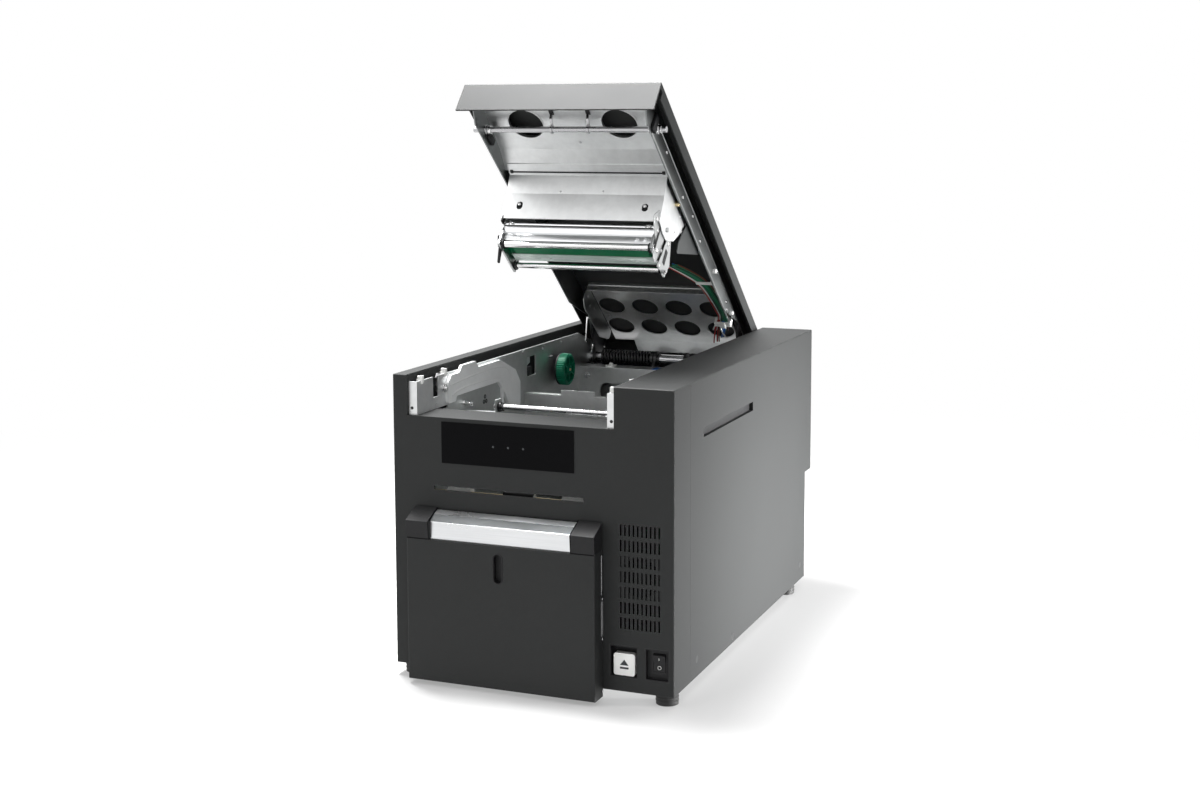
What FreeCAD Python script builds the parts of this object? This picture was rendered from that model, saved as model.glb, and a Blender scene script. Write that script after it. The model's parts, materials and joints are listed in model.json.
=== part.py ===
# A card printer with a hinged cover, shown with the cover raised, built as separate pieces.
#
# All driving dimensions are in one spreadsheet. Pieces are modelled where they sit with the cover
# closed: x runs from the left side seen from the front, y from the front panel towards the back and
# z from the lower edge of the panels. Each finished piece is then carried into the part's own frame,
# whose origin is the middle of the surface it stands on, and cover pieces are swung up on their hinge.
import FreeCAD, Part
import math
import os
import Sketcher
from FreeCAD import Placement, Rotation, Vector

SIZES = {
    # Outer shells
    "body_width": 280.0,
    "body_height": 277.5,
    "upper_depth": 462.8,
    "lower_depth": 439.5,
    "rear_step_height": 119.3,
    "cover_gauge": 1.5,
    "cover_bend": 1.3,
    "seam": 0.3,
    "overrun": 6.0,
    "front_flange": 43.5,
    "notch_left": 14.6,
    "sill_depth": 44.0,
    "lip_drop": 12.0,
    "base_flange": 22.0,
    # Side recess
    "recess_front": 81.5,
    "recess_rear": 237.0,
    "recess_deep": 4.0,
    # Front openings
    "window_left": 50.9,
    "window_thick": 0.7,
    "exit_left": 42.2,
    "vent_low": 58.0,
    "vent_wide": 1.7,
    "vent_tall": 10.3,
    "vent_column_pitch": 4.08,
    "vent_row_pitch": 14.2,
    # Feet and screws
    "foot_radius": 10.3,
    "foot_height": 11.6,
    "foot_side": 12.5,
    "foot_front": 17.0,
    "foot_rear": 405.0,
    "screw_radius": 3.4,
    "screw_head": 1.0,
    "screw_shank_radius": 1.5,
    "screw_long": 8.0,
    "screw_front_y": 63.5,
    "screw_front_z": 16.4,
    "screw_middle_y": 173.3,
    "screw_middle_z": 6.2,
    "screw_rear_y": 421.9,
    "screw_rear_z": 16.9,
    # Inner frame
    "frame_gauge": 1.5,
    "frame_left": 22.2,
    "frame_front": 6.0,
    "frame_step_y": 66.4,
    "frame_rear": 447.0,
    "frame_slope_y": 395.0,
    "frame_window_y": 252.0,
    "frame_window_long": 23.0,
    "frame_window_tall": 21.0,
    # Catch brackets
    "bracket_front": 3.5,
    "bracket_slot_front": 36.2,
    "bracket_slot_rear": 47.4,
    "bracket_hole_radius": 1.4,
    "bracket_hole_rise": 4.5,
    "clip_front_y": 14.3,
    "clip_rear_y": 64.0,
    "clip_long": 3.6,
    "clip_wide": 3.2,
    # Catch hooks
    "catch_y": 59.0,
    "catch_pin_radius": 2.0,
    "catch_head_radius": 2.8,
    "catch_head_thick": 0.9,
    "catch_gauge": 1.5,
    "catch_offset": 0.8,
    "catch_swing": 38.0,
    "catch_reach": 16.5,
    # Ribbon guard, hub and guide rod
    "guard_gauge": 3.0,
    "guard_width": 17.0,
    "guard_front": 62.0,
    "guard_rear": 217.0,
    "guard_bump_rear": 122.3,
    "guard_round": 2.5,
    "guard_inner_front": 79.0,
    "guard_inner_rear": 176.0,
    "guard_bend": 14.0,
    "hub_y": 329.1,
    "hub_radius": 16.9,
    "hub_left": 31.2,
    "hub_wide": 8.8,
    "hub_rib_deep": 0.7,
    "hub_web": 2.4,
    "hub_rim": 2.0,
    "hub_boss_radius": 4.0,
    "hub_disc_radius": 17.6,
    "hub_disc_thick": 1.2,
    "spindle_radius": 3.0,
    "spindle_gear_radius": 17.0,
    "spindle_gear_thick": 5.0,
    "spindle_gear_left": 13.5,
    "guide_y": 104.0,
    "guide_radius": 3.0,
    "guide_left": 60.8,
    "guide_bush_radius": 5.0,
    "guide_bush_long": 4.5,
    "guide_tab_tall": 15.0,
    "guide_tab_long": 13.0,
    # Cross members in the bay
    "cross_front_y": 245.0,
    "cross_front_lip": 8.0,
    "cross_tab_left": 66.0,
    "cross_tab_wide": 38.0,
    "cross_tab_rise": 5.2,
    "cross_rear_y": 395.0,
    "cross_rear_deep": 23.0,
    "cross_window_left": 50.0,
    "cross_window_round": 8.0,
    # Hinge line
    "hinge_y": 432.8,
    "hinge_radius": 5.0,
    "hinge_clear": 0.05,
    "hinge_left": 18.0,
    "hinge_collar_radius": 8.0,
    "hinge_collar_thick": 2.5,
    "stand_left": 104.0,
    "stand_right": 140.0,
    "stand_gauge": 3.0,
    "stand_radius": 9.0,
    "stand_drop": 26.0,
    "spring_left": 36.5,
    "spring_pitch": 3.7,
    "spring_wire": 2.7,
    "spring_radius": 7.3,
    "spring_leg": 14.0,
    "cover_open_angle": 40.34,
    # Cover shell
    "cover_gap": 1.0,
    "cover_rear": 460.8,
    "cover_flange": 14.4,
    "cover_flap": 33.4,
    "cover_relief_long": 7.0,
    "cover_relief_rise": 8.0,
    # Cover frame, measured down from the top of the closed cover
    "rail_inset": 13.4,
    "rail_gauge": 1.2,
    "rail_front": 8.0,
    "rail_rear": 452.0,
    "rail_depth": 33.5,
    "rail_rear_depth": 14.0,
    "rail_slope_front": 330.0,
    "rail_slope_rear": 385.0,
    "beam_gauge": 1.2,
    "beam_front": 9.0,
    "beam_front_drop": 7.2,
    "beam_bend": 79.6,
    "beam_bend_drop": 16.7,
    "beam_rear": 104.3,
    "beam_rear_drop": 24.6,
    "beam_hole_radius": 18.5,
    "beam_hole_y": 46.2,
    "latch_y": 42.5,
    "latch_radius": 3.0,
    "latch_collar_radius": 4.6,
    "latch_collar_thick": 4.0,
    "panel_front": 335.8,
    "panel_rear": 448.0,
    "panel_drop": 4.0,
    "panel_front_drop": 11.9,
    "panel_gauge": 1.2,
    "panel_hole_row": 377.3,
    "panel_tab_drop": 19.0,
    "arm_gauge": 3.0,
    "arm_front": 384.0,
    "arm_rear": 441.0,
    "arm_eye_radius": 9.5,
    # Print head bracket and head, measured down from the top of the closed cover
    "bracket_gauge": 1.2,
    "bracket_hang_y": 96.0,
    "bracket_top_y": 108.6,
    "bracket_top_drop": 25.8,
    "bracket_fold_y": 113.9,
    "bracket_fold_drop": 46.7,
    "bracket_low_y": 118.7,
    "bracket_low_drop": 74.6,
    "wing_rear_y": 196.0,
    "wing_shoulder_y": 176.0,
    "wing_shoulder_drop": 46.0,
    "wing_tip_y": 164.0,
    "wing_tip_drop": 66.0,
    "wing_low_drop": 78.0,
    "hanger_slot_wide": 6.4,
    "hanger_slot_low": 64.5,
    "hanger_slot_high": 56.0,
    "hanger_slot_round": 3.0,
    "bar_front_y": 121.6,
    "bar_low_y": 127.4,
    "bar_top_drop": 75.6,
    "bar_low_drop": 87.6,
    "bar_thick": 7.0,
    "bar_round": 2.5,
    "cheek_gauge": 2.2,
    "cheek_front_y": 123.5,
    "cheek_rear_y": 173.5,
    "cheek_top_drop": 76.5,
    "cheek_low_drop": 103.0,
    "cheek_corner": 12.0,
    "pivot_y": 140.0,
    "pivot_drop": 69.5,
    "pivot_radius": 2.5,
    "pivot_boss_radius": 5.5,
    "head_swing": 3.0,
    "core_front_y": 136.5,
    "core_rear_y": 163.5,
    "core_top_drop": 84.0,
    "core_low_drop": 94.0,
    "strip_front_y": 139.0,
    "strip_rear_y": 161.0,
    "strip_thick": 2.2,
    "roller_y": 129.8,
    "roller_drop": 99.3,
    "roller_radius": 3.0,
    "roller_end_radius": 1.5,
    "peel_y": 168.2,
    "peel_drop": 97.7,
    "peel_radius": 3.0,
    # Wire harness on the cover
    "wire_radius": 0.8,
    "wire_pitch": 1.8,
    # Rollers below the bay
    "platen_y": 150.0,
    "platen_radius": 12.0,
    "platen_shaft_radius": 4.0,
    "shaft_clear": 0.05,
    "shaft_reach": 4.0,
    "bearing_radius": 8.0,
    "bearing_thick": 3.0,
    "bush_radius": 4.8,
    "pulley_radius": 9.0,
    "pulley_wide": 8.0,
    "pulley_left": 10.5,
    "belt_thick": 1.2,
    "belt_clear": 0.05,
    "exit_shaft_y": 12.5,
    "exit_shaft_radius": 2.6,
    "exit_roller_radius": 6.5,
    "exit_roller_long": 23.0,
    "exit_roller_left": 52.0,
    "exit_sleeve_radius": 5.6,
    "pick_y": 93.0,
    "pick_z": 16.6,
    "pick_radius": 9.0,
    "pick_half": 20.0,
    "pick_shaft_radius": 3.0,
    # Machinery and electrics
    "motor_y": 205.0,
    "motor_z": 70.0,
    "motor_size": 42.0,
    "motor_long": 40.0,
    "motor_round": 3.0,
    "motor_boss_radius": 11.0,
    "motor_shaft_radius": 2.5,
    "supply_front": 262.0,
    "supply_rear": 432.0,
    "supply_tall": 44.0,
    "board_gap": 6.0,
    "board_thick": 1.6,
    "board_front": 118.0,
    "board_rear": 318.0,
    "board_low": 60.0,
    "board_post_radius": 3.0,
    "board_part_tall": 9.0,
    "fan_low": 86.0,
    "fan_size": 40.0,
    "fan_deep": 20.0,
    "fan_bore_radius": 18.2,
    "fan_hub_radius": 7.0,
    "fan_blade_radius": 17.2,
    "fan_blade_gauge": 1.4,
    "inlet_low": 24.0,
    "inlet_wide": 27.0,
    "inlet_tall": 20.0,
    "inlet_deep": 24.0,
    "inlet_flange": 3.0,
    "inlet_socket_deep": 16.0,
    "inlet_pin_radius": 1.3,
    # Power switch
    "switch_low": 12.9,
    "switch_high": 42.2,
    "switch_recess": 4.5,
    "bezel_low": 19.2,
    "bezel_high": 40.3,
    "bezel_proud": 2.0,
    "switch_deep": 18.0,
    "rocker_low": 21.2,
    "rocker_high": 38.3,
    "rocker_gap": 0.35,
    "rocker_tilt": 8.0,
    "rocker_deep": 8.0,
    "rocker_inset": 2.7,
    "rocker_pin_radius": 1.2,
    # Open button
    "button_pocket_low": 12.8,
    "button_pocket_high": 42.3,
    "button_pocket_deep": 11.0,
    "button_low": 14.4,
    "button_high": 34.8,
    "button_round": 2.2,
    "button_thick": 6.5,
    "button_front": 1.2,
    "button_travel": 2.0,
    "button_stem": 6.0,
    "button_stem_long": 8.0,
    "pocket_wall": 1.0,
    # Card drawer
    "drawer_front": 20.0,
    "drawer_gap": 0.6,
    "drawer_low": 7.0,
    "drawer_gauge": 1.5,
    "drawer_bend": 1.2,
    "drawer_travel": 100.0,
    "finger_slot_wide": 8.2,
    "finger_slot_tall": 27.0,
    "finger_slot_round": 3.9,
    "grip_front": 17.5,
    "grip_ridge": 9.5,
    "grip_rear": 2.4,
    "grip_gauge": 2.4,
    "block_front": 21.6,
    "block_rear": 1.6,
    "tray_low": 26.2,
    "tray_rear": 128.0,
    "tray_gauge": 1.2,
    "tray_slot_half": 24.0,
    "tray_slot_front": 76.0,
    "tray_gate_rise": 7.0,
    "opening_gap": 5.0,
    "slide_low": 58.0,
    "slide_tall": 12.0,
    "slide_gap": 0.1,
    "slide_wide": 11.5,
    "slide_gauge": 1.2,
    "slide_rear": 150.0,
}

# Places measured in from the right side
FROM_RIGHT = {
    "notch_right": 57.4,
    "frame_right": 63.6,
    "window_right": 95.9,
    "exit_right": 86.9,
    "vent_left": 51.8,
    "hinge_right": 59.0,
    "cross_window_right": 90.0,
    "exit_roller_right": 111.5,
    "supply_left": 184.0,
    "supply_right": 84.0,
    "fan_left": 52.5,
    "inlet_left": 58.0,
    "switch_left": 27.6,
    "switch_right": 4.8,
    "bezel_left": 22.1,
    "bezel_right": 7.0,
    "rocker_left": 20.6,
    "rocker_right": 8.5,
    "button_pocket_left": 61.6,
    "button_pocket_right": 34.6,
    "button_left": 58.3,
    "button_right": 37.9,
}

# Places measured down from the top
FROM_TOP = {
    "sill_height": 38.3,
    "rear_sill_height": 41.5,
    "recess_low": 55.6,
    "recess_high": 46.7,
    "window_low": 80.9,
    "window_high": 42.0,
    "exit_low": 106.9,
    "exit_high": 102.9,
    "frame_top": 7.1,
    "frame_rear_top": 23.5,
    "frame_window_z": 37.5,
    "bracket_top": 6.9,
    "bracket_slot_low": 26.9,
    "clip_low": 10.0,
    "clip_high": 2.5,
    "catch_z": 21.0,
    "guard_low": 63.5,
    "guard_front_low": 36.7,
    "guard_high": 9.5,
    "guard_bump_high": 3.1,
    "guard_inner_high": 31.5,
    "hub_z": 39.2,
    "guide_z": 44.1,
    "cross_front_top": 53.7,
    "cross_front_low": 91.5,
    "cross_rear_top": 45.1,
    "cross_rear_low": 127.5,
    "cross_window_low": 97.5,
    "cross_window_high": 63.0,
    "hinge_z": 38.1,
    "latch_z": 22.5,
    "platen_z": 117.2,
    "exit_shaft_z": 111.7,
    "board_high": 77.5,
    "drawer_high": 149.3,
    "finger_slot_mid": 171.0,
    "grip_front_high": 133.3,
    "grip_ridge_high": 127.9,
    "grip_rear_high": 124.9,
    "block_front_high": 132.7,
    "block_rear_high": 123.5,
    "block_low": 149.3,
    "tray_high": 159.5,
}

# Half widths, as how far each stops short of half the cover's opening
FROM_HALF_SPAN = {
    "latch_half": 2.4,
    "panel_half": 27.0,
    "panel_tab_half": 59.0,
    "panel_tab_top_half": 49.0,
    "head_half": 18.4,
    "bar_half": 23.7,
    "strip_half": 31.2,
    "platen_half": 30.0,
    "hanger_slot_half": 36.4,
    "beam_hole_half": 54.2,
    "drawer_half": 9.7,
    "opening_half": 11.4,
    "wing_half": 12.7,
    "bar_span_half": 33.0,
    "tray_half": 26.0,
}

# Places measured left from the middle of the cover's opening
FROM_MIDDLE = {
    "drawer_mid": 1.1,
    "exit_sleeve_left": 9.6,
    "exit_sleeve_right": -20.9,
}

VENT_COLUMNS = 10
VENT_ROWS = 7
PANEL_HOLE_COLUMNS = 4
PANEL_HOLE_ROWS = 2
PANEL_PITCH_SHARE = 0.524675
PANEL_HOLE_SHARE = 0.378713
HUB_RIBS = 36
FAN_BLADES = 5
SPRING_TURNS = 16

# Route of the wire harness as distance from the opening's right side, y and depth below the cover's top
HARNESS_ROUTE = (
    (51.6, 258.0, 30.0), (35.6, 273.0, 29.6), (23.1, 291.0, 29.2), (18.2, 318.0, 28.6), (19.0, 348.0, 23.0),
    (22.6, 375.0, 19.0), (30.6, 396.0, 19.6),
)
HARNESS_COLUMNS = 3
HARNESS_ROWS = 2
HARNESS_CLIPS = (314.0,)
ARC_SHARE = 0.45

# Shares of a piece's own size that place its smaller features
CATCH_OUTLINE_SHARES = (
    (-1.0, 0.12), (-0.76, 0.12), (-0.66, -0.22), (-0.42, -0.42), (0.0, -0.48), (0.40, -0.34), (0.42, 0.20),
    (-0.12, 0.60), (-0.72, 0.60), (-1.0, 0.42),
)
ROCKER_OUTLINE_SHARES = (
    (0.35, -0.98), (-0.24, -0.99), (-0.53, -0.92), (-0.35, 0.0), (-0.53, 0.92), (-0.24, 0.99), (0.35, 0.98),
)

# How nearly an edge must follow an axis, and how near a place counts as the same
STRAIGHT_SHARE = 0.9999
SAME_PLACE = 1e-4

doc = FreeCAD.newDocument("card_printer")
sheet = doc.addObject("Spreadsheet::Sheet", "sizes")


class Size:
    """A length or angle that carries both its value and its formula in the sheet."""

    def __init__(self, value, text):
        self.value = float(value)
        self.text = text

    @staticmethod
    def of(item):
        """Takes a plain count or zero as a Size."""
        return item if isinstance(item, Size) else Size(item, repr(float(item)))

    def __add__(self, other):
        other = Size.of(other)
        return Size(self.value + other.value, f"({self.text} + {other.text})")

    def __sub__(self, other):
        other = Size.of(other)
        return Size(self.value - other.value, f"({self.text} - {other.text})")

    def __mul__(self, other):
        other = Size.of(other)
        return Size(self.value * other.value, f"({self.text} * {other.text})")

    def __truediv__(self, other):
        other = Size.of(other)
        return Size(self.value / other.value, f"({self.text} / {other.text})")

    def __neg__(self):
        return Size(-self.value, f"(0 - {self.text})")

    def __radd__(self, other):
        return Size.of(other) + self

    def __rsub__(self, other):
        return Size.of(other) - self

    def __rmul__(self, other):
        return self * other


def cosine(angle):
    """The cosine of an angle in degrees."""
    return Size(math.cos(math.radians(angle.value)), f"cos({angle.text})")


def sine(angle):
    """The sine of an angle in degrees."""
    return Size(math.sin(math.radians(angle.value)), f"sin({angle.text})")


class Sizes:
    """The driving dimensions by name, as sheet cells."""

    def __init__(self, values):
        self.rows = 0
        for name, value in values.items():
            self.add(name, value, str(value))

    def add(self, name, value, content):
        """Writes one named cell and keeps its Size."""
        self.rows += 1
        sheet.set(f"A{self.rows}", name)
        sheet.set(f"B{self.rows}", content)
        sheet.setAlias(f"B{self.rows}", name)
        setattr(self, name, Size(value, f"sizes.{name}"))

    def place(self, anchor, insets):
        """Adds places that lie an inset short of an anchor, as formulas in the sheet."""
        for name, inset in insets.items():
            self.add(name + "_inset", inset, str(inset))
            spot = anchor - getattr(self, name + "_inset")
            self.add(name, spot.value, "=" + spot.text.replace("sizes.", ""))


s = Sizes(SIZES)
s.place(s.body_width, FROM_RIGHT)
s.place(s.body_height, FROM_TOP)
s.place((s.notch_right - s.notch_left) / 2, FROM_HALF_SPAN)
s.place((s.notch_left + s.notch_right) / 2, FROM_MIDDLE)
doc.recompute()

TURN_TO_AXIS = {
    "x": Rotation(Vector(0, 1, 0), 90),
    "y": Rotation(Vector(1, 0, 0), -90),
    "z": Rotation(),
}
SKETCH_PLANE = {"x": "YZ_Plane", "y": "XZ_Plane", "z": "XY_Plane"}
nodes = {}


def bind(item, **formulas):
    """Ties properties of an object to sheet formulas. Underscores stand for dots."""
    for name, size in formulas.items():
        item.setExpression(name.replace("_", "."), Size.of(size).text)
    return item


def put(item, x, y, z):
    """Ties the place of an object to sheet formulas."""
    return bind(item, Placement_Base_x=x, Placement_Base_y=y, Placement_Base_z=z)


def box(name, x, y, z):
    """A block between pairs of places along x, y and z."""
    block = doc.addObject("Part::Box", name)
    bind(block, Length=x[1] - x[0], Width=y[1] - y[0], Height=z[1] - z[0])
    return put(block, x[0], y[0], z[0])


def rod(name, axis, at, radius, span):
    """A round bar along an axis, through a place given by the other two coordinates."""
    bar = doc.addObject("Part::Cylinder", name)
    bar.Placement = Placement(Vector(), TURN_TO_AXIS[axis])
    bind(bar, Radius=radius, Height=span[1] - span[0])
    places = {"x": (span[0], at[0], at[1]), "y": (at[0], span[0], at[1]), "z": (at[0], at[1], span[0])}
    return put(bar, *places[axis])


def join(name, *pieces):
    """One solid from pieces that meet or overlap."""
    fused = doc.addObject("Part::MultiFuse", name)
    fused.Shapes = list(pieces)
    fused.Refine = True
    return fused


def group(name, *pieces):
    """Separate solids kept together."""
    gathered = doc.addObject("Part::Compound", name)
    gathered.Links = list(pieces)
    return gathered


def cut(name, base, *tools):
    """A piece with one or more cutters taken out of it."""
    carved = doc.addObject("Part::Cut", name)
    carved.Base = base
    carved.Tool = tools[0] if len(tools) == 1 else join(name + "_cutters", *tools)
    carved.Refine = True
    return carved


def tube(name, axis, at, radius, bore, span):
    """A round bar with a through bore."""
    return cut(
        name,
        rod(name + "_outer", axis, at, radius, span),
        rod(name + "_bore", axis, at, bore, (span[0] - s.overrun, span[1] + s.overrun)),
    )


class Circle:
    """A round hole in a plate, by centre and radius."""

    def __init__(self, u, v, radius):
        self.u, self.v, self.radius = Size.of(u), Size.of(v), Size.of(radius)


def add_loop(sketch, outline):
    """Draws a closed run of lines whose corners are tied to sheet formulas."""
    corners = [(Size.of(u), Size.of(v)) for u, v in outline]
    count = len(corners)
    first = sketch.GeometryCount
    for index in range(count):
        start, end = corners[index], corners[(index + 1) % count]
        line = Part.LineSegment(
            Vector(start[0].value, start[1].value, 0), Vector(end[0].value, end[1].value, 0))
        sketch.addGeometry(line)
    for index in range(count):
        following = first + (index + 1) % count
        sketch.addConstraint(Sketcher.Constraint("Coincident", first + index, 2, following, 1))
    for index, (u, v) in enumerate(corners):
        for kind, place in (("DistanceX", u), ("DistanceY", v)):
            rule = Sketcher.Constraint(kind, -1, 1, first + index, 1, place.value)
            tie(sketch, sketch.addConstraint(rule), place)


def add_circle(sketch, circle):
    """Draws a circle whose centre and radius are tied to sheet formulas."""
    centre = Vector(circle.u.value, circle.v.value, 0)
    index = sketch.addGeometry(Part.Circle(centre, Vector(0, 0, 1), circle.radius.value))
    tie(sketch, sketch.addConstraint(Sketcher.Constraint("Radius", index, circle.radius.value)), circle.radius)
    for kind, place in (("DistanceX", circle.u), ("DistanceY", circle.v)):
        rule = Sketcher.Constraint(kind, -1, 1, index, 3, place.value)
        tie(sketch, sketch.addConstraint(rule), place)


def tie(sketch, index, size):
    """Ties one sketch constraint to a sheet formula."""
    sketch.setExpression(f"Constraints[{index}]", size.text)


def plate(name, axis, span, outline, holes=()):
    """A sheet with a drawn outline and holes, lying across an axis between two places."""
    body = doc.addObject("PartDesign::Body", name)
    planes = {feature.Role: feature for feature in body.Origin.OriginFeatures}
    sketch = body.newObject("Sketcher::SketchObject", name + "_sketch")
    sketch.AttachmentSupport = (planes[SKETCH_PLANE[axis]], [""])
    sketch.MapMode = "FlatFace"
    bind(sketch, AttachmentOffset_Base_z=-Size.of(span[1]) if axis == "y" else span[0])
    if isinstance(outline, Circle):
        add_circle(sketch, outline)
    else:
        add_loop(sketch, outline)
    for hole in holes:
        if isinstance(hole, Circle):
            add_circle(sketch, hole)
        else:
            add_loop(sketch, hole)
    pad = body.newObject("PartDesign::Pad", name + "_pad")
    pad.Profile = sketch
    bind(pad, Length=Size.of(span[1]) - span[0])
    return body


def rounded(name, piece, radius, chosen):
    """A piece with the edges that a test picks rounded over."""
    doc.recompute()
    edges = piece.Shape.Edges
    picked = [index for index, edge in enumerate(edges, start=1) if chosen(edge)]
    smooth = doc.addObject("Part::Fillet", name)
    smooth.Base = piece
    smooth.Edges = [(index, radius.value, radius.value) for index in picked]
    return smooth


def along(edge, axis):
    """Whether a straight edge runs along an axis."""
    if not isinstance(edge.Curve, Part.Line):
        return False
    run = edge.Vertexes[-1].Point - edge.Vertexes[0].Point
    return abs(getattr(run, axis)) > edge.Length * STRAIGHT_SHARE


def at_place(edge, **places):
    """Whether the middle of an edge has the given coordinates."""
    middle = edge.CenterOfMass
    return all(abs(getattr(middle, name) - Size.of(place).value) < SAME_PLACE for name, place in places.items())


mid_x = s.body_width / 2
cover_left = s.notch_left + s.cover_gap
cover_right = s.notch_right - s.cover_gap
cover_mid = (s.notch_left + s.notch_right) / 2
open_cosine = cosine(s.cover_open_angle)
open_sine = sine(s.cover_open_angle)
rear_reach = (
    s.hinge_y
    + (s.cover_rear - s.cover_bend - s.hinge_y) * open_cosine
    + (s.body_height - s.cover_bend - s.hinge_z) * open_sine
    + s.cover_bend
)
mid_y = (rear_reach - s.block_front) / 2
screw_places = (
    (s.screw_front_y, s.screw_front_z), (s.screw_middle_y, s.screw_middle_z), (s.screw_rear_y, s.screw_rear_z),
)


def finish(name, piece):
    """Registers a fixed piece under its own name, carried into the part's frame."""
    if piece.TypeId in ("Part::Box", "Part::Cylinder"):
        piece = group(name + "_piece", piece)
    piece.Label = name
    put(piece, -mid_x, -mid_y, s.foot_height)
    nodes[name] = piece
    return piece


def finish_on_cover(name, piece):
    """Registers a cover piece, swung up on the hinge and carried into the part's frame."""
    if piece.TypeId in ("Part::Box", "Part::Cylinder"):
        piece = group(name + "_piece", piece)
    piece.Label = name
    piece.Placement = Placement(Vector(), Rotation(Vector(-1, 0, 0), s.cover_open_angle.value))
    piece.setExpression("Placement.Rotation.Angle", s.cover_open_angle.text)
    swung_y = s.hinge_y - (s.hinge_y * open_cosine + s.hinge_z * open_sine)
    swung_z = s.hinge_z + s.hinge_y * open_sine - s.hinge_z * open_cosine
    put(piece, -mid_x, swung_y - mid_y, swung_z + s.foot_height)
    nodes[name] = piece
    return piece


def below(drop):
    """The height that lies a given depth below the top of the closed cover."""
    return s.body_height - drop


# Outer panels


def make_front_panel():
    """The folded front panel with its notch, sill and openings."""
    g = s.cover_gauge
    outer = rounded(
        "front_blank",
        box("front_block", (0, s.body_width), (0, s.front_flange), (0, s.body_height)),
        s.cover_bend,
        lambda edge: (along(edge, "z") and at_place(edge, y=0)) or (at_place(edge, y=0, z=s.body_height))
        or (along(edge, "y") and at_place(edge, z=s.body_height)),
    )
    shell = cut(
        "front_shell",
        outer,
        box("front_hollow", (g, s.body_width - g), (g, s.front_flange + s.overrun),
            (-s.overrun, s.body_height - g)),
        box("front_notch", (s.notch_left, s.notch_right), (-s.overrun, s.front_flange + s.overrun),
            (s.sill_height, s.body_height + s.overrun)),
    )
    sill = box("front_sill", (s.notch_left - g, s.notch_right + g), (0, s.sill_depth),
               (s.sill_height - g, s.sill_height))
    left_cheek = box("front_left_cheek", (s.notch_left - g, s.notch_left), (0, s.front_flange),
                     (s.sill_height - g, s.body_height - g / 2))
    right_cheek = box("front_right_cheek", (s.notch_right, s.notch_right + g), (0, s.front_flange),
                      (s.sill_height - g, s.body_height - g / 2))
    through = (-s.overrun, g + s.overrun)
    cutters = [
        box("exit_opening", (s.exit_left, s.exit_right), through, (s.exit_low, s.exit_high)),
        box("drawer_opening", (s.drawer_mid - s.opening_half, s.drawer_mid + s.opening_half), through,
            (s.tray_low - s.opening_gap, s.tray_high + s.opening_gap)),
        box("switch_opening", (s.switch_left, s.switch_right), through, (s.switch_low, s.switch_high)),
        box("button_opening", (s.button_pocket_left, s.button_pocket_right), through,
            (s.button_pocket_low, s.button_pocket_high)),
    ]
    blank = cut("front_pierced", join("front_folded", shell, sill, left_cheek, right_cheek), *cutters)
    finish("front_panel", cut("front_vented", blank, make_vent_field()))


def make_vent_field():
    """The rows and columns of vent slots, as one cutter."""
    field = doc.addObject("PartDesign::Body", "vent_field")
    field.AllowCompound = True
    planes = {feature.Role: feature for feature in field.Origin.OriginFeatures}
    sketch = field.newObject("Sketcher::SketchObject", "vent_sketch")
    sketch.AttachmentSupport = (planes["XZ_Plane"], [""])
    sketch.MapMode = "FlatFace"
    bind(sketch, AttachmentOffset_Base_z=-(s.cover_gauge + s.overrun))
    left, low = s.vent_left, s.vent_low
    right, high = left + s.vent_wide, low + s.vent_tall
    add_loop(sketch, [(left, low), (right, low), (right, high), (left, high)])
    pad = field.newObject("PartDesign::Pad", "vent_slot")
    pad.Profile = sketch
    bind(pad, Length=s.cover_gauge + s.overrun + s.overrun)
    doc.recompute()
    pattern = field.newObject("PartDesign::LinearPattern", "vent_pattern")
    pattern.Originals = [pad]
    pattern.Direction = (sketch, ["H_Axis"])
    pattern.Direction2 = (sketch, ["V_Axis"])
    pattern.Occurrences = VENT_COLUMNS
    pattern.Occurrences2 = VENT_ROWS
    bind(pattern, Length=s.vent_column_pitch * (VENT_COLUMNS - 1),
         Length2=s.vent_row_pitch * (VENT_ROWS - 1))
    field.Tip = pattern
    return field


def side_outline():
    """The stepped outline shared by both side panels, as (y, z) corners."""
    front = s.front_flange + s.seam
    return [
        (front, 0), (s.lower_depth, 0), (s.lower_depth, s.rear_step_height),
        (s.upper_depth, s.rear_step_height), (s.upper_depth, s.body_height), (front, s.body_height),
    ]


def make_side_panel(name, wall, flange, lip, holes=(), extras=()):
    """A side panel: stepped wall, top flange and the lip beside the cover."""
    g = s.cover_gauge
    front = s.front_flange + s.seam
    on_left = wall[0].value < mid_x.value
    outer_x = wall[0] if on_left else wall[1]
    head_span = (wall[0] - g, s.screw_head) if on_left else (wall[1] - s.screw_head, wall[1] + g)
    pieces = [
        plate(name + "_wall", "x", wall, side_outline(), holes),
        box(name + "_flange", flange, (front, s.upper_depth), (s.body_height - g, s.body_height)),
        box(name + "_lip", lip, (front, s.upper_depth), (s.body_height - s.lip_drop, s.body_height)),
    ]
    folded = join(name + "_folded", *pieces, *extras)
    smooth = rounded(name + "_smooth", folded, s.cover_bend,
                     lambda edge: along(edge, "y") and at_place(edge, x=outer_x, z=s.body_height))
    seats = []
    for at in screw_places:
        seats.append(rod("screw_seat", "x", at, s.screw_radius, head_span))
        seats.append(rod("screw_way", "x", at, s.screw_shank_radius, wall))
    finish(name, cut(name + "_pierced", smooth, *seats))


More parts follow.
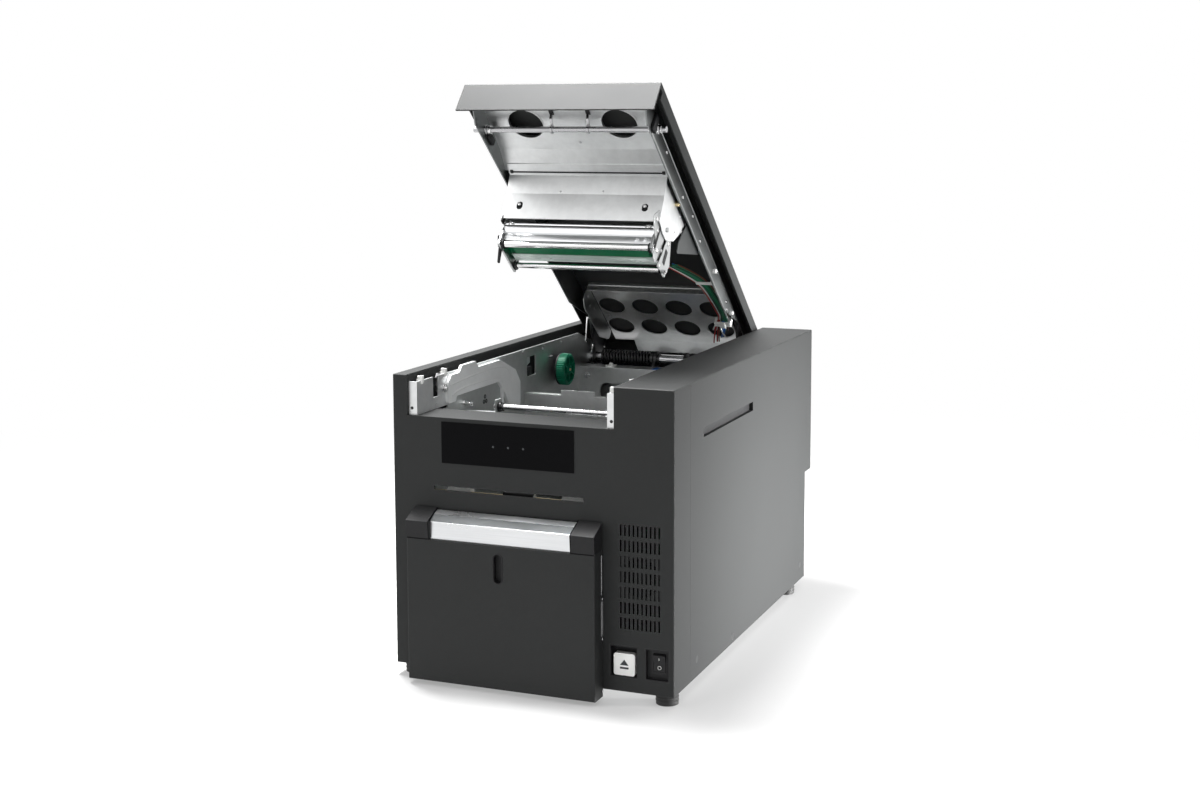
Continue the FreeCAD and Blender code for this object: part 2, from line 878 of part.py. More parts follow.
def make_side_panels():
    """The left panel and the wider right cover with its shallow recess."""
    g = s.cover_gauge
    zero = Size.of(0)
    make_side_panel("left_side_panel", (zero, g), (zero, s.notch_left), (s.notch_left - g, s.notch_left))
    width = s.body_width
    recess_y, recess_z = (s.recess_front, s.recess_rear), (s.recess_low, s.recess_high)
    tray = cut(
        "recess_tray",
        box("recess_block", (width - s.recess_deep - g, width - g / 2),
            (recess_y[0] - g, recess_y[1] + g), (recess_z[0] - g, recess_z[1] + g)),
        box("recess_hollow", (width - s.recess_deep, width + s.overrun), recess_y, recess_z),
    )
    hole = [(recess_y[0], recess_z[0]), (recess_y[1], recess_z[0]),
            (recess_y[1], recess_z[1]), (recess_y[0], recess_z[1])]
    make_side_panel("right_side_cover", (width - g, width), (s.notch_right, width),
                    (s.notch_right, s.notch_right + g), holes=[hole], extras=[tray])


def make_rear_panel():
    """The folded rear panel: lower wall, ledge and upper wall with the cover's clearance."""
    g = s.cover_gauge
    inner_left, inner_right = g, s.body_width - g
    inlet_gap = s.inlet_left, s.inlet_left + s.inlet_wide, s.inlet_low, s.inlet_low + s.inlet_tall
    inlet_hole = [(inlet_gap[0], inlet_gap[2]), (inlet_gap[1], inlet_gap[2]),
                  (inlet_gap[1], inlet_gap[3]), (inlet_gap[0], inlet_gap[3])]
    lower = plate("rear_lower", "y", (s.lower_depth - g, s.lower_depth),
                  [(inner_left, 0), (inner_right, 0), (inner_right, s.rear_step_height + g),
                   (inner_left, s.rear_step_height + g)], [inlet_hole])
    ledge = box("rear_ledge", (inner_left, inner_right), (s.lower_depth - g, s.upper_depth),
                (s.rear_step_height, s.rear_step_height + g))
    top = s.body_height - g
    low = s.rear_step_height
    left_post, right_post = s.notch_left - g, s.notch_right + g
    upper = plate("rear_upper", "y", (s.upper_depth - g, s.upper_depth),
                  [(inner_left, low), (inner_right, low), (inner_right, top), (right_post, top),
                   (right_post, s.rear_sill_height), (left_post, s.rear_sill_height),
                   (left_post, top), (inner_left, top)])
    finish("rear_panel", join("rear_folded", lower, ledge, upper))


def make_base_pan():
    """The folded floor of the case, with the feet and cover screws."""
    g = s.cover_gauge
    x = (g, s.body_width - g)
    y = (g, s.lower_depth - g)
    wall = (g, s.base_flange + s.overrun)
    shanks = [rod("shank_hole", "x", at, s.screw_shank_radius, (-s.overrun, s.body_width + s.overrun))
              for at in screw_places]
    inlet_gap = box("base_inlet_gap", (s.inlet_left, s.inlet_left + s.inlet_wide), (y[1] - g - s.overrun, s.lower_depth),
                    (s.inlet_low - s.inlet_flange, s.base_flange + s.overrun))
    pan = cut("base_folded", box("base_block", x, y, (0, s.base_flange)),
              box("base_hollow", (x[0] + g, x[1] - g), (y[0] + g, y[1] - g), wall),
              box("base_front_gap", (x[0] + g, x[1] - g), (-s.overrun, y[0] + g + g), wall), inlet_gap, *shanks)
    finish("base_pan", pan)
    feet = []
    for x_foot in (s.foot_side, s.body_width - s.foot_side):
        for y_foot in (s.foot_front, s.foot_rear):
            feet.append(rod("foot", "z", (x_foot, y_foot), s.foot_radius, (-s.foot_height, Size.of(0))))
    finish("feet", group("feet_set", *feet))
    screws = []
    width = s.body_width
    for at in screw_places:
        for head_span, shank_span in (
            ((Size.of(0), s.screw_head), (s.screw_head, s.screw_long)),
            ((width - s.screw_head, width), (width - s.screw_long, width - s.screw_head)),
        ):
            screws.append(join("screw", rod("screw_top", "x", at, s.screw_radius, head_span),
                               rod("screw_shank", "x", at, s.screw_shank_radius, shank_span)))
    finish("cover_screws", group("screw_set", *screws))


# Shared places


left_inner = s.frame_left + s.frame_gauge
right_inner = s.frame_right - s.frame_gauge
frame_mid_twice = s.frame_left + s.frame_right
hinge_at = (s.hinge_y, s.hinge_z)
platen_at = (s.platen_y, s.platen_z)
exit_at = (s.exit_shaft_y, s.exit_shaft_z)
pick_at = (s.pick_y, s.pick_z)
hub_at = (s.hub_y, s.hub_z)
guide_at = (s.guide_y, s.guide_z)
motor_at = (s.motor_y, s.motor_z)
latch_at = (s.latch_y, s.latch_z)


def flipped(span):
    """A span along x mirrored across the middle of the inner frame."""
    return frame_mid_twice - span[1], frame_mid_twice - span[0]


def about(middle, half):
    """A span of a given half width about a middle."""
    return middle - half, middle + half


# Inner frame


def make_frame_plates():
    """The two upright plates that carry the mechanism."""
    zero_step = s.sill_height - s.frame_gauge - s.cover_bend
    low_rear = s.lower_depth - s.cover_gauge - s.overrun
    outline = [
        (s.frame_front, s.cover_gauge), (low_rear, s.cover_gauge), (low_rear, s.rear_step_height + s.overrun),
        (s.frame_rear, s.rear_step_height + s.overrun), (s.frame_rear, s.frame_rear_top),
        (s.frame_slope_y, s.frame_top), (s.frame_step_y, s.frame_top), (s.frame_step_y, zero_step),
        (s.frame_front, zero_step),
    ]
    y_window = (s.frame_window_y, s.frame_window_y + s.frame_window_long)
    z_window = (s.frame_window_z, s.frame_window_z + s.frame_window_tall)
    window = [(y_window[0], z_window[0]), (y_window[1], z_window[0]),
              (y_window[1], z_window[1]), (y_window[0], z_window[1])]
    shared = [window, Circle(*platen_at, s.bearing_radius), Circle(*exit_at, s.bush_radius),
              Circle(*pick_at, s.bush_radius), Circle(*hinge_at, s.hinge_radius)]
    left = plate("left_frame_blank", "x", (s.frame_left, left_inner), outline,
                 shared + [Circle(*hub_at, s.bush_radius), Circle(*motor_at, s.motor_boss_radius)])
    y_tab = about(s.guide_y, s.guide_tab_long / 2)
    z_tab = (s.guide_z - s.guide_tab_tall / 2, s.guide_z + s.guide_tab_tall / 2)
    tab_floor = box("guide_tab_floor", (s.frame_left, s.guide_left), y_tab, (z_tab[0], z_tab[0] + s.frame_gauge))
    tab_end = plate("guide_tab_end", "x", (s.guide_left - s.frame_gauge, s.guide_left),
                    [(y_tab[0], z_tab[0]), (y_tab[1], z_tab[0]), (y_tab[1], z_tab[1]), (y_tab[0], z_tab[1])],
                    [Circle(*guide_at, s.guide_bush_radius)])
    finish("left_frame_plate", join("left_frame_folded", left, tab_floor, tab_end))
    right = plate("right_frame_blank", "x", (right_inner, s.frame_right), outline,
                  shared + [Circle(*guide_at, s.guide_radius)])
    finish("right_frame_plate", right)


def make_catch_brackets():
    """The folded brackets beside the cover's front corners, with their pivot studs and edge clips."""
    outline = [
        (s.bracket_front, s.sill_height), (s.frame_step_y - s.seam, s.sill_height),
        (s.frame_step_y - s.seam, s.bracket_top), (s.bracket_slot_rear, s.bracket_top),
        (s.bracket_slot_rear, s.bracket_slot_low), (s.bracket_slot_front, s.bracket_slot_low),
        (s.bracket_slot_front, s.bracket_top), (s.bracket_front, s.bracket_top),
    ]
    catch_at = (s.catch_y, s.catch_z)
    hook_outer = s.frame_left - s.catch_offset - s.catch_gauge
    hole = Circle((s.bracket_slot_front + s.bracket_slot_rear) / 2, s.sill_height + s.bracket_hole_rise,
                  s.bracket_hole_radius)
    clips = []
    sides = (
        ("left", (s.frame_left, left_inner), (s.notch_left + s.seam, left_inner)),
        ("right", (right_inner, s.frame_right), (right_inner, s.notch_right - s.seam)),
    )
    for side, wall, leg in sides:
        turn = flipped if side == "right" else tuple
        folded = join(
            side + "_bracket_folded",
            plate(side + "_bracket_wall", "x", wall, outline, [hole]),
            box(side + "_bracket_leg", leg, (s.bracket_front, s.bracket_front + s.frame_gauge),
                (s.sill_height, s.bracket_top)),
            rod(side + "_stud", "x", catch_at, s.catch_pin_radius,
                turn((hook_outer - s.catch_head_thick, left_inner + s.catch_head_thick))),
            rod(side + "_stud_head", "x", catch_at, s.catch_head_radius,
                turn((left_inner, left_inner + s.catch_head_thick))),
            rod(side + "_stud_cap", "x", catch_at, s.catch_head_radius,
                turn((hook_outer - s.catch_head_thick, hook_outer - s.shaft_clear))),
        )
        finish(side + "_catch_bracket", folded)
        for y_clip in (s.clip_front_y, s.clip_rear_y - s.clip_long / 2):
            saddle = box("clip_block", about((wall[0] + wall[1]) / 2, s.clip_wide / 2),
                         about(y_clip, s.clip_long / 2), (s.clip_low, s.clip_high))
            slot = box("clip_slot", wall, about(y_clip, s.clip_long), (s.clip_low - s.overrun, s.bracket_top))
            clips.append(cut("clip", saddle, slot))
    finish("latch_guide_pins", group("clip_set", *clips))


def make_latch_hooks():
    """The two hooks that hold the cover shaft down, drawn swung back in their released place."""
    turn_cosine, turn_sine = cosine(s.catch_swing), sine(s.catch_swing)
    corners = []
    for y_share, z_share in CATCH_OUTLINE_SHARES:
        run, rise = s.catch_reach * y_share, s.catch_reach * z_share
        corners.append((s.catch_y + run * turn_cosine + rise * turn_sine,
                        s.catch_z - run * turn_sine + rise * turn_cosine))
    span = (s.frame_left - s.catch_offset - s.catch_gauge, s.frame_left - s.catch_offset)
    bore = Circle(s.catch_y, s.catch_z, s.catch_pin_radius + s.shaft_clear)
    finish("left_latch_hook", plate("left_hook_plate", "x", span, corners, [bore]))
    finish("right_latch_hook", plate("right_hook_plate", "x", flipped(span), corners, [bore]))


def make_ribbon_guard():
    """The pale moulded guard that frames the ribbon path on the left."""
    step = s.guard_bump_high - s.guard_high
    bump_front = s.guard_inner_front + s.guard_bend / 2
    bump_rear = s.guard_bump_rear
    slope_front = s.guard_inner_rear + s.guard_bend / 4
    rear_corner = s.guard_rear + s.guard_width * 2 / 3
    outline = [
        (s.guard_front, s.guard_front_low), (s.guard_inner_front, s.guard_front_low),
        (s.guard_inner_front, s.guard_inner_high), (s.guard_inner_rear, s.guard_inner_high),
        (s.guard_inner_rear + s.guard_bend, s.guard_inner_high - s.guard_bend),
        (rear_corner - s.guard_width - s.guard_bend / 2, s.guard_low), (rear_corner, s.guard_low),
        (rear_corner, s.guard_inner_high - s.guard_bend / 2),
        (s.guard_rear, s.guard_inner_high + s.guard_bend / 2), (slope_front, s.guard_high),
        (bump_rear + step, s.guard_high), (bump_rear, s.guard_bump_high), (bump_front + step, s.guard_bump_high),
        (bump_front, s.guard_high), (s.guard_front + s.guard_bend / 2, s.guard_high),
        (s.guard_front, s.guard_high - s.guard_bend / 2),
    ]
    blank = plate("guard_blank", "x", (left_inner, left_inner + s.guard_gauge), outline)
    finish("ribbon_guard", rounded("guard_smooth", blank, s.guard_round, lambda edge: along(edge, "x")))


def make_cross_members():
    """The front cross plate and the rear box beam between the frame plates."""
    x, g = (left_inner, right_inner), s.frame_gauge
    y = s.cross_front_y
    finish("front_cross_plate", join(
        "front_cross_folded",
        box("front_cross_wall", x, (y, y + g), (s.cross_front_low, s.cross_front_top)),
        box("front_cross_lip", x, (y, y + s.cross_front_lip), (s.cross_front_top - g, s.cross_front_top)),
        box("front_cross_tab", (s.cross_tab_left, s.cross_tab_left + s.cross_tab_wide), (y, y + g),
            (s.cross_front_top - g, s.cross_front_top + s.cross_tab_rise)),
    ))
    y = (s.cross_rear_y, s.cross_rear_y + s.cross_rear_deep)
    z = (s.cross_rear_low, s.cross_rear_top)
    window = rounded(
        "rear_cross_window",
        box("rear_cross_window_block", (s.cross_window_left, s.cross_window_right),
            (y[0] - s.overrun, y[0] + g + s.overrun), (s.cross_window_low, s.cross_window_high)),
        s.cross_window_round, lambda edge: along(edge, "y"))
    finish("rear_cross_box", cut(
        "rear_cross_folded", box("rear_cross_block", x, y, z),
        box("rear_cross_hollow", (x[0] - s.overrun, x[1] + s.overrun), (y[0] + g, y[1] - g), (z[0] + g, z[1] - g)),
        window))


def make_shafts():
    """The fixed guide rod, the hinge shaft with its stands, and the bushes and bearings."""
    finish("guide_shaft", rod("guide_rod", "x", guide_at, s.guide_radius,
                              (s.guide_left - s.guide_bush_long, s.frame_right + s.shaft_reach)))
    collar_left = (left_inner, left_inner + s.hinge_collar_thick)
    finish("hinge_shaft", join(
        "hinge_turned",
        rod("hinge_rod", "x", hinge_at, s.hinge_radius, (s.hinge_left, s.hinge_right)),
        rod("hinge_collar_left", "x", hinge_at, s.hinge_collar_radius, collar_left),
        rod("hinge_collar_right", "x", hinge_at, s.hinge_collar_radius, flipped(collar_left)),
    ))
    back = s.cross_rear_y + s.cross_rear_deep
    stands = []
    for x_stand in (s.stand_left, s.stand_right):
        span = (x_stand, x_stand + s.stand_gauge)
        arm = plate("stand_arm", "x", span,
                    [(back, s.cross_rear_top - s.stand_drop), (s.hinge_y, s.hinge_z - s.stand_radius),
                     (s.hinge_y, s.hinge_z + s.stand_radius), (back, s.cross_rear_top)])
        eye = rod("stand_eye", "x", hinge_at, s.stand_radius, span)
        bore = rod("stand_bore", "x", hinge_at, s.hinge_radius, (span[0] - s.overrun, span[1] + s.overrun))
        stands.append(cut("stand", join("stand_blank", arm, eye), bore))
    finish("hinge_brackets", group("stand_set", *stands))
    thick = s.bearing_thick
    left_span = about((s.frame_left + left_inner) / 2, thick / 2)
    right_span = flipped(left_span)
    pieces = []
    for span in (left_span, right_span):
        pieces.append(tube("platen_bearing", "x", platen_at, s.bearing_radius,
                           s.platen_shaft_radius + s.shaft_clear, span))
        pieces.append(tube("exit_bush", "x", exit_at, s.bush_radius, s.exit_shaft_radius + s.shaft_clear, span))
        pieces.append(tube("pick_bush", "x", pick_at, s.bush_radius, s.pick_shaft_radius + s.shaft_clear, span))
    pieces.append(tube("spindle_bush", "x", hub_at, s.bush_radius, s.spindle_radius + s.shaft_clear, left_span))
    pieces.append(tube("guide_bush", "x", guide_at, s.guide_bush_radius, s.guide_radius,
                       about(s.guide_left - s.frame_gauge / 2, s.guide_bush_long / 2)))
    finish("shaft_bearings", group("bearing_set", *pieces))


def make_spring():
    """The wound cover spring around the hinge shaft, as one unbroken tube."""
    wire, radius, pitch = s.spring_wire.value, s.spring_radius.value, s.spring_pitch.value
    left, leg = s.spring_left.value + wire / 2, s.spring_leg.value
    centre_y, centre_z = s.hinge_y.value, s.hinge_z.value
    halves = SPRING_TURNS * 2

    def place(half):
        angle = math.pi * half
        return Vector(left + pitch * half / 2, centre_y + radius * math.sin(angle), centre_z - radius * math.cos(angle))

    def heading(half):
        angle = math.pi * half
        return Vector(pitch / 2 / math.pi, radius * math.cos(angle), radius * math.sin(angle)).normalize()

    edges = [Part.LineSegment(place(0) - heading(0) * leg, place(0)).toShape()]
    for step in range(halves * 2):
        start, end = place(step / 2), place((step + 1) / 2)
        for piece in biarc(start, heading(step / 2), end, heading((step + 1) / 2)):
            edges.append(piece.toShape())
    edges.append(Part.LineSegment(place(halves), place(halves) + heading(halves) * leg).toShape())
    path = Part.Wire(edges)
    section = Part.Wire([Part.Circle(path.Vertexes[0].Point, heading(0), wire / 2).toShape()])
    coil = path.makePipeShell([section], True, False)
    spring = doc.addObject("Part::Feature", "spring_coil")
    spring.Shape = coil
    least = min((place(step / 8) - place(step / 8 + 2)).Length for step in range(8)) - wire
    print("spring gap", round(least, 3), "volume ratio",
          round(coil.Volume / (path.Length * math.pi * wire * wire / 4), 4))
    finish("torsion_spring", spring)


def biarc(start, start_way, end, end_way):
    """Two arcs that meet smoothly, joining two places with given headings."""
    chord = end - start
    total = start_way + end_way
    square = 2 * (1 - start_way.dot(end_way))
    reach = chord.dot(total)
    size = (-reach + math.sqrt(reach * reach + square * chord.dot(chord))) / square
    first, second = start + start_way * size, end - end_way * size
    middle = (first + second) * 0.5
    arcs = []
    for begin, corner, finish_point in ((start, first, middle), (middle, second, end)):
        half = ((begin - corner).normalize() + (finish_point - corner).normalize()).normalize()
        tip_angle = (begin - corner).getAngle(finish_point - corner) / 2
        arm = (begin - corner).Length
        radius = arm * math.tan(tip_angle)
        crown = corner + half * (math.hypot(arm, radius) - radius)
        arcs.append(Part.Arc(begin, crown, finish_point))
    return arcs


# Cover


def make_cover_shell():
    """The cover's folded skin with its front flap, side flanges and rear flange."""
    g = s.cover_gauge
    top = s.body_height
    y = (Size.of(0), s.cover_rear)
    block = box("cover_block", (cover_left, cover_right), y, (top - s.cover_flap, top))
    smooth = rounded(
        "cover_smooth", block, s.cover_bend,
        lambda edge: (along(edge, "x") and at_place(edge, z=top) and edge.Length > s.cover_flap.value)
        or (along(edge, "y") and at_place(edge, z=top)))
    hollow = box("cover_hollow", (cover_left + g, cover_right - g), (g, y[1] - g), (top - s.cover_flap - g, top - g))
    trim = box("cover_trim", (cover_left - g, cover_right + g), (g, y[1] + g),
               (top - s.cover_flap - g, top - s.cover_flange))
    relief = box("cover_relief", (cover_left - g, cover_right + g), (g, g + s.cover_relief_long),
                 (top - s.cover_flap - g, top - s.cover_flange + s.cover_relief_rise))
    finish_on_cover("lid_cover", cut("cover_folded", smooth, hollow, trim, relief))


def make_cover_frame():
    """The rails, beam, rear plate, hinge arms and latch shaft inside the cover."""
    under = s.cover_gauge
    outline = [
        (s.rail_front, below(under)), (s.rail_rear, below(under)), (s.rail_rear, below(s.rail_rear_depth)),
        (s.rail_slope_rear, below(s.rail_rear_depth)), (s.rail_slope_front, below(s.rail_depth)),
        (s.rail_front + s.rail_rear_depth, below(s.rail_depth)), (s.rail_front, below(s.beam_rear_drop)),
    ]
    latch_hole = Circle(s.latch_y, s.latch_z, s.latch_radius)
    left = (s.notch_left + s.rail_inset, s.notch_left + s.rail_inset + s.rail_gauge)
    right = (s.notch_right - s.rail_inset - s.rail_gauge, s.notch_right - s.rail_inset)
    finish_on_cover("lid_side_plates", group(
        "rail_set", plate("left_rail", "x", left, outline, [latch_hole]),
        plate("right_rail", "x", right, outline, [latch_hole])))
    inner = (left[1], right[0])
    g = s.beam_gauge
    beam = plate("beam_sheet", "x", inner, [
        (s.beam_front, below(under)), (s.beam_front, below(s.beam_front_drop)),
        (s.beam_bend, below(s.beam_bend_drop)), (s.beam_rear, below(s.beam_rear_drop)),
        (s.beam_rear, below(s.beam_rear_drop - g)), (s.beam_bend, below(s.beam_bend_drop - g)),
        (s.beam_front + g, below(s.beam_front_drop - g)), (s.beam_front + g, below(under)),
    ])
    holes = [rod("beam_hole", "z", (x_hole, s.beam_hole_y), s.beam_hole_radius,
                 (below(s.rail_depth), below(under)))
             for x_hole in about(cover_mid, s.beam_hole_half)]
    finish_on_cover("lid_crossmember", cut("beam_pierced", beam, *holes))
    make_rear_plate()
    shaft = join(
        "latch_turned",
        rod("latch_rod", "x", latch_at, s.latch_radius, about(cover_mid, s.latch_half)),
        rod("latch_collar_left", "x", latch_at, s.latch_collar_radius, (inner[0], inner[0] + s.latch_collar_thick)),
        rod("latch_collar_right", "x", latch_at, s.latch_collar_radius, (inner[1] - s.latch_collar_thick, inner[1])))
    finish_on_cover("latch_shaft", shaft)
    arms = []
    for span in ((inner[0], inner[0] + s.arm_gauge), (inner[1] - s.arm_gauge, inner[1])):
        web = plate("arm_web", "x", span, [
            (s.arm_front, below(s.rail_rear_depth)), (s.arm_front, below(under)), (s.arm_rear, below(under)),
            (s.hinge_y + s.arm_eye_radius, s.hinge_z), (s.hinge_y - s.arm_eye_radius, s.hinge_z),
        ])
        eye = rod("arm_eye", "x", hinge_at, s.arm_eye_radius, span)
        bore = rod("arm_bore", "x", hinge_at, s.hinge_radius + s.hinge_clear, (span[0] - s.overrun, span[1] + s.overrun))
        arms.append(cut("arm", join("arm_blank", web, eye), bore))
    finish_on_cover("lid_arms", group("arm_set", *arms))


def make_rear_plate():
    """The pierced plate near the hinge, with its front flange and tapered rear tab."""
    g, under = s.panel_gauge, s.cover_gauge
    x = about(cover_mid, s.panel_half)
    sheet_part = box("panel_sheet", x, (s.panel_front, s.panel_rear), (below(s.panel_drop), below(s.panel_drop - g)))
    flange = box("panel_flange", x, (s.panel_front, s.panel_front + g), (below(s.panel_front_drop), below(under)))
    half_low, half_top = s.panel_tab_half, s.panel_tab_top_half
    tab = plate("panel_tab", "y", (s.panel_rear - g, s.panel_rear), [
        (cover_mid - half_low, below(s.panel_tab_drop)), (cover_mid + half_low, below(s.panel_tab_drop)),
        (cover_mid + half_top, below(under)), (cover_mid - half_top, below(under)),
    ])
    pitch = s.panel_half * PANEL_PITCH_SHARE
    reach = pitch * (PANEL_HOLE_COLUMNS - 1) / 2
    holes = []
    for row in range(PANEL_HOLE_ROWS):
        for column in range(PANEL_HOLE_COLUMNS):
            at = (cover_mid - reach + pitch * column, s.panel_hole_row + pitch * row)
            holes.append(rod("panel_hole", "z", at, pitch * PANEL_HOLE_SHARE,
                             (below(s.panel_front_drop), below(s.panel_drop - g - s.seam))))
    finish_on_cover("lid_rear_plate", cut("panel_pierced", join("panel_folded", sheet_part, flange, tab), *holes))


# Print head unit


def make_head_bracket():
    """The folded bracket that hangs from the beam and carries the head between its wings."""
    g = s.bracket_gauge
    slope = (s.beam_rear_drop - s.beam_bend_drop) / (s.beam_rear - s.beam_bend)

    def beam_drop(y):
        return s.beam_bend_drop + (y - s.beam_bend) * slope

    x = about(cover_mid, s.head_half)
    sheet_part = plate("hanger_sheet", "x", x, [
        (s.bracket_hang_y, below(beam_drop(s.bracket_hang_y))),
        (s.bracket_top_y + g, below(beam_drop(s.bracket_top_y + g))),
        (s.bracket_fold_y + g, below(s.bracket_fold_drop)), (s.bracket_low_y + g, below(s.bracket_low_drop)),
        (s.bracket_low_y, below(s.bracket_low_drop)), (s.bracket_fold_y, below(s.bracket_fold_drop)),
        (s.bracket_top_y, below(beam_drop(s.bracket_top_y) + g)),
        (s.bracket_hang_y, below(beam_drop(s.bracket_hang_y) + g)),
    ])
    wing_top = beam_drop(s.bracket_top_y + g)
    outline = [
        (s.bracket_top_y + g, below(wing_top)), (s.wing_rear_y, below(wing_top)),
        (s.wing_rear_y, below(s.bracket_top_drop + s.guard_bend)), (s.wing_shoulder_y, below(s.wing_shoulder_drop)),
        (s.wing_tip_y, below(s.wing_tip_drop)), (s.pivot_y + s.pivot_boss_radius, below(s.wing_low_drop)),
        (s.pivot_y - s.pivot_boss_radius, below(s.wing_low_drop)), (s.bracket_low_y, below(s.bracket_low_drop)),
        (s.bracket_fold_y, below(s.bracket_fold_drop)),
    ]
    pivot = Circle(s.pivot_y, below(s.pivot_drop), s.pivot_radius + s.shaft_clear)
    wings = [plate("wing", "x", span, outline, [pivot]) for span in ((x[0], x[0] + g), (x[1] - g, x[1]))]
    slots = [rounded("hanger_slot",
                     box("hanger_slot_block", about(x_slot, s.hanger_slot_wide / 2),
                         (s.bracket_fold_y - s.overrun, s.bracket_low_y + s.overrun),
                         (below(s.hanger_slot_low), below(s.hanger_slot_high))),
                     s.hanger_slot_round, lambda edge: along(edge, "y"))
             for x_slot in about(cover_mid, s.hanger_slot_half)]
    finish_on_cover("head_bracket", cut("hanger_pierced", join("hanger_folded", sheet_part, *wings), *slots))


def make_head_unit():
    """The pivoting head: bar, cheeks with pivot pins, print head, pinch roller and lower shaft."""
    x_bar = about(cover_mid, s.bar_half)
    t = s.bar_thick
    bar = plate("bar_blank", "x", x_bar, [
        (s.bar_front_y, below(s.bar_top_drop)), (s.bar_low_y, below(s.bar_low_drop)),
        (s.bar_low_y + t, below(s.bar_low_drop)), (s.bar_front_y + t, below(s.bar_top_drop)),
    ])
    finish_on_cover("head_bar", rounded("bar_smooth", bar, s.bar_round, lambda edge: along(edge, "x")))
    pivot_at = (s.pivot_y, below(s.pivot_drop))
    roller_at = (s.roller_y, below(s.roller_drop))
    peel_at = (s.peel_y, below(s.peel_drop))
    corner = s.cheek_corner
    outline = [
        (s.cheek_front_y, below(s.cheek_top_drop + corner)), (s.cheek_front_y, below(s.cheek_low_drop)),
        (s.cheek_rear_y, below(s.cheek_low_drop)), (s.cheek_rear_y, below(s.cheek_top_drop + corner)),
        (s.cheek_rear_y - corner, below(s.cheek_top_drop)), (s.pivot_y + s.pivot_boss_radius, below(s.pivot_drop)),
        (s.pivot_y - s.pivot_boss_radius, below(s.pivot_drop)), (s.cheek_front_y + corner / 2, below(s.cheek_top_drop)),
    ]
    holes = [Circle(*roller_at, s.roller_end_radius + s.shaft_clear), Circle(*peel_at, s.peel_radius)]
    cheeks = []
    g = s.cheek_gauge
    wing_outer = s.head_half
    for side, span, pin in (
        ("left", (x_bar[0] - g, x_bar[0]), (cover_mid - wing_outer - g, x_bar[0])),
        ("right", (x_bar[1], x_bar[1] + g), (x_bar[1], cover_mid + wing_outer + g)),
    ):
        cheeks.append(join(
            side + "_cheek", plate(side + "_cheek_plate", "x", span, outline, holes),
            rod(side + "_cheek_boss", "x", pivot_at, s.pivot_boss_radius, span),
            rod(side + "_cheek_pin", "x", pivot_at, s.pivot_radius, pin)))
    finish_on_cover("head_side_plates", group("cheek_set", *cheeks))
    core = box("head_core", x_bar, (s.core_front_y, s.core_rear_y), (below(s.core_low_drop), below(s.core_top_drop)))
    strip = box("head_strip", about(cover_mid, s.strip_half), (s.strip_front_y, s.strip_rear_y),
                (below(s.core_low_drop + s.strip_thick), below(s.core_low_drop)))
    finish_on_cover("print_head", join("head_block", core, strip))
    finish_on_cover("pinch_roller", join(
        "pinch_turned",
        rod("pinch_body", "x", roller_at, s.roller_radius, about(cover_mid, s.bar_half - s.roller_radius)),
        rod("pinch_journal", "x", roller_at, s.roller_end_radius, about(cover_mid, s.bar_half + g))))
    finish_on_cover("peel_shaft", rod("peel_rod", "x", peel_at, s.peel_radius,
                                      about(cover_mid, s.head_half - s.head_swing / 3)))


def make_harness():
    """The bundle of thin wires along the right rail and the two clips that hold it."""
    radius = s.wire_radius.value
    route = [(s.notch_right.value - inset, y, below(Size.of(drop)).value) for inset, y, drop in HARNESS_ROUTE]
    wires = []
    for column in range(HARNESS_COLUMNS):
        for row in range(HARNESS_ROWS):
            shift = Vector(-column, 0, row) * s.wire_pitch.value
            wires.append(bent_wire([Vector(*point) + shift for point in route], radius))
    rail_face = s.notch_right.value - s.rail_inset.value - s.rail_gauge.value
    outer = max(point[0] for point in route) + radius
    for clip_y in HARNESS_CLIPS:
        thick = Part.makeBox(rail_face - outer, s.clip_long.value * 2, s.clip_high.value - s.clip_low.value,
                             Vector(outer, clip_y, below(s.rail_depth).value))
        wires.append(thick)
    bundle = doc.addObject("Part::Feature", "harness")
    bundle.Shape = Part.makeCompound(wires)
    finish_on_cover("lid_harness", bundle)


def bent_wire(points, radius):
    """A round wire of straight runs joined by arcs as large as the runs allow."""
    edges = []
    last = points[0]
    for before, corner, after in zip(points, points[1:], points[2:]):
        back, ahead = before - corner, after - corner
        shorter = min(back.Length, ahead.Length) * ARC_SHARE
        turn = math.pi - back.getAngle(ahead)
        bend = shorter / math.tan(turn / 2)
        start, end = corner + back.normalize() * shorter, corner + ahead.normalize() * shorter
        half = ((start - corner) + (end - corner)).normalize()
        crown = corner + half * (math.hypot(shorter, bend) - bend)
        edges.append(Part.LineSegment(last, start).toShape())
        edges.append(Part.Arc(start, crown, end).toShape())
        last = end
    edges.append(Part.LineSegment(last, points[-1]).toShape())
    path = Part.Wire(edges)
    section = Part.Wire([Part.Circle(points[0], points[1] - points[0], radius).toShape()])
    return path.makePipeShell([section], True, False)


# Rollers and drive


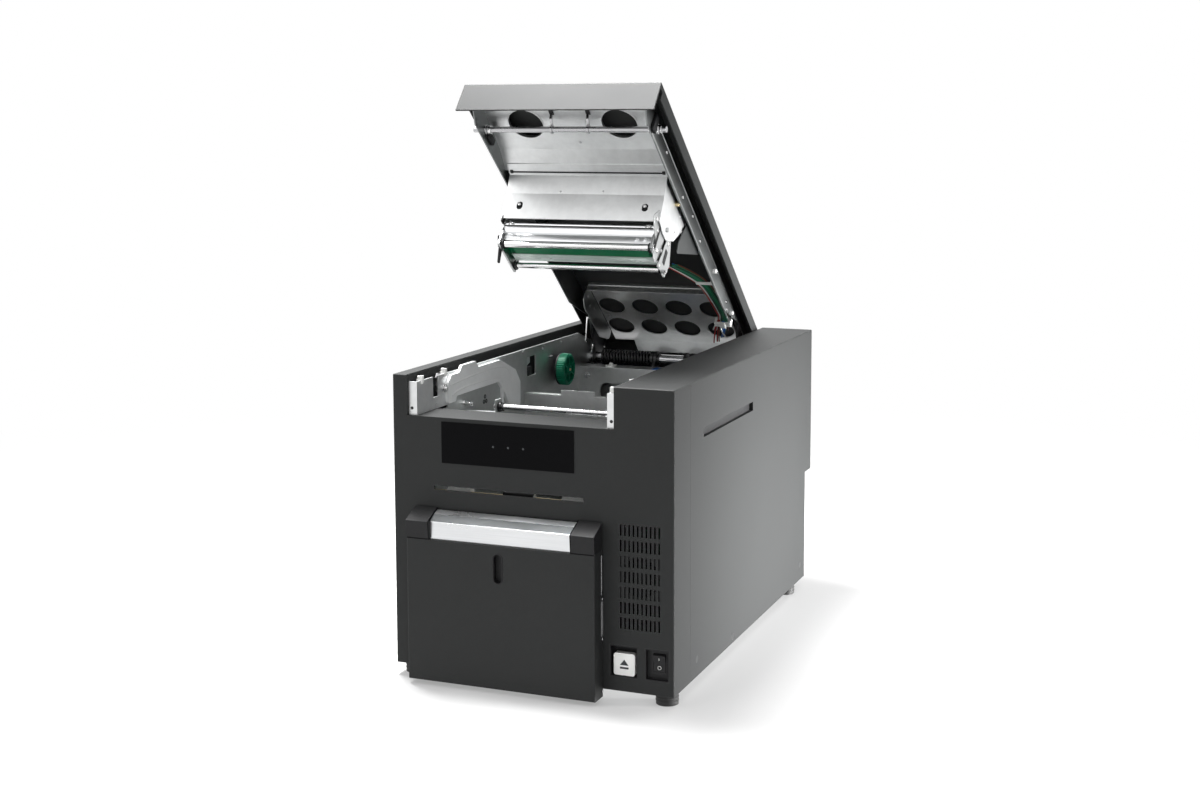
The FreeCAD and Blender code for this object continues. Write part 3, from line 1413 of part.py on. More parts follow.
def make_wheel(name, axis, at, span, radius, tooth, count, cuts):
    """A round body with evenly spaced ribs or grooves, made about its own axis and then placed."""
    body = doc.addObject("PartDesign::Body", name)
    planes = {feature.Role: feature for feature in body.Origin.OriginFeatures}
    length = Size.of(span[1]) - span[0]
    features = []
    for label, outline, kind in (("core", Circle(0, 0, radius), "Pad"), ("tooth", tooth, "Pocket" if cuts else "Pad")):
        sketch = body.newObject("Sketcher::SketchObject", f"{name}_{label}_sketch")
        sketch.AttachmentSupport = (planes["XY_Plane"], [""])
        sketch.MapMode = "FlatFace"
        if isinstance(outline, Circle):
            add_circle(sketch, outline)
        else:
            add_loop(sketch, outline)
        feature = body.newObject("PartDesign::" + kind, f"{name}_{label}")
        feature.Profile = sketch
        bind(feature, Length=length)
        if kind == "Pocket":
            feature.Reversed = True
        features.append((sketch, feature))
    doc.recompute()
    pattern = body.newObject("PartDesign::PolarPattern", name + "_pattern")
    pattern.Originals = [features[1][1]]
    pattern.Axis = (features[0][0], ["N_Axis"])
    pattern.Occurrences = count
    body.Tip = pattern
    body.Placement = Placement(Vector(), TURN_TO_AXIS[axis])
    places = {"x": (span[0], at[0], at[1]), "y": (at[0], span[0], at[1])}
    return put(body, *places[axis])


def make_rollers():
    """The platen, exit and pick rollers with their shafts."""
    through = (s.frame_left - s.shaft_reach, s.frame_right + s.shaft_reach)
    finish("platen_roller", tube("platen_tube", "x", platen_at, s.platen_radius, s.platen_shaft_radius,
                                 about(cover_mid, s.platen_half)))
    pulley = (s.pulley_left, s.pulley_left + s.pulley_wide)
    finish("platen_shaft", join(
        "platen_turned", rod("platen_rod", "x", platen_at, s.platen_shaft_radius, (s.pulley_left, through[1])),
        rod("platen_pulley", "x", platen_at, s.pulley_radius, pulley)))
    finish("exit_shaft", rod("exit_rod", "x", exit_at, s.exit_shaft_radius, through))
    left, right = s.exit_roller_left, s.exit_roller_right
    spans = ((left, left + s.exit_roller_long, s.exit_roller_radius), (right, right + s.exit_roller_long, s.exit_roller_radius),
             (s.exit_sleeve_left, s.exit_sleeve_right, s.exit_sleeve_radius))
    finish("exit_rollers", group("exit_set", *[
        tube("exit_tube", "x", exit_at, radius, s.exit_shaft_radius, (start, end)) for start, end, radius in spans]))
    finish("pick_roller", join(
        "pick_turned", rod("pick_rod", "x", pick_at, s.pick_shaft_radius, through),
        rod("pick_tyre", "x", pick_at, s.pick_radius, about(cover_mid, s.pick_half))))


def make_drive():
    """The feed motor, its pulley and the toothless belt to the platen."""
    y, z = about(s.motor_y, s.motor_size / 2), about(s.motor_z, s.motor_size / 2)
    pulley = (s.pulley_left, s.pulley_left + s.pulley_wide)
    body = rounded("motor_can", box("motor_block", (left_inner, left_inner + s.motor_long), y, z),
                   s.motor_round, lambda edge: along(edge, "x"))
    boss = rod("motor_boss", "x", motor_at, s.motor_boss_radius, (s.frame_left, left_inner + s.frame_gauge))
    deep = left_inner + s.motor_long / 2
    bore = rod("motor_bore", "x", motor_at, s.motor_shaft_radius + s.shaft_clear, (s.frame_left - s.overrun, deep))
    finish("feed_motor", cut("motor_bored", join("motor_whole", body, boss), bore))
    finish("motor_pulley", join(
        "motor_pulley_turned", rod("motor_wheel", "x", motor_at, s.pulley_radius, pulley),
        rod("motor_shaft", "x", motor_at, s.motor_shaft_radius, (s.pulley_left, deep - s.seam))))
    inner = s.pulley_radius.value + s.belt_clear.value
    edge = s.belt_clear.value + s.belt_thick.value
    first = Vector(s.pulley_left.value + edge, s.platen_y.value, s.platen_z.value)
    second = Vector(first.x, s.motor_y.value, s.motor_z.value)
    width = Vector(s.pulley_wide.value - edge * 2, 0, 0)
    solids = [Part.Face(stadium(first, second, radius)).extrude(width)
              for radius in (inner + s.belt_thick.value, inner)]
    belt = doc.addObject("Part::Feature", "belt_loop")
    belt.Shape = solids[0].cut(solids[1])
    finish("drive_belt", belt)


def stadium(first, second, radius):
    """A closed run around two equal circles across the x axis."""
    way = (second - first).normalize()
    side = Vector(1, 0, 0).cross(way) * radius
    corners = (first + side, second + side, second - side, first - side)
    return Part.Wire([
        Part.LineSegment(corners[0], corners[1]).toShape(),
        Part.Arc(corners[1], second + way * radius, corners[2]).toShape(),
        Part.LineSegment(corners[2], corners[3]).toShape(),
        Part.Arc(corners[3], first - way * radius, corners[0]).toShape(),
    ])


def make_ribbon_hub():
    """The ribbed hub that turns the ribbon, its spindle, disc and gear."""
    span = (s.hub_left, s.hub_left + s.hub_wide)
    groove = Circle(s.hub_radius, 0, s.hub_rib_deep)
    wheel = make_wheel("hub_wheel", "x", hub_at, span, s.hub_radius, groove, HUB_RIBS, True)
    face = tube("hub_face_recess", "x", hub_at, s.hub_radius - s.hub_rim - s.hub_rib_deep, s.hub_boss_radius + s.hub_rim,
                (span[0] + s.hub_web, span[1] + s.overrun))
    bore = rod("hub_bore", "x", hub_at, s.spindle_radius, (span[0] - s.overrun, span[1] + s.overrun))
    finish("ribbon_knob", cut("hub_whole", wheel, face, bore))
    finish("ribbon_spindle", join(
        "spindle_turned",
        rod("spindle_rod", "x", hub_at, s.spindle_radius, (s.spindle_gear_left, span[1])),
        rod("spindle_gear", "x", hub_at, s.spindle_gear_radius,
            (s.spindle_gear_left, s.spindle_gear_left + s.spindle_gear_thick)),
        rod("spindle_disc", "x", hub_at, s.hub_disc_radius, (span[0] - s.hub_disc_thick, span[0]))))


# Electrics


def make_electrics():
    """The power supply, main board, fan and mains inlet."""
    floor = s.cover_gauge
    x, y = (s.supply_left, s.supply_right), (s.supply_front, s.supply_rear)
    supply = join(
        "supply_whole", box("supply_case", x, y, (floor, floor + s.supply_tall)),
        box("supply_terminals", (x[0] + s.screw_front_z, x[1] - s.screw_front_z), (y[0] - s.inlet_socket_deep, y[0]),
            (floor, floor + s.inlet_tall)))
    finish("power_supply", supply)
    left = s.frame_right + s.board_gap
    right = left + s.board_thick
    posts = [rod("board_post", "x", at, s.board_post_radius, (s.frame_right, left)) for at in (
        (s.board_front + s.board_gap, s.board_low + s.board_gap),
        (s.board_rear - s.board_gap, s.board_low + s.board_gap),
        (s.board_front + s.board_gap, s.board_high - s.board_gap),
        (s.board_rear - s.board_gap, s.board_high - s.board_gap))]
    middle = (s.board_front + s.board_rear) / 2
    parts = [
        box("board_chip", (right, right + s.board_part_tall), (s.board_front + s.fan_size, middle),
            (s.board_low + s.fan_size, s.board_low + s.fan_size * 2)),
        box("board_plugs", (right, right + s.board_part_tall), (middle + s.fan_size, s.board_rear - s.fan_size / 2),
            (s.board_low + s.board_gap, s.board_high - s.board_gap * 3)),
    ]
    sheet_part = box("board_sheet", (left, right), (s.board_front, s.board_rear), (s.board_low, s.board_high))
    finish("main_board", join("board_whole", sheet_part, *posts, *parts))
    make_fan()
    make_inlet()


def make_fan():
    """The cooling fan behind the front vents: square frame with a spider, and the rotor."""
    centre = (s.fan_left + s.fan_size / 2, s.fan_low + s.fan_size / 2)
    y = (s.cover_gauge, s.cover_gauge + s.fan_deep)
    web = s.fan_blade_gauge * 2
    half_web = web / 2
    frame = cut(
        "fan_ring",
        box("fan_block", (s.fan_left, s.fan_left + s.fan_size), y, (s.fan_low, s.fan_low + s.fan_size)),
        rod("fan_hole", "y", centre, s.fan_bore_radius, (y[0] - s.overrun, y[1] + s.overrun)))
    back = (y[1] - web, y[1])
    finish("fan_frame", cut(
        "fan_bored",
        join("fan_whole", frame,
             box("fan_spoke_across", (s.fan_left + half_web, s.fan_left + s.fan_size - half_web), back, about(centre[1], web / 2)),
             box("fan_spoke_up", about(centre[0], half_web), back,
                 (s.fan_low + half_web, s.fan_low + s.fan_size - half_web)),
             rod("fan_seat", "y", centre, s.fan_hub_radius, back)),
        rod("fan_pin_hole", "y", centre, s.pivot_radius + s.shaft_clear, (back[0] - s.overrun, back[1] + s.overrun))))
    reach = s.fan_blade_radius
    half = s.fan_blade_gauge / 2
    blade = [(s.fan_hub_radius / 2, -half), (reach, -half), (reach, half), (s.fan_hub_radius / 2, half)]
    wheel = make_wheel("fan_wheel", "y", centre, (y[0] + web, y[1] - web * 2), s.fan_hub_radius, blade, FAN_BLADES, False)
    finish("fan_rotor", join("fan_rotor_whole", wheel,
                             rod("fan_pin", "y", centre, s.pivot_radius, (y[1] - web * 2 - half, back[1]))))


def make_inlet():
    """The mains inlet in the rear panel with its three pins."""
    x, z = (s.inlet_left, s.inlet_left + s.inlet_wide), (s.inlet_low, s.inlet_low + s.inlet_tall)
    face = s.lower_depth
    flange = s.inlet_flange
    wall = flange
    body = join(
        "inlet_blank", box("inlet_body", x, (face - s.inlet_deep, face + flange), z),
        box("inlet_rim", (x[0] - flange, x[1] + flange), (face, face + flange), (z[0] - flange, z[1] + flange)))
    socket = box("inlet_socket", (x[0] + wall, x[1] - wall), (face + flange - s.inlet_socket_deep, face + flange + s.overrun),
                 (z[0] + wall, z[1] - wall))
    middle = ((x[0] + x[1]) / 2, (z[0] + z[1]) / 2)
    back = face + flange - s.inlet_socket_deep
    pins = [rod("inlet_pin", "y", (middle[0] + across, middle[1] + up), s.inlet_pin_radius,
                (back - s.inlet_pin_radius, face))
            for across, up in ((-s.board_gap, -s.inlet_pin_radius), (s.board_gap, -s.inlet_pin_radius),
                               (Size.of(0), s.inlet_pin_radius * 2))]
    finish("mains_inlet", join("inlet_whole", cut("inlet_hollowed", body, socket), *pins))


# Controls


def make_switch():
    """The recessed rocker switch: moulded surround and housing, and the rocker on its pivot."""
    wall = s.pocket_wall
    x, z = (s.switch_left, s.switch_right), (s.switch_low, s.switch_high)
    bezel_x, bezel_z = (s.bezel_left, s.bezel_right), (s.bezel_low, s.bezel_high)
    floor_y = s.switch_recess
    front_y = floor_y - s.bezel_proud
    cavity_x, cavity_z = (s.rocker_left, s.rocker_right), (s.rocker_low, s.rocker_high)
    pivot_at = (front_y + s.rocker_inset, (cavity_z[0] + cavity_z[1]) / 2)
    surround = cut("switch_surround", box("switch_surround_block", x, (0, floor_y + wall), z),
                   box("switch_surround_hollow", (x[0] + wall, x[1] - wall), (-s.overrun, floor_y),
                       (z[0] + wall, z[1] - wall)))
    bezel = box("switch_bezel_rim", bezel_x, (front_y, floor_y + wall), bezel_z)
    housing = box("switch_body", (bezel_x[0] + wall, bezel_x[1] - wall), (floor_y, floor_y + s.switch_deep),
                  (bezel_z[0] + wall, bezel_z[1] - wall))
    finish("switch_bezel", cut(
        "switch_hollowed", join("switch_blank", surround, bezel, housing),
        box("switch_cavity", cavity_x, (front_y - s.overrun, pivot_at[0] + s.rocker_deep), cavity_z),
        rod("switch_pivot_hole", "x", pivot_at, s.rocker_pin_radius + s.shaft_clear,
            (bezel_x[0] + wall, bezel_x[1] - wall))))
    half = (cavity_z[1] - cavity_z[0]) / 2 - s.rocker_gap
    corners = [(pivot_at[0] + half * y_share, pivot_at[1] + half * z_share) for y_share, z_share in ROCKER_OUTLINE_SHARES]
    rocker = plate("rocker_plate", "x", (cavity_x[0] + s.rocker_gap, cavity_x[1] - s.rocker_gap), corners)
    pin = rod("rocker_pin", "x", pivot_at, s.rocker_pin_radius, (bezel_x[0] + wall + s.shaft_clear,
                                                                 bezel_x[1] - wall - s.shaft_clear))
    whole = join("rocker_whole", rocker, pin)
    whole.Label = "power_rocker"
    tilt_cosine, tilt_sine = cosine(s.rocker_tilt), sine(s.rocker_tilt)
    whole.Placement = Placement(Vector(), Rotation(Vector(1, 0, 0), s.rocker_tilt.value))
    whole.setExpression("Placement.Rotation.Angle", s.rocker_tilt.text)
    turned_y = pivot_at[0] - (pivot_at[0] * tilt_cosine - pivot_at[1] * tilt_sine)
    turned_z = pivot_at[1] - (pivot_at[0] * tilt_sine + pivot_at[1] * tilt_cosine)
    put(whole, -mid_x, turned_y - mid_y, turned_z + s.foot_height)
    nodes["power_rocker"] = whole


def make_button():
    """The square open button in its deep pocket."""
    wall = s.pocket_wall
    x, z = (s.button_pocket_left, s.button_pocket_right), (s.button_pocket_low, s.button_pocket_high)
    deep = s.button_pocket_deep
    centre = ((s.button_left + s.button_right) / 2, (s.button_low + s.button_high) / 2)
    stem = s.button_stem / 2
    hole = stem + s.shaft_clear
    finish("button_housing", cut(
        "pocket_whole", box("pocket_block", x, (0, deep), z),
        box("pocket_hollow", (x[0] + wall, x[1] - wall), (-s.overrun, deep - wall), (z[0] + wall, z[1] - wall)),
        box("pocket_stem_hole", about(centre[0], hole), (deep - wall - s.overrun, deep + s.overrun),
            about(centre[1], hole))))
    back = s.button_front + s.button_thick
    cap = rounded("button_cap", box("button_block", (s.button_left, s.button_right), (s.button_front, back),
                                    (s.button_low, s.button_high)),
                  s.button_round, lambda edge: along(edge, "y"))
    shank = box("button_shank", about(centre[0], stem), (back - wall, back + s.button_stem_long), about(centre[1], stem))
    finish("push_button", join("button_whole", cap, shank))


# Card drawer


def make_drawer():
    """The card drawer: folded front, tray, bright grip, end blocks and the fixed slides."""
    x = about(s.drawer_mid, s.drawer_half)
    y = (-s.drawer_front, -s.drawer_gap)
    z = (-s.drawer_low, s.drawer_high)
    g = s.drawer_gauge
    block = rounded("drawer_block", box("drawer_blank", x, y, z), s.drawer_bend,
                    lambda edge: (along(edge, "z") or along(edge, "x")) and edge.CenterOfMass.y < y[0].value + g.value)
    slot = rounded("finger_slot", box("finger_slot_block", about(s.drawer_mid - s.pocket_wall, s.finger_slot_wide / 2),
                                      (y[0] - s.overrun, y[0] + g + s.seam), about(s.finger_slot_mid, s.finger_slot_tall / 2)),
                   s.finger_slot_round, lambda edge: along(edge, "y"))
    hollow = box("drawer_hollow", (x[0] + g, x[1] - g), (y[0] + g, y[1] + s.overrun), (z[0] + g, z[1] - g))
    finish("drawer_front", cut("drawer_shell", block, hollow, slot))
    make_tray(y[0] + g)
    x_grip = about(s.drawer_mid, s.bar_span_half)
    t = s.grip_gauge
    grip = plate("grip_profile", "x", x_grip, [
        (-s.grip_front, s.drawer_high), (-s.grip_front, s.grip_front_high), (-s.grip_ridge, s.grip_ridge_high),
        (-s.grip_rear, s.grip_rear_high), (-s.grip_rear, s.grip_rear_high - t), (-s.grip_ridge, s.grip_ridge_high - t),
        (-s.grip_front + t, s.grip_front_high - t / 2), (-s.grip_front + t, s.drawer_high),
    ])
    finish("drawer_handle", grip)
    blocks = []
    for span in ((x[0], x_grip[0]), (x_grip[1], x[1])):
        blank = plate("end_block", "x", span, [
            (-s.drawer_front, s.block_low), (-s.block_front, s.block_front_high), (-s.block_rear, s.block_rear_high),
            (-s.block_rear, s.block_low)])
        blocks.append(blank)
    finish("drawer_end_blocks", group("end_block_set", *blocks))


def make_tray(front_y):
    """The card tray behind the drawer front, with wings that run in the fixed slides."""
    g = s.tray_gauge
    x = about(s.drawer_mid, s.tray_half)
    tray = cut(
        "tray_hollowed", box("tray_block", x, (front_y, s.tray_rear), (s.tray_low, s.tray_high)),
        box("tray_hollow", (x[0] + g, x[1] - g), (front_y - s.overrun, s.tray_rear - g),
            (s.tray_low + g, s.tray_high + s.overrun)),
        box("tray_pick_slot", about(s.drawer_mid, s.tray_slot_half), (s.tray_slot_front, s.tray_rear - g),
            (s.tray_low - s.overrun, s.tray_low + g + s.seam)),
        box("tray_gate", (x[0] + g, x[1] - g), (s.tray_rear - g - s.overrun, s.tray_rear + s.overrun),
            (s.tray_low + g, s.tray_low + s.tray_gate_rise)))
    shelf_top = s.slide_low + s.slide_gauge
    wing = (shelf_top + s.slide_gap, shelf_top + s.slide_gap + g)
    wing_y = (s.opening_gap, s.tray_rear - s.opening_gap)
    wings = box("tray_wings", about(s.drawer_mid, s.wing_half), wing_y, wing)
    inside = box("tray_wing_gap", (x[0] + g / 2, x[1] - g / 2), (wing_y[0] - g, wing_y[1] + g),
                 (wing[0] - g, wing[1] + g))
    finish("drawer_tray", join("tray_whole", tray, cut("tray_wing_pair", wings, inside)))
    slides = []
    low, high = s.slide_low, s.slide_low + s.slide_tall
    for side in ("left", "right"):
        turn = flipped if side == "right" else tuple
        span = turn((left_inner, left_inner + s.slide_wide))
        web = turn((left_inner, left_inner + s.slide_gauge))
        y = (s.frame_front + s.seam, s.slide_rear)
        slides.append(join(side + "_slide", box("slide_shelf", span, y, (low, low + s.slide_gauge)),
                           box("slide_web", web, y, (low, high)),
                           box("slide_lip", span, y, (high - s.slide_gauge, high))))
    finish("drawer_runners", group("slide_set", *slides))


def check_and_write():
    """Stops on any failed object or bad shape, then writes one file per piece."""
    doc.recompute()
    for item in doc.Objects:
        if "Invalid" in item.State or "Error" in item.State:
            raise RuntimeError(f"{item.Label} failed: {item.State}")
    os.makedirs("parts", exist_ok=True)
    for name, piece in nodes.items():
        shape = piece.Shape
        if shape.isNull() or not shape.isValid() or not shape.Solids:
            raise RuntimeError(f"{name} has no valid solid")
        shape.exportStep(f"parts/{name}.step")
        print(name, len(shape.Solids), round(shape.Volume), shape.BoundBox)


make_front_panel()
make_side_panels()
make_rear_panel()
make_base_pan()
finish("display_window", box("window_lens", (s.window_left, s.window_right), (-s.window_thick, Size.of(0)),
                             (s.window_low, s.window_high)))
make_frame_plates()
make_catch_brackets()
make_latch_hooks()
make_ribbon_guard()
make_cross_members()
make_shafts()
make_spring()
make_cover_shell()
make_cover_frame()
make_head_bracket()
make_head_unit()
make_harness()
make_rollers()
make_drive()
make_ribbon_hub()
make_electrics()
make_switch()
make_button()
make_drawer()
check_and_write()
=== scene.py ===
"""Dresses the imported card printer: finishes, fine pieces, camera and studio light."""

import json
import logging
import math
from dataclasses import dataclass, field, replace
from enum import Enum
from typing import Iterable, Optional, Sequence

import bmesh
import bpy
from mathutils import Matrix, Vector
from mathutils.bvhtree import BVHTree

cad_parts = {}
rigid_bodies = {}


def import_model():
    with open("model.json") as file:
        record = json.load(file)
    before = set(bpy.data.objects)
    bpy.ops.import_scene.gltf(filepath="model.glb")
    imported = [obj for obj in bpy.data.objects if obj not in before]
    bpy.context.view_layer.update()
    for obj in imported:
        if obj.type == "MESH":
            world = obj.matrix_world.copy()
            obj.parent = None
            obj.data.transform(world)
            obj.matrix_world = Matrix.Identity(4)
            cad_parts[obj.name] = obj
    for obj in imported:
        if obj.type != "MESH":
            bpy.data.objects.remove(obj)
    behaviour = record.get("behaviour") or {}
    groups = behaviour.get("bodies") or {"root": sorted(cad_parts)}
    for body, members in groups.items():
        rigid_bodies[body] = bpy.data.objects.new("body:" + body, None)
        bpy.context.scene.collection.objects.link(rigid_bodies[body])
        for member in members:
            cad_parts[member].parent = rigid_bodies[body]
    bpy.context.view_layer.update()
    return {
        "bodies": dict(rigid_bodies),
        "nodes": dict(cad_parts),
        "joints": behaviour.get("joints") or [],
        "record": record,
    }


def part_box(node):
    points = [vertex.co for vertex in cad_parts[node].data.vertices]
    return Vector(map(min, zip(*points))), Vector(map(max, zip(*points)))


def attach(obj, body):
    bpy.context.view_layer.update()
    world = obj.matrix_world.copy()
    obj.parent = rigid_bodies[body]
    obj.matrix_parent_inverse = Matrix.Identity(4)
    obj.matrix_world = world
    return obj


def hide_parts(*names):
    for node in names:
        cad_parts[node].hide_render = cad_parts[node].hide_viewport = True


log = logging.getLogger("card_printer")

MM = 0.001
Pair = tuple[float, float]
Pairs = tuple[Pair, ...]
Point = tuple[float, float, float]
Quad = tuple[float, float, float, float]
Brick = tuple[Point, Point, float]
Colour = tuple[float, float, float]
Group = bpy.types.ShaderNodeTree
Tree = bpy.types.NodeTree
Node = bpy.types.Node
Socket = bpy.types.NodeSocket


@dataclass(frozen=True)
class MachineFrame:
    """Turns the machine's own millimetres into the row frame.

    The machine's millimetres run from the left side seen from the front, from the front panel to
    the back, and from the panels' lower edge up. Cover pieces are given as if the cover were closed.
    """

    half_width: float = 140.0
    front: float = 228.336
    foot_height: float = 11.6
    hinge_y: float = 432.8
    hinge_z: float = 239.4
    open_angle: float = 40.34
    top: float = 277.5

    def chassis(self) -> Matrix:
        """The matrix for pieces that stay with the case."""
        return Matrix.Scale(MM, 4) @ Matrix.Translation((-self.half_width, -self.front, self.foot_height))

    def cover(self) -> Matrix:
        """The matrix for pieces on the raised cover."""
        hinge = Vector((0.0, self.hinge_y, self.hinge_z))
        turn = Matrix.Rotation(math.radians(-self.open_angle), 4, "X")
        return self.chassis() @ Matrix.Translation(hinge) @ turn @ Matrix.Translation(-hinge)

    def below(self, drop: float) -> float:
        """The height that lies a depth below the closed cover's top.

        Args:
            drop: Depth in millimetres.

        Returns:
            Height above the panels' lower edge.
        """
        return self.top - drop

    def across(self, place: float) -> float:
        """A place across the machine in its own millimetres, from the row frame's metres."""
        return place / MM + self.half_width


MACHINE = MachineFrame()


class Carrier(Enum):
    """Where a piece's millimetres are measured."""

    CASE = "case"
    COVER = "cover"

    @classmethod
    def of(cls, body: str) -> "Carrier":
        """Where the pieces of a body are measured."""
        return cls.COVER if body in ("cover", "head", "head_roller") else cls.CASE

    def matrix(self) -> Matrix:
        """The matrix into the row frame."""
        return MACHINE.cover() if self is Carrier.COVER else MACHINE.chassis()


class Axis(Enum):
    """An axis of the machine."""

    X = "x"
    Y = "y"
    Z = "z"

    def turn(self) -> Matrix:
        """The turn that carries the upright axis onto this one."""
        if self is Axis.X:
            return Matrix.Rotation(math.pi / 2, 4, "Y")
        if self is Axis.Y:
            return Matrix.Rotation(-math.pi / 2, 4, "X")
        return Matrix.Identity(4)

    def corner(self, along: float, pair: Pair) -> Vector:
        """The place with a distance along the axis and the other two coordinates in order."""
        if self is Axis.X:
            return Vector((along, *pair))
        if self is Axis.Y:
            return Vector((pair[0], along, pair[1]))
        return Vector((*pair, along))


class Form:
    """A shape in the machine's millimetres, put together from small worked solids."""

    WELD = 0.002
    SOFT_RIM = 0.2
    SCREW_HEAD = ((0.3, 1.0), (0.75, 0.86), (1.0, 0.55), (1.0, 0.42))
    SCREW_HEIGHT = 0.62
    SOCKET_DEPTH = 0.4
    SOCKET_RADIUS = 0.36
    SEAT_DEPTH = 0.4
    NUT_CHAMFER = 0.12
    ALONG = 0.99
    LEVEL = 1e-6
    CORNER_STRIP = 0.01

    def __init__(self) -> None:
        """Starts empty."""
        self.mesh = bmesh.new()

    def _take(self, part: bmesh.types.BMesh, place: Matrix) -> "Form":
        """Moves a finished solid into place and adds it.

        Args:
            part: The solid, which is freed.
            place: Where it goes.

        Returns:
            This form.
        """
        part.transform(place)
        bmesh.ops.recalc_face_normals(part, faces=part.faces)
        holder = bpy.data.meshes.new("holder")
        part.to_mesh(holder)
        part.free()
        self.mesh.from_mesh(holder)
        bpy.data.meshes.remove(holder)
        return self

    @staticmethod
    def _round(part: bmesh.types.BMesh, edges: Iterable[bmesh.types.BMEdge], reach: float,
               segments: int) -> None:
        """Rounds edges over.

        Args:
            part: The solid.
            edges: Its edges to round.
            reach: Reach of the rounding in millimetres; nothing happens at 0.
            segments: Steps in it.
        """
        chosen = list(edges)
        if reach > 0.0 and chosen:
            bmesh.ops.bevel(part, geom=chosen, offset=reach, segments=segments, affect="EDGES",
                            profile=0.5, material=-1, offset_type="OFFSET", clamp_overlap=True)

    def block(self, low: Point, high: Point, bevel: float = 0.3, segments: int = 2) -> "Form":
        """Adds a block with softened edges.

        Args:
            low: Lowest corner.
            high: Highest corner.
            bevel: Reach of the softening.
            segments: Steps in it.

        Returns:
            This form.
        """
        part = bmesh.new()
        bmesh.ops.create_cube(part, size=1.0)
        bmesh.ops.scale(part, vec=Vector(high) - Vector(low), verts=part.verts)
        self._round(part, part.edges, bevel, segments)
        return self._take(part, Matrix.Translation((Vector(low) + Vector(high)) / 2))

    def turned(self, at: Point, axis: Axis, profile: Sequence[Pair], steps: int = 32) -> "Form":
        """Adds a turned solid.

        Args:
            at: A point on its axis.
            axis: The axis that it lies along.
            profile: Pairs of distance along and radius, from one end to the other.
            steps: How many sides it has.

        Returns:
            This form.
        """
        part = bmesh.new()
        points = [part.verts.new((radius, 0.0, run)) for run, radius in profile]
        edges = [part.edges.new(pair) for pair in zip(points, points[1:])]
        bmesh.ops.spin(part, geom=points + edges, cent=(0.0, 0.0, 0.0), axis=(0.0, 0.0, 1.0),
                       dvec=(0.0, 0.0, 0.0), angle=math.tau, steps=steps, use_merge=True,
                       use_normal_flip=False, use_duplicate=False)
        bmesh.ops.remove_doubles(part, verts=part.verts, dist=self.WELD)
        return self._take(part, Matrix.Translation(at) @ axis.turn())

    def rod(self, at: Point, axis: Axis, long: float, radius: float, chamfer: float = 0.3,
            steps: int = 32) -> "Form":
        """Adds a round bar with chamfered ends.

        Args:
            at: The middle of its first end.
            axis: Its axis.
            long: Its length; a negative one runs back.
            radius: Its radius.
            chamfer: Reach of the chamfers.
            steps: How many sides it has.

        Returns:
            This form.
        """
        way = math.copysign(1.0, long)
        return self.turned(at, axis, [
            (0.0, 0.0), (0.0, radius - chamfer), (way * chamfer, radius), (long - way * chamfer, radius),
            (long, radius - chamfer), (long, 0.0)], steps)

    def ring(self, at: Point, axis: Axis, wide: float, outer: float, inner: float,
             steps: int = 32) -> "Form":
        """Adds a ring with softened rims.

        Args:
            at: The middle of its first face.
            axis: Its axis.
            wide: Its width along the axis.
            outer: Outer radius.
            inner: Inner radius.
            steps: How many sides it has.

        Returns:
            This form.
        """
        soft = min(abs(wide), outer - inner) * self.SOFT_RIM
        way = math.copysign(soft, wide)
        return self.turned(at, axis, [
            (0.0, inner + soft), (0.0, outer - soft), (way, outer), (wide - way, outer),
            (wide, outer - soft), (wide, inner + soft), (wide - way, inner), (way, inner),
            (0.0, inner + soft)], steps)

    def screw(self, at: Point, axis: Axis, way: float, radius: float) -> "Form":
        """Adds a domed screw head with a socket.

        Args:
            at: Where its seat is.
            axis: Its axis.
            way: 1 or -1, the side that it stands out on.
            radius: Radius of the head.

        Returns:
            This form.
        """
        tall = radius * self.SCREW_HEIGHT
        sole = (tall - radius * self.SOCKET_DEPTH) * way
        dome = [(share * tall * way, radius * width) for share, width in self.SCREW_HEAD]
        return self.turned(at, axis, [
            (-self.SEAT_DEPTH * way, 0.0), (-self.SEAT_DEPTH * way, radius), *dome,
            (sole, radius * self.SOCKET_RADIUS), (sole, 0.0)], steps=24)

    def nut(self, at: Point, axis: Axis, long: float, radius: float) -> "Form":
        """Adds a six-sided nut or post with chamfered corners; a negative length runs back."""
        return self.rod(at, axis, long, radius, chamfer=radius * self.NUT_CHAMFER, steps=6)

    def plate(self, outline: Sequence[Pair], axis: Axis, span: Pair, corner: float = 0.0,
              bevel: float = 0.15, segments: int = 3) -> "Form":
        """Adds a sheet with a drawn outline.

        Args:
            outline: Corners as the other two coordinates in order.
            axis: The axis that it lies across.
            span: Where it starts and ends along the axis.
            corner: Radius of the outline's corners.
            bevel: Reach of the softening of its rims.
            segments: Steps in each corner.

        Returns:
            This form.
        """
        part = bmesh.new()
        face = part.faces.new([part.verts.new(axis.corner(span[0], pair)) for pair in outline])
        grown = bmesh.ops.extrude_face_region(part, geom=[face])
        far = [item for item in grown["geom"] if isinstance(item, bmesh.types.BMVert)]
        step = axis.corner(span[1] - span[0], (0.0, 0.0))
        bmesh.ops.translate(part, vec=step, verts=far)
        way = step.normalized()
        sides = [edge for edge in part.edges
                 if abs((edge.verts[1].co - edge.verts[0].co).normalized().dot(way)) > self.ALONG]
        self._round(part, sides, corner, segments)
        rims = [edge for edge in part.edges
                if abs((edge.verts[1].co - edge.verts[0].co).dot(step)) < self.LEVEL
                and any(len(face.verts) > 4 or face.calc_area() > self.CORNER_STRIP
                        for face in edge.link_faces)]
        self._round(part, rims, bevel, 1)
        return self._take(part, Matrix.Identity(4))

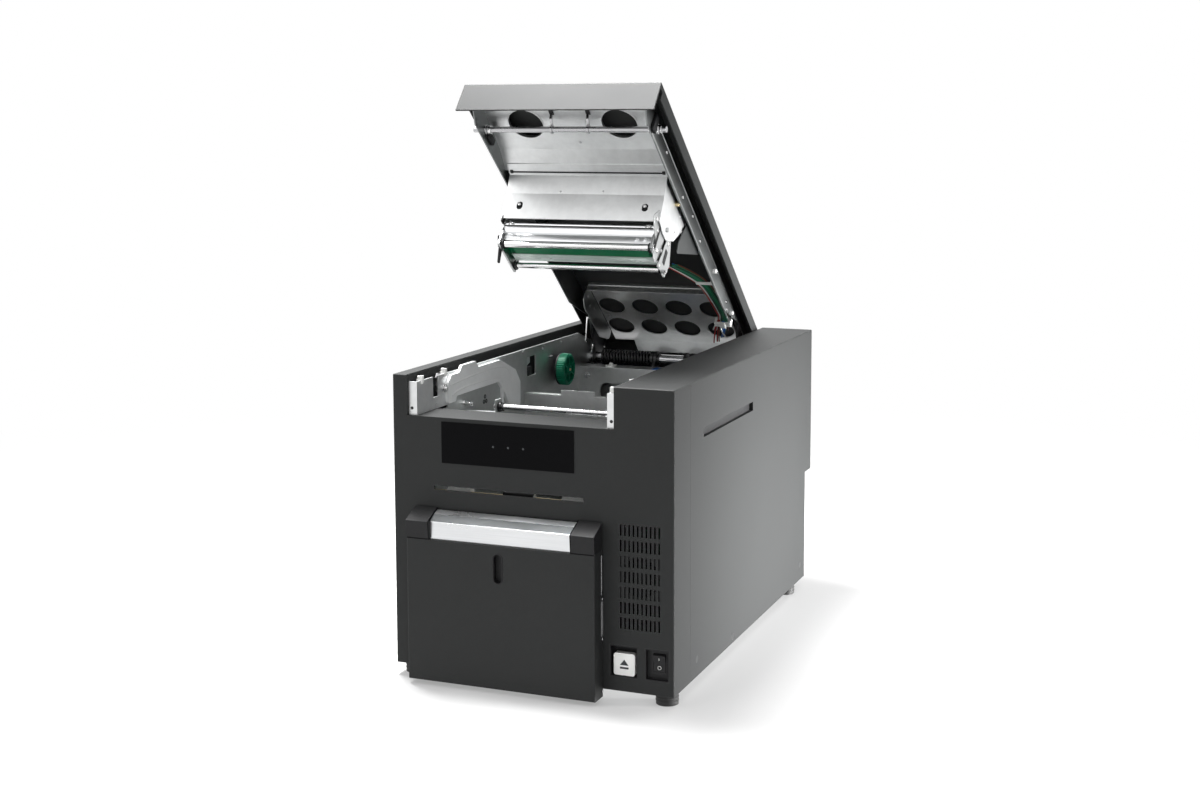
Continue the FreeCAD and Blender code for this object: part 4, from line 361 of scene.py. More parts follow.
    def frame(self, outer: Sequence[Pair], inner: Sequence[Pair], axis: Axis, span: Pair,
              bevel: float = 0.2) -> "Form":
        """Adds a sheet with a hole through it.

        Args:
            outer: Its outline.
            inner: The hole's outline, with as many corners.
            axis: The axis that it lies across.
            span: Where it starts and ends along the axis.
            bevel: Reach of the softening of its rims.

        Returns:
            This form.
        """
        part = bmesh.new()
        drawn = ((span[0], outer), (span[1], outer), (span[1], inner), (span[0], inner))
        loops = [[part.verts.new(axis.corner(along, pair)) for pair in outline]
                 for along, outline in drawn]
        rims = []
        for near, far in zip(loops, loops[1:] + loops[:1]):
            for index, corner in enumerate(near):
                follow = (index + 1) % len(near)
                face = part.faces.new((corner, near[follow], far[follow], far[index]))
                rims.append(face.edges[0])
        self._round(part, rims, bevel, 2)
        return self._take(part, Matrix.Identity(4))

    def lean(self, at: Point, axis: Axis, degrees: float) -> "Form":
        """Turns all that is in the form about an axis through a place."""
        turn = Matrix.Rotation(math.radians(degrees), 4, axis.name)
        self.mesh.transform(Matrix.Translation(at) @ turn @ Matrix.Translation(-Vector(at)))
        return self

    def join(self, other: "Form") -> "Form":
        """Takes over the other form's shape."""
        return self._take(other.mesh, Matrix.Identity(4))


class Texture(Enum):
    """The fine surface that a finish carries."""

    GRAIN = "grain"
    BRUSHED = "brushed"
    TURNED = "turned"


@dataclass(frozen=True)
class Finish:
    """One finish: its colour, gloss and fine surface.

    Attributes:
        slot: The record's material slot; not used.
        colour: Linear base colour.
        roughness: Middle roughness.
        metallic: 1 for bare metal.
        texture: The fine surface.
        scale: How many features of the fine surface fit in a metre.
        relief: Height of the fine surface in metres.
        tint: How far the colour wanders, as a share.
        edge: How much lighter edges are, partly rubbed and partly a painted highlight.
        coat: Weight of a clear layer.
        edge_radius: Reach of a softened edge in metres.
        specular: How strongly a non-metal mirrors.
        wander: How far the roughness wanders, as a share.
    """

    slot: str
    colour: Colour
    roughness: float
    metallic: float
    texture: Texture
    scale: float
    relief: float
    tint: float
    edge: float
    coat: float = 0.0
    edge_radius: float = 0.0004
    specular: float = 0.5
    wander: float = 0.14


SHEET = Finish("sheet_steel", (0.78, 0.79, 0.79), roughness=0.40, metallic=1.0, texture=Texture.GRAIN,
               scale=120.0, relief=0.00001, tint=0.08, edge=0.3)
DRAWN_BAR = Finish("bright_aluminium", (0.76, 0.77, 0.78), roughness=0.30, metallic=1.0,
                   texture=Texture.BRUSHED, scale=900.0, relief=0.00002, tint=0.10, edge=0.2,
                   edge_radius=0.0007)
LATHE_WORK = Finish("turned_steel", (0.52, 0.52, 0.53), roughness=0.27, metallic=1.0,
                    texture=Texture.TURNED, scale=1200.0, relief=0.00001, tint=0.10, edge=0.2)
MOULDING = Finish("black_plastic", (0.010, 0.010, 0.011), roughness=0.52, metallic=0.0,
                  texture=Texture.GRAIN, scale=2600.0, relief=0.00004, tint=0.20, edge=0.4, specular=0.30)
GLOSS = Finish("black_gloss", (0.002, 0.002, 0.0025), roughness=0.16, metallic=0.0,
               texture=Texture.GRAIN, scale=60.0, relief=0.000002, tint=0.10, edge=0.2, specular=0.06)
INSULATION = Finish("wire_cover", (0.01, 0.20, 0.09), roughness=0.42, metallic=0.0,
                    texture=Texture.GRAIN, scale=900.0, relief=0.00001, tint=0.10, edge=0.1)
ELASTIC = Finish("black_rubber", (0.010, 0.010, 0.010), roughness=0.62, metallic=0.0,
                 texture=Texture.GRAIN, scale=1800.0, relief=0.00004, tint=0.15, edge=0.2)


class Coat(Enum):
    """Every finish on the machine."""

    POWDER = Finish("shell_paint", (0.0145, 0.0155, 0.0155), roughness=0.60, metallic=0.0,
                    texture=Texture.GRAIN, scale=1500.0, relief=0.00007, tint=0.12, edge=0.5,
                    edge_radius=0.0009, specular=0.32, wander=0.03)
    ZINC = replace(SHEET, edge=0.2)
    # Sheet zinc darkened as painted shade, for the left plate that the right side of the case shades.
    DARK_ZINC = replace(SHEET, colour=(0.56, 0.58, 0.575), roughness=0.44)
    # Sheet metal darkened nearly to black as painted shadow, for the brace deep under the cover.
    DARK_STEEL = replace(SHEET, colour=(0.09, 0.095, 0.095), roughness=0.36)
    # Sheet zinc darkened as painted shade, for the rails in the shade of the cover's side.
    DULL_ZINC = replace(SHEET, colour=(0.26, 0.27, 0.27), roughness=0.36)
    # Sheet zinc darkened as painted shade, for sheets under the raised cover.
    WING = replace(SHEET, colour=(0.52, 0.53, 0.53), roughness=0.32)
    ANODISED = replace(DRAWN_BAR, colour=(0.78, 0.79, 0.80), tint=0.08, edge=0.3)
    GRIP_BAND = replace(DRAWN_BAR, colour=(0.10, 0.105, 0.107), roughness=0.50, tint=0.08, edge=0.3,
                        edge_radius=0.0004)
    ALUMINIUM = DRAWN_BAR
    CHROME = replace(LATHE_WORK, slot="chromed", colour=(0.80, 0.80, 0.80), roughness=0.13,
                     scale=1400.0, relief=0.000004, tint=0.06, edge=0.1)
    TURNED = LATHE_WORK
    BRASS = replace(LATHE_WORK, slot="brass_shaft", colour=(0.72, 0.60, 0.36), roughness=0.28)
    BLACK = MOULDING
    PRINT = replace(MOULDING, colour=(0.035, 0.037, 0.04), roughness=0.55, relief=0.00001, tint=0.10,
                    edge=0.1, specular=0.5)
    WHITE = replace(MOULDING, slot="white_plastic", colour=(0.90, 0.90, 0.88), roughness=0.38,
                    relief=0.00001, tint=0.03, edge=0.05, specular=0.5)
    GREEN = replace(MOULDING, slot="green_plastic", colour=(0.002, 0.19, 0.10), roughness=0.40,
                    relief=0.00001, tint=0.12, edge=0.2, specular=0.25)
    LENS = GLOSS
    LAMP = replace(GLOSS, colour=(0.05, 0.055, 0.06), roughness=0.30, specular=0.5)
    CERAMIC = replace(GLOSS, slot="white_plastic", colour=(0.42, 0.50, 0.46), relief=0.000004,
                      tint=0.05, edge=0.1, coat=0.4, specular=0.5)
    GUARD = replace(GLOSS, slot="pale_guard", colour=(0.93, 0.95, 0.95), roughness=0.30, scale=90.0,
                    relief=0.00002, tint=0.06, edge=0.1, coat=0.2, specular=0.5)
    WIRE = replace(INSULATION, roughness=0.40)
    DARK_WIRE = replace(INSULATION, colour=(0.004, 0.07, 0.035))
    RED_WIRE = replace(INSULATION, colour=(0.36, 0.008, 0.012))
    PALE_WIRE = replace(INSULATION, colour=(0.74, 0.74, 0.72), tint=0.05)
    BROWN_WIRE = replace(INSULATION, colour=(0.14, 0.035, 0.015))
    BLUE_WIRE = replace(INSULATION, colour=(0.01, 0.12, 0.42))
    BOARD = Finish("green_board", (0.002, 0.12, 0.045), roughness=0.34, metallic=0.0,
                   texture=Texture.GRAIN, scale=700.0, relief=0.00001, tint=0.15, edge=0.2, specular=0.25)
    RUBBER = ELASTIC
    PALE_RUBBER = replace(ELASTIC, slot="white_rubber", colour=(0.88, 0.88, 0.86), roughness=0.60,
                          relief=0.00002, tint=0.05, edge=0.1)
    BLACK_STEEL = Finish("black_steel", (0.010, 0.010, 0.011), roughness=0.34, metallic=0.0,
                         texture=Texture.GRAIN, scale=1500.0, relief=0.00002, tint=0.20, edge=0.4)

    @property
    def finish(self) -> Finish:
        """The finish's values."""
        return self.value


class NodeGroups:
    """Shader node groups that several finishes share, each built once."""

    CELL_SHARE = 0.6
    EDGE_SPAN = (0.995, 0.85)
    BEVEL_SAMPLES = 4

    def __init__(self) -> None:
        """Builds the groups."""
        self.grain = self._grain()
        self.stretched = self._stretched()
        self.edges = self._edges()
        self.mottle = self._mottle()

    @staticmethod
    def _start(name: str, inputs: dict[str, float], outputs: Iterable[str]) -> Group:
        """Makes an empty group with its sockets.

        Args:
            name: The group's name.
            inputs: Input names and their defaults.
            outputs: Output names.

        Returns:
            The group, with its input and output nodes in place.
        """
        group = bpy.data.node_groups.new(name, "ShaderNodeTree")
        group.interface.new_socket("Vector", in_out="INPUT", socket_type="NodeSocketVector")
        for label, default in inputs.items():
            socket = group.interface.new_socket(label, in_out="INPUT", socket_type="NodeSocketFloat")
            socket.default_value = default
        for label in outputs:
            group.interface.new_socket(label, in_out="OUTPUT", socket_type="NodeSocketFloat")
        group.nodes.new("NodeGroupInput")
        group.nodes.new("NodeGroupOutput")
        return group

    @staticmethod
    def _ends(group: Group) -> tuple[Node, Node]:
        """The input and output nodes of a group."""
        return group.nodes["Group Input"], group.nodes["Group Output"]

    @staticmethod
    def _noise(group: Group, vector: Socket, scale: Socket, detail: float,
               roughness: float = 0.5) -> Socket:
        """Adds a noise pattern to a group.

        Args:
            group: The group.
            vector: Where the pattern's place comes from.
            scale: Where its scale comes from.
            detail: How fine its steps go.
            roughness: How strong the fine ones are.

        Returns:
            The pattern's socket.
        """
        noise = group.nodes.new("ShaderNodeTexNoise")
        noise.inputs["Detail"].default_value = detail
        noise.inputs["Roughness"].default_value = roughness
        group.links.new(vector, noise.inputs["Vector"])
        group.links.new(scale, noise.inputs["Scale"])
        return noise.outputs["Fac"]

    def _grain(self) -> Group:
        """Fine pebbled texture of powder coat, moulded plastic and rubber."""
        group = self._start("fine_grain", {"Scale": 1500.0}, ("Height", "Mask"))
        start, end = self._ends(group)
        fine = self._noise(group, start.outputs["Vector"], start.outputs["Scale"], 3.0, 0.6)
        cells = group.nodes.new("ShaderNodeTexVoronoi")
        cells.feature = "SMOOTH_F1"
        blend = group.nodes.new("ShaderNodeMath")
        blend.operation = "MULTIPLY_ADD"
        blend.inputs[1].default_value = self.CELL_SHARE
        group.links.new(start.outputs["Vector"], cells.inputs["Vector"])
        group.links.new(start.outputs["Scale"], cells.inputs["Scale"])
        group.links.new(cells.outputs["Distance"], blend.inputs[0])
        group.links.new(fine, blend.inputs[2])
        group.links.new(blend.outputs[0], end.inputs["Height"])
        group.links.new(fine, end.inputs["Mask"])
        return group

    def _stretched(self) -> Group:
        """Long fine scratches along one axis, for brushed and turned metal."""
        inputs = {"Scale": 900.0, "Along X": 0.02, "Along Y": 1.0, "Along Z": 1.0}
        group = self._start("brushed_lines", inputs, ("Height", "Mask"))
        start, end = self._ends(group)
        squeeze = group.nodes.new("ShaderNodeVectorMath")
        squeeze.operation = "MULTIPLY"
        join = group.nodes.new("ShaderNodeCombineXYZ")
        for label, axis in (("Along X", "X"), ("Along Y", "Y"), ("Along Z", "Z")):
            group.links.new(start.outputs[label], join.inputs[axis])
        group.links.new(start.outputs["Vector"], squeeze.inputs[0])
        group.links.new(join.outputs[0], squeeze.inputs[1])
        lines = self._noise(group, squeeze.outputs[0], start.outputs["Scale"], 4.0, 0.7)
        group.links.new(lines, end.inputs["Height"])
        group.links.new(lines, end.inputs["Mask"])
        return group

    def _edges(self) -> Group:
        """Where an outer or inner edge is, from how far a rounded normal leans from the true one."""
        group = self._start("worn_edges", {"Radius": 0.0004, "Break up": 300.0}, ("Mask",))
        start, end = self._ends(group)
        soft = group.nodes.new("ShaderNodeBevel")
        soft.samples = self.BEVEL_SAMPLES
        plain = group.nodes.new("ShaderNodeNewGeometry")
        lean = group.nodes.new("ShaderNodeVectorMath")
        lean.operation = "DOT_PRODUCT"
        spread = group.nodes.new("ShaderNodeMapRange")
        spread.inputs["From Min"].default_value = self.EDGE_SPAN[0]
        spread.inputs["From Max"].default_value = self.EDGE_SPAN[1]
        patches = self._noise(group, start.outputs["Vector"], start.outputs["Break up"], 3.0)
        broken = group.nodes.new("ShaderNodeMath")
        broken.operation = "MULTIPLY"
        group.links.new(start.outputs["Radius"], soft.inputs["Radius"])
        group.links.new(soft.outputs[0], lean.inputs[0])
        group.links.new(plain.outputs["Normal"], lean.inputs[1])
        group.links.new(lean.outputs["Value"], spread.inputs["Value"])
        group.links.new(spread.outputs[0], broken.inputs[0])
        group.links.new(patches, broken.inputs[1])
        group.links.new(broken.outputs[0], end.inputs["Mask"])
        return group

    def _mottle(self) -> Group:
        """Broad uneven patches from handling, plating and dust."""
        group = self._start("broad_mottle", {"Scale": 14.0}, ("Mask",))
        start, end = self._ends(group)
        patches = self._noise(group, start.outputs["Vector"], start.outputs["Scale"], 5.0, 0.55)
        group.links.new(patches, end.inputs["Mask"])
        return group


@dataclass
class PaintShop:
    """Turns finishes into materials, each made once."""

    groups: NodeGroups
    made: dict[str, bpy.types.Material] = field(default_factory=dict)
    stretches: dict[Texture, Point] = field(default_factory=lambda: {
        Texture.BRUSHED: (0.015, 1.0, 1.0),
        Texture.TURNED: (1.0, 0.03, 0.03),
    })
    mottle_scale: float = 14.0
    break_up: float = 260.0
    coat_roughness: float = 0.06
    # Grey that edges of non-metals lean to, and how far they lean: partly rubbing, partly painted highlight.
    wear_and_highlight_grey: float = 0.5
    wear_and_highlight_share: float = 0.2
    mask_span: Pair = (0.32, 0.68)
    gloss_span: Pair = (0.3, 0.7)
    bevel_samples: int = 4

    def material(self, name: str, finish: Finish) -> bpy.types.Material:
        """The material of a finish.

        Args:
            name: The finish's name.
            finish: Its values.

        Returns:
            The material, made on first use.
        """
        if name not in self.made:
            self.made[name] = self._mix(name, finish)
        return self.made[name]

    def _mix(self, name: str, finish: Finish) -> bpy.types.Material:
        """Builds a material's nodes.

        Args:
            name: The material's name.
            finish: Its values.

        Returns:
            The new material.
        """
        material = bpy.data.materials.new(name)
        material.use_nodes = True
        tree = material.node_tree
        shader = tree.nodes["Principled BSDF"]
        shader.inputs["Metallic"].default_value = finish.metallic
        shader.inputs["Coat Weight"].default_value = finish.coat
        shader.inputs["Specular IOR Level"].default_value = finish.specular
        shader.inputs["Coat Roughness"].default_value = self.coat_roughness
        place = tree.nodes.new("ShaderNodeTexCoord").outputs["Object"]
        fine = self._fine(tree, finish, place)
        broad = self._group(tree, self.groups.mottle, place, {"Scale": self.mottle_scale})
        # The edge mask lightens outer and inner edges: partly rubbing, partly a painted highlight.
        edge = self._group(tree, self.groups.edges, place,
                           {"Radius": finish.edge_radius, "Break up": self.break_up})
        light = tuple(min(1.0, channel * (1.0 + finish.tint)) for channel in finish.colour)
        dark = tuple(channel * (1.0 - finish.tint) for channel in finish.colour)
        if finish.metallic:
            wear_and_highlight = tuple(min(1.0, channel * (1.0 + finish.edge)) for channel in finish.colour)
        else:
            wear_and_highlight = tuple(channel + (self.wear_and_highlight_grey - channel) * finish.edge * self.wear_and_highlight_share
                         for channel in finish.colour)
        fine_mix = self._colour_mix(tree, fine.outputs["Mask"], dark, light)
        broad_mix = self._colour_mix(tree, broad.outputs["Mask"], dark, light)
        together = self._blend(tree, 0.5, fine_mix, broad_mix)
        final = self._blend(tree, edge.outputs["Mask"], together, wear_and_highlight)
        tree.links.new(final, shader.inputs["Base Color"])
        gloss = tree.nodes.new("ShaderNodeMapRange")
        gloss.inputs["From Min"].default_value = self.gloss_span[0]
        gloss.inputs["From Max"].default_value = self.gloss_span[1]
        gloss.inputs["To Min"].default_value = finish.roughness * (1.0 - finish.wander)
        gloss.inputs["To Max"].default_value = min(1.0, finish.roughness * (1.0 + finish.wander))
        tree.links.new(broad.outputs["Mask"], gloss.inputs["Value"])
        tree.links.new(gloss.outputs[0], shader.inputs["Roughness"])
        soft = tree.nodes.new("ShaderNodeBevel")
        soft.samples = self.bevel_samples
        soft.inputs["Radius"].default_value = finish.edge_radius
        bump = tree.nodes.new("ShaderNodeBump")
        bump.inputs["Distance"].default_value = finish.relief
        tree.links.new(fine.outputs["Height"], bump.inputs["Height"])
        tree.links.new(soft.outputs[0], bump.inputs["Normal"])
        tree.links.new(bump.outputs[0], shader.inputs["Normal"])
        return material

    def _fine(self, tree: Tree, finish: Finish, place: Socket) -> Node:
        """Places the group of a finish's fine surface.

        Args:
            tree: The material's nodes.
            finish: The finish.
            place: The coordinates to use.

        Returns:
            The group node, with Height and Mask outputs.
        """
        if finish.texture in self.stretches:
            x, y, z = self.stretches[finish.texture]
            values = {"Scale": finish.scale, "Along X": x, "Along Y": y, "Along Z": z}
            return self._group(tree, self.groups.stretched, place, values)
        return self._group(tree, self.groups.grain, place, {"Scale": finish.scale})

    @staticmethod
    def _group(tree: Tree, group: Group, place: Socket, values: dict[str, float]) -> Node:
        """Places a shared group in a material.

        Args:
            tree: The material's nodes.
            group: The shared group.
            place: The coordinates to use.
            values: Values for its inputs.

        Returns:
            The group node.
        """
        node = tree.nodes.new("ShaderNodeGroup")
        node.node_tree = group
        tree.links.new(place, node.inputs["Vector"])
        for label, value in values.items():
            node.inputs[label].default_value = value
        return node

    @staticmethod
    def _socket(tree: Tree, socket: Socket, value: object) -> None:
        """Sets a socket from a colour or a link."""
        if isinstance(value, Socket):
            tree.links.new(value, socket)
        elif isinstance(value, tuple):
            socket.default_value = (*value, 1.0)
        else:
            socket.default_value = value

    def _blend(self, tree: Tree, share: object, first: object, second: object) -> Socket:
        """Mixes two colours.

        Args:
            tree: The material's nodes.
            share: A value or a mask.
            first: Colour or socket at share 0.
            second: Colour or socket at share 1.

        Returns:
            The mixed colour's socket.
        """
        mix = tree.nodes.new("ShaderNodeMix")
        mix.data_type = "RGBA"
        self._socket(tree, mix.inputs["Factor"], share)
        self._socket(tree, mix.inputs["A"], first)
        self._socket(tree, mix.inputs["B"], second)
        return mix.outputs["Result"]

    def _colour_mix(self, tree: Tree, mask: Socket, dark: Colour, light: Colour) -> Socket:
        """Spreads a mask from a dark to a light colour.

        Args:
            tree: The material's nodes.
            mask: The pattern.
            dark: Colour where the mask is low.
            light: Colour where it is high.

        Returns:
            The colour's socket.
        """
        ramp = tree.nodes.new("ShaderNodeMapRange")
        ramp.inputs["From Min"].default_value = self.mask_span[0]
        ramp.inputs["From Max"].default_value = self.mask_span[1]
        tree.links.new(mask, ramp.inputs["Value"])
        return self._blend(tree, ramp.outputs[0], dark, light)


@dataclass
class Workshop:
    """Adds pieces to the scene and dresses the machine's own nodes.

    Attributes:
        shop: Makes the materials.
        count: How many pieces were added.
        hulls: The nodes' surfaces for looking up seats, by name.
        sharp: The angle in degrees past which an edge is shaded sharp.
    """

    frame: dict
    shop: PaintShop
    count: int = 0
    hulls: dict[str, BVHTree] = field(default_factory=dict)
    sharp: float = 32.0

    def body_of(self, node: str) -> str:
        """The body that a node belongs to."""
        bodies = self.frame["record"]["behaviour"]["bodies"]
        return next(body for body, nodes in bodies.items() if node in nodes)

    def seat(self, node: str, place: Point, axis: Axis, way: float, reach: float = 9.0) -> Optional[Point]:
        """Finds the sheet under a place.

        Args:
            node: The node to look for.
            place: A place within reach of its surface.
            axis: The axis to look along.
            way: The side to look from.
            reach: How far from the place the look starts, in millimetres.

        Returns:
            The point on the node's surface, or None.
        """
        if node not in self.hulls:
            target = self.frame["nodes"][node]
            corners = [target.matrix_world @ vertex.co for vertex in target.data.vertices]
            faces = [face.vertices[:] for face in target.data.polygons]
            self.hulls[node] = BVHTree.FromPolygons(corners, faces)
        to_row = Carrier.of(self.body_of(node)).matrix()
        look = axis.corner(way * reach, (0.0, 0.0))
        start, end = to_row @ (Vector(place) + look), to_row @ (Vector(place) - look)
        hit = self.hulls[node].ray_cast(start, (end - start).normalized(), (end - start).length)[0]
        return None if hit is None else tuple(to_row.inverted() @ hit)

    def wires(self, name: str, paths: Sequence[Sequence[Point]], radius: float, coat: Coat, body: str,
              replaces: Sequence[str] = ()) -> None:
        """Adds round wires along paths.

        Args:
            name: The piece's name.
            paths: The points of each wire, in machine millimetres.
            radius: Their radius in millimetres.
            coat: Their finish.
            body: The body they ride on.
            replaces: Nodes that they stand for.
        """
        data = bpy.data.curves.new(name, "CURVE")
        data.dimensions = "3D"
        data.bevel_depth = radius * MM
        data.bevel_resolution = 3
        data.use_fill_caps = True
        to_row = Carrier.of(body).matrix()
        for path in paths:
            spline = data.splines.new("NURBS")
            spline.points.add(len(path) - 1)
            for point, place in zip(spline.points, path):
                point.co = (*(to_row @ Vector(place)), 1.0)
            spline.order_u = 3
            spline.use_endpoint_u = True
            spline.resolution_u = 6
        self._finish(bpy.data.objects.new(name, data), coat, body, replaces)

    def _finish(self, piece: bpy.types.Object, coat: Coat, body: str, replaces: Sequence[str] = ()) -> None:
        """Links a piece, gives it its finish and seats it on its body.

        Args:
            piece: The new object.
            coat: Its finish.
            body: The body it rides on.
            replaces: Nodes that it stands for.
        """
        bpy.context.scene.collection.objects.link(piece)
        piece.data.materials.append(self.shop.material(coat.name.lower(), coat.finish))
        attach(piece, body)
        if replaces:
            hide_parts(*replaces)
        self.count += 1
        log.info("added %s on %s", piece.name, body)

    def dress(self, node: str, coat: Coat) -> None:
        """Gives a node of the machine its finish.

        Args:
            node: The node's name.
            coat: Its finish.
        """
        target = self.frame["nodes"][node]
        material = self.shop.material(coat.name.lower(), coat.finish)
        target.data.materials.clear()
        target.data.materials.append(material)
        log.info("dressed %s in %s", node, coat.name.lower())

    def add(self, name: str, form: Form, coat: Coat, body: str = "chassis") -> None:
        """Turns a finished form into a piece.

        Args:
            name: The piece's name.
            form: Its shape, which is used up.
            coat: Its finish.
            body: The body it rides on.
        """
        form.mesh.transform(Carrier.of(body).matrix())
        mesh = bpy.data.meshes.new(name)
        form.mesh.to_mesh(mesh)
        form.mesh.free()
        mesh.shade_smooth()
        mesh.set_sharp_from_angle(angle=math.radians(self.sharp))
        self._finish(bpy.data.objects.new(name, mesh), coat, body)


@dataclass
class Dressing:
    """Which finish each of the machine's own nodes takes."""

    coats: dict[Coat, tuple[str, ...]] = field(default_factory=lambda: {
        Coat.POWDER: ("front_panel", "left_side_panel", "right_side_cover", "rear_panel", "drawer_front",
                      "lid_cover"),
        Coat.DARK_ZINC: ("left_frame_plate",),
        Coat.ZINC: ("base_pan", "right_frame_plate", "left_catch_bracket", "right_catch_bracket",
                    "front_cross_plate", "rear_cross_box", "drawer_runners", "drawer_tray",
                    "lid_crossmember", "head_bracket", "power_supply", "lid_rear_plate"),
        Coat.DULL_ZINC: ("lid_side_plates",),
        Coat.WING: ("head_side_plates",),
        Coat.ANODISED: ("drawer_handle",),
        Coat.ALUMINIUM: ("head_bar",),
        Coat.CHROME: ("pinch_roller", "peel_shaft"),
        Coat.TURNED: ("guide_shaft", "hinge_shaft", "platen_shaft", "motor_pulley", "latch_shaft",
                      "left_latch_hook", "right_latch_hook"),
        Coat.BRASS: ("exit_shaft",),
        Coat.BLACK: ("shaft_bearings", "switch_bezel", "button_housing", "fan_frame", "fan_rotor",
                     "mains_inlet", "drawer_end_blocks", "power_rocker", "ribbon_spindle"),
        Coat.LENS: ("display_window",),
        Coat.WHITE: ("latch_guide_pins", "push_button"),
        Coat.GUARD: ("ribbon_guard",),
        Coat.GREEN: ("ribbon_knob",),
        Coat.BOARD: ("print_head", "main_board"),
        Coat.RUBBER: ("feet", "platen_roller", "pick_roller", "drive_belt"),
        Coat.PALE_RUBBER: ("exit_rollers",),
        Coat.WIRE: ("lid_harness",),
        Coat.BLACK_STEEL: ("torsion_spring", "hinge_brackets", "cover_screws", "feed_motor",
                           "lid_arms"),
    })

    def build(self, workshop: Workshop) -> None:
        """Dresses every node."""
        for coat, nodes in self.coats.items():
            for node in nodes:
                workshop.dress(node, coat)


def under(x: float, y: float, drop: float) -> Point:
    """A place on the cover, from its depth below the closed cover's top."""
    return (x, y, MACHINE.below(drop))


def beneath(outline: Iterable[Pair]) -> list[Pair]:
    """Turns an outline's depths below the closed cover's top into heights."""
    return [(along, MACHINE.below(drop)) for along, drop in outline]


def bricks(rows: Iterable[Brick]) -> Form:
    """Puts blocks on the cover together in one form.

    Args:
        rows: Lowest and highest corner, each as x, y and depth, and the reach of the softening.

    Returns:
        The new form.
    """
    form = Form()
    for low, high, bevel in rows:
        form.block(under(*low), under(*high), bevel)
    return form


def rounded(middle: Pair, wide: float, tall: float, radius: float, steps: int = 6) -> list[Pair]:
    """Draws a rectangle with round corners.

    Args:
        middle: Its middle.
        wide: Full width.
        tall: Full height.
        radius: Radius of its corners.
        steps: Points in each corner, less one.

    Returns:
        Its outline, once around.
    """
    outline = []
    for corner, (across, up) in enumerate(((1, 1), (-1, 1), (-1, -1), (1, -1))):
        for step in range(steps + 1):
            angle = (corner + step / steps) * math.pi / 2
            outline.append((middle[0] + across * (wide / 2 - radius) + radius * math.cos(angle),
                            middle[1] + up * (tall / 2 - radius) + radius * math.sin(angle)))
    return outline


class Head(Enum):
    """Kinds of fastener."""

    SCREW = "screw"
    RIVET = "rivet"
    POST = "post"


RIVET_HEAD = ((0.3, 1.0), (0.8, 0.8), (1.0, 0.45), (1.0, 0.0))


@dataclass(frozen=True)
class Fasteners:
    """Like fasteners that sit on one sheet.

    Attributes:
        name: The piece's name.
        node: The node they sit on.
        axis: The axis they lie along.
        way: The side of the sheet that they stand out on.
        radius: Radius of a head.
        places: Places; the coordinate along the axis is where the search for the sheet starts.
        coat: Their finish.
        kind: Their kind.
        tall: How far a post stands out.
    """

    name: str
    node: str
    axis: Axis
    way: float
    radius: float
    places: tuple[Point, ...]
    coat: Coat = Coat.TURNED
    kind: Head = Head.SCREW
    tall: float = 6.0

    def build(self, workshop: Workshop) -> None:
        """Finds the sheet under each place and seats a fastener there."""
        form = Form()
        for place in self.places:
            seat = workshop.seat(self.node, place, self.axis, self.way)
            if seat is None:
                log.warning("%s misses its sheet at %s", self.name, place)
            elif self.kind is Head.SCREW:
                form.ring(seat, self.axis, 0.5 * self.way, outer=self.radius * 1.35,
                          inner=self.radius * 0.5, steps=24)
                form.screw(seat, self.axis, self.way, self.radius)
            elif self.kind is Head.RIVET:
                tall, foot = self.radius * 0.5 * self.way, -0.3 * self.way
                dome = [(share * tall, self.radius * width) for share, width in RIVET_HEAD]
                form.turned(seat, self.axis, [(foot, 0.0), (foot, self.radius), *dome], steps=24)
            else:
                form.nut(seat, self.axis, self.tall * self.way, self.radius)
                end = Vector(seat) + self.axis.corner(self.tall * self.way, (0.0, 0.0))
                form.screw(tuple(end), self.axis, self.way, self.radius * 0.7)
        workshop.add(self.name, form, self.coat, workshop.body_of(self.node))


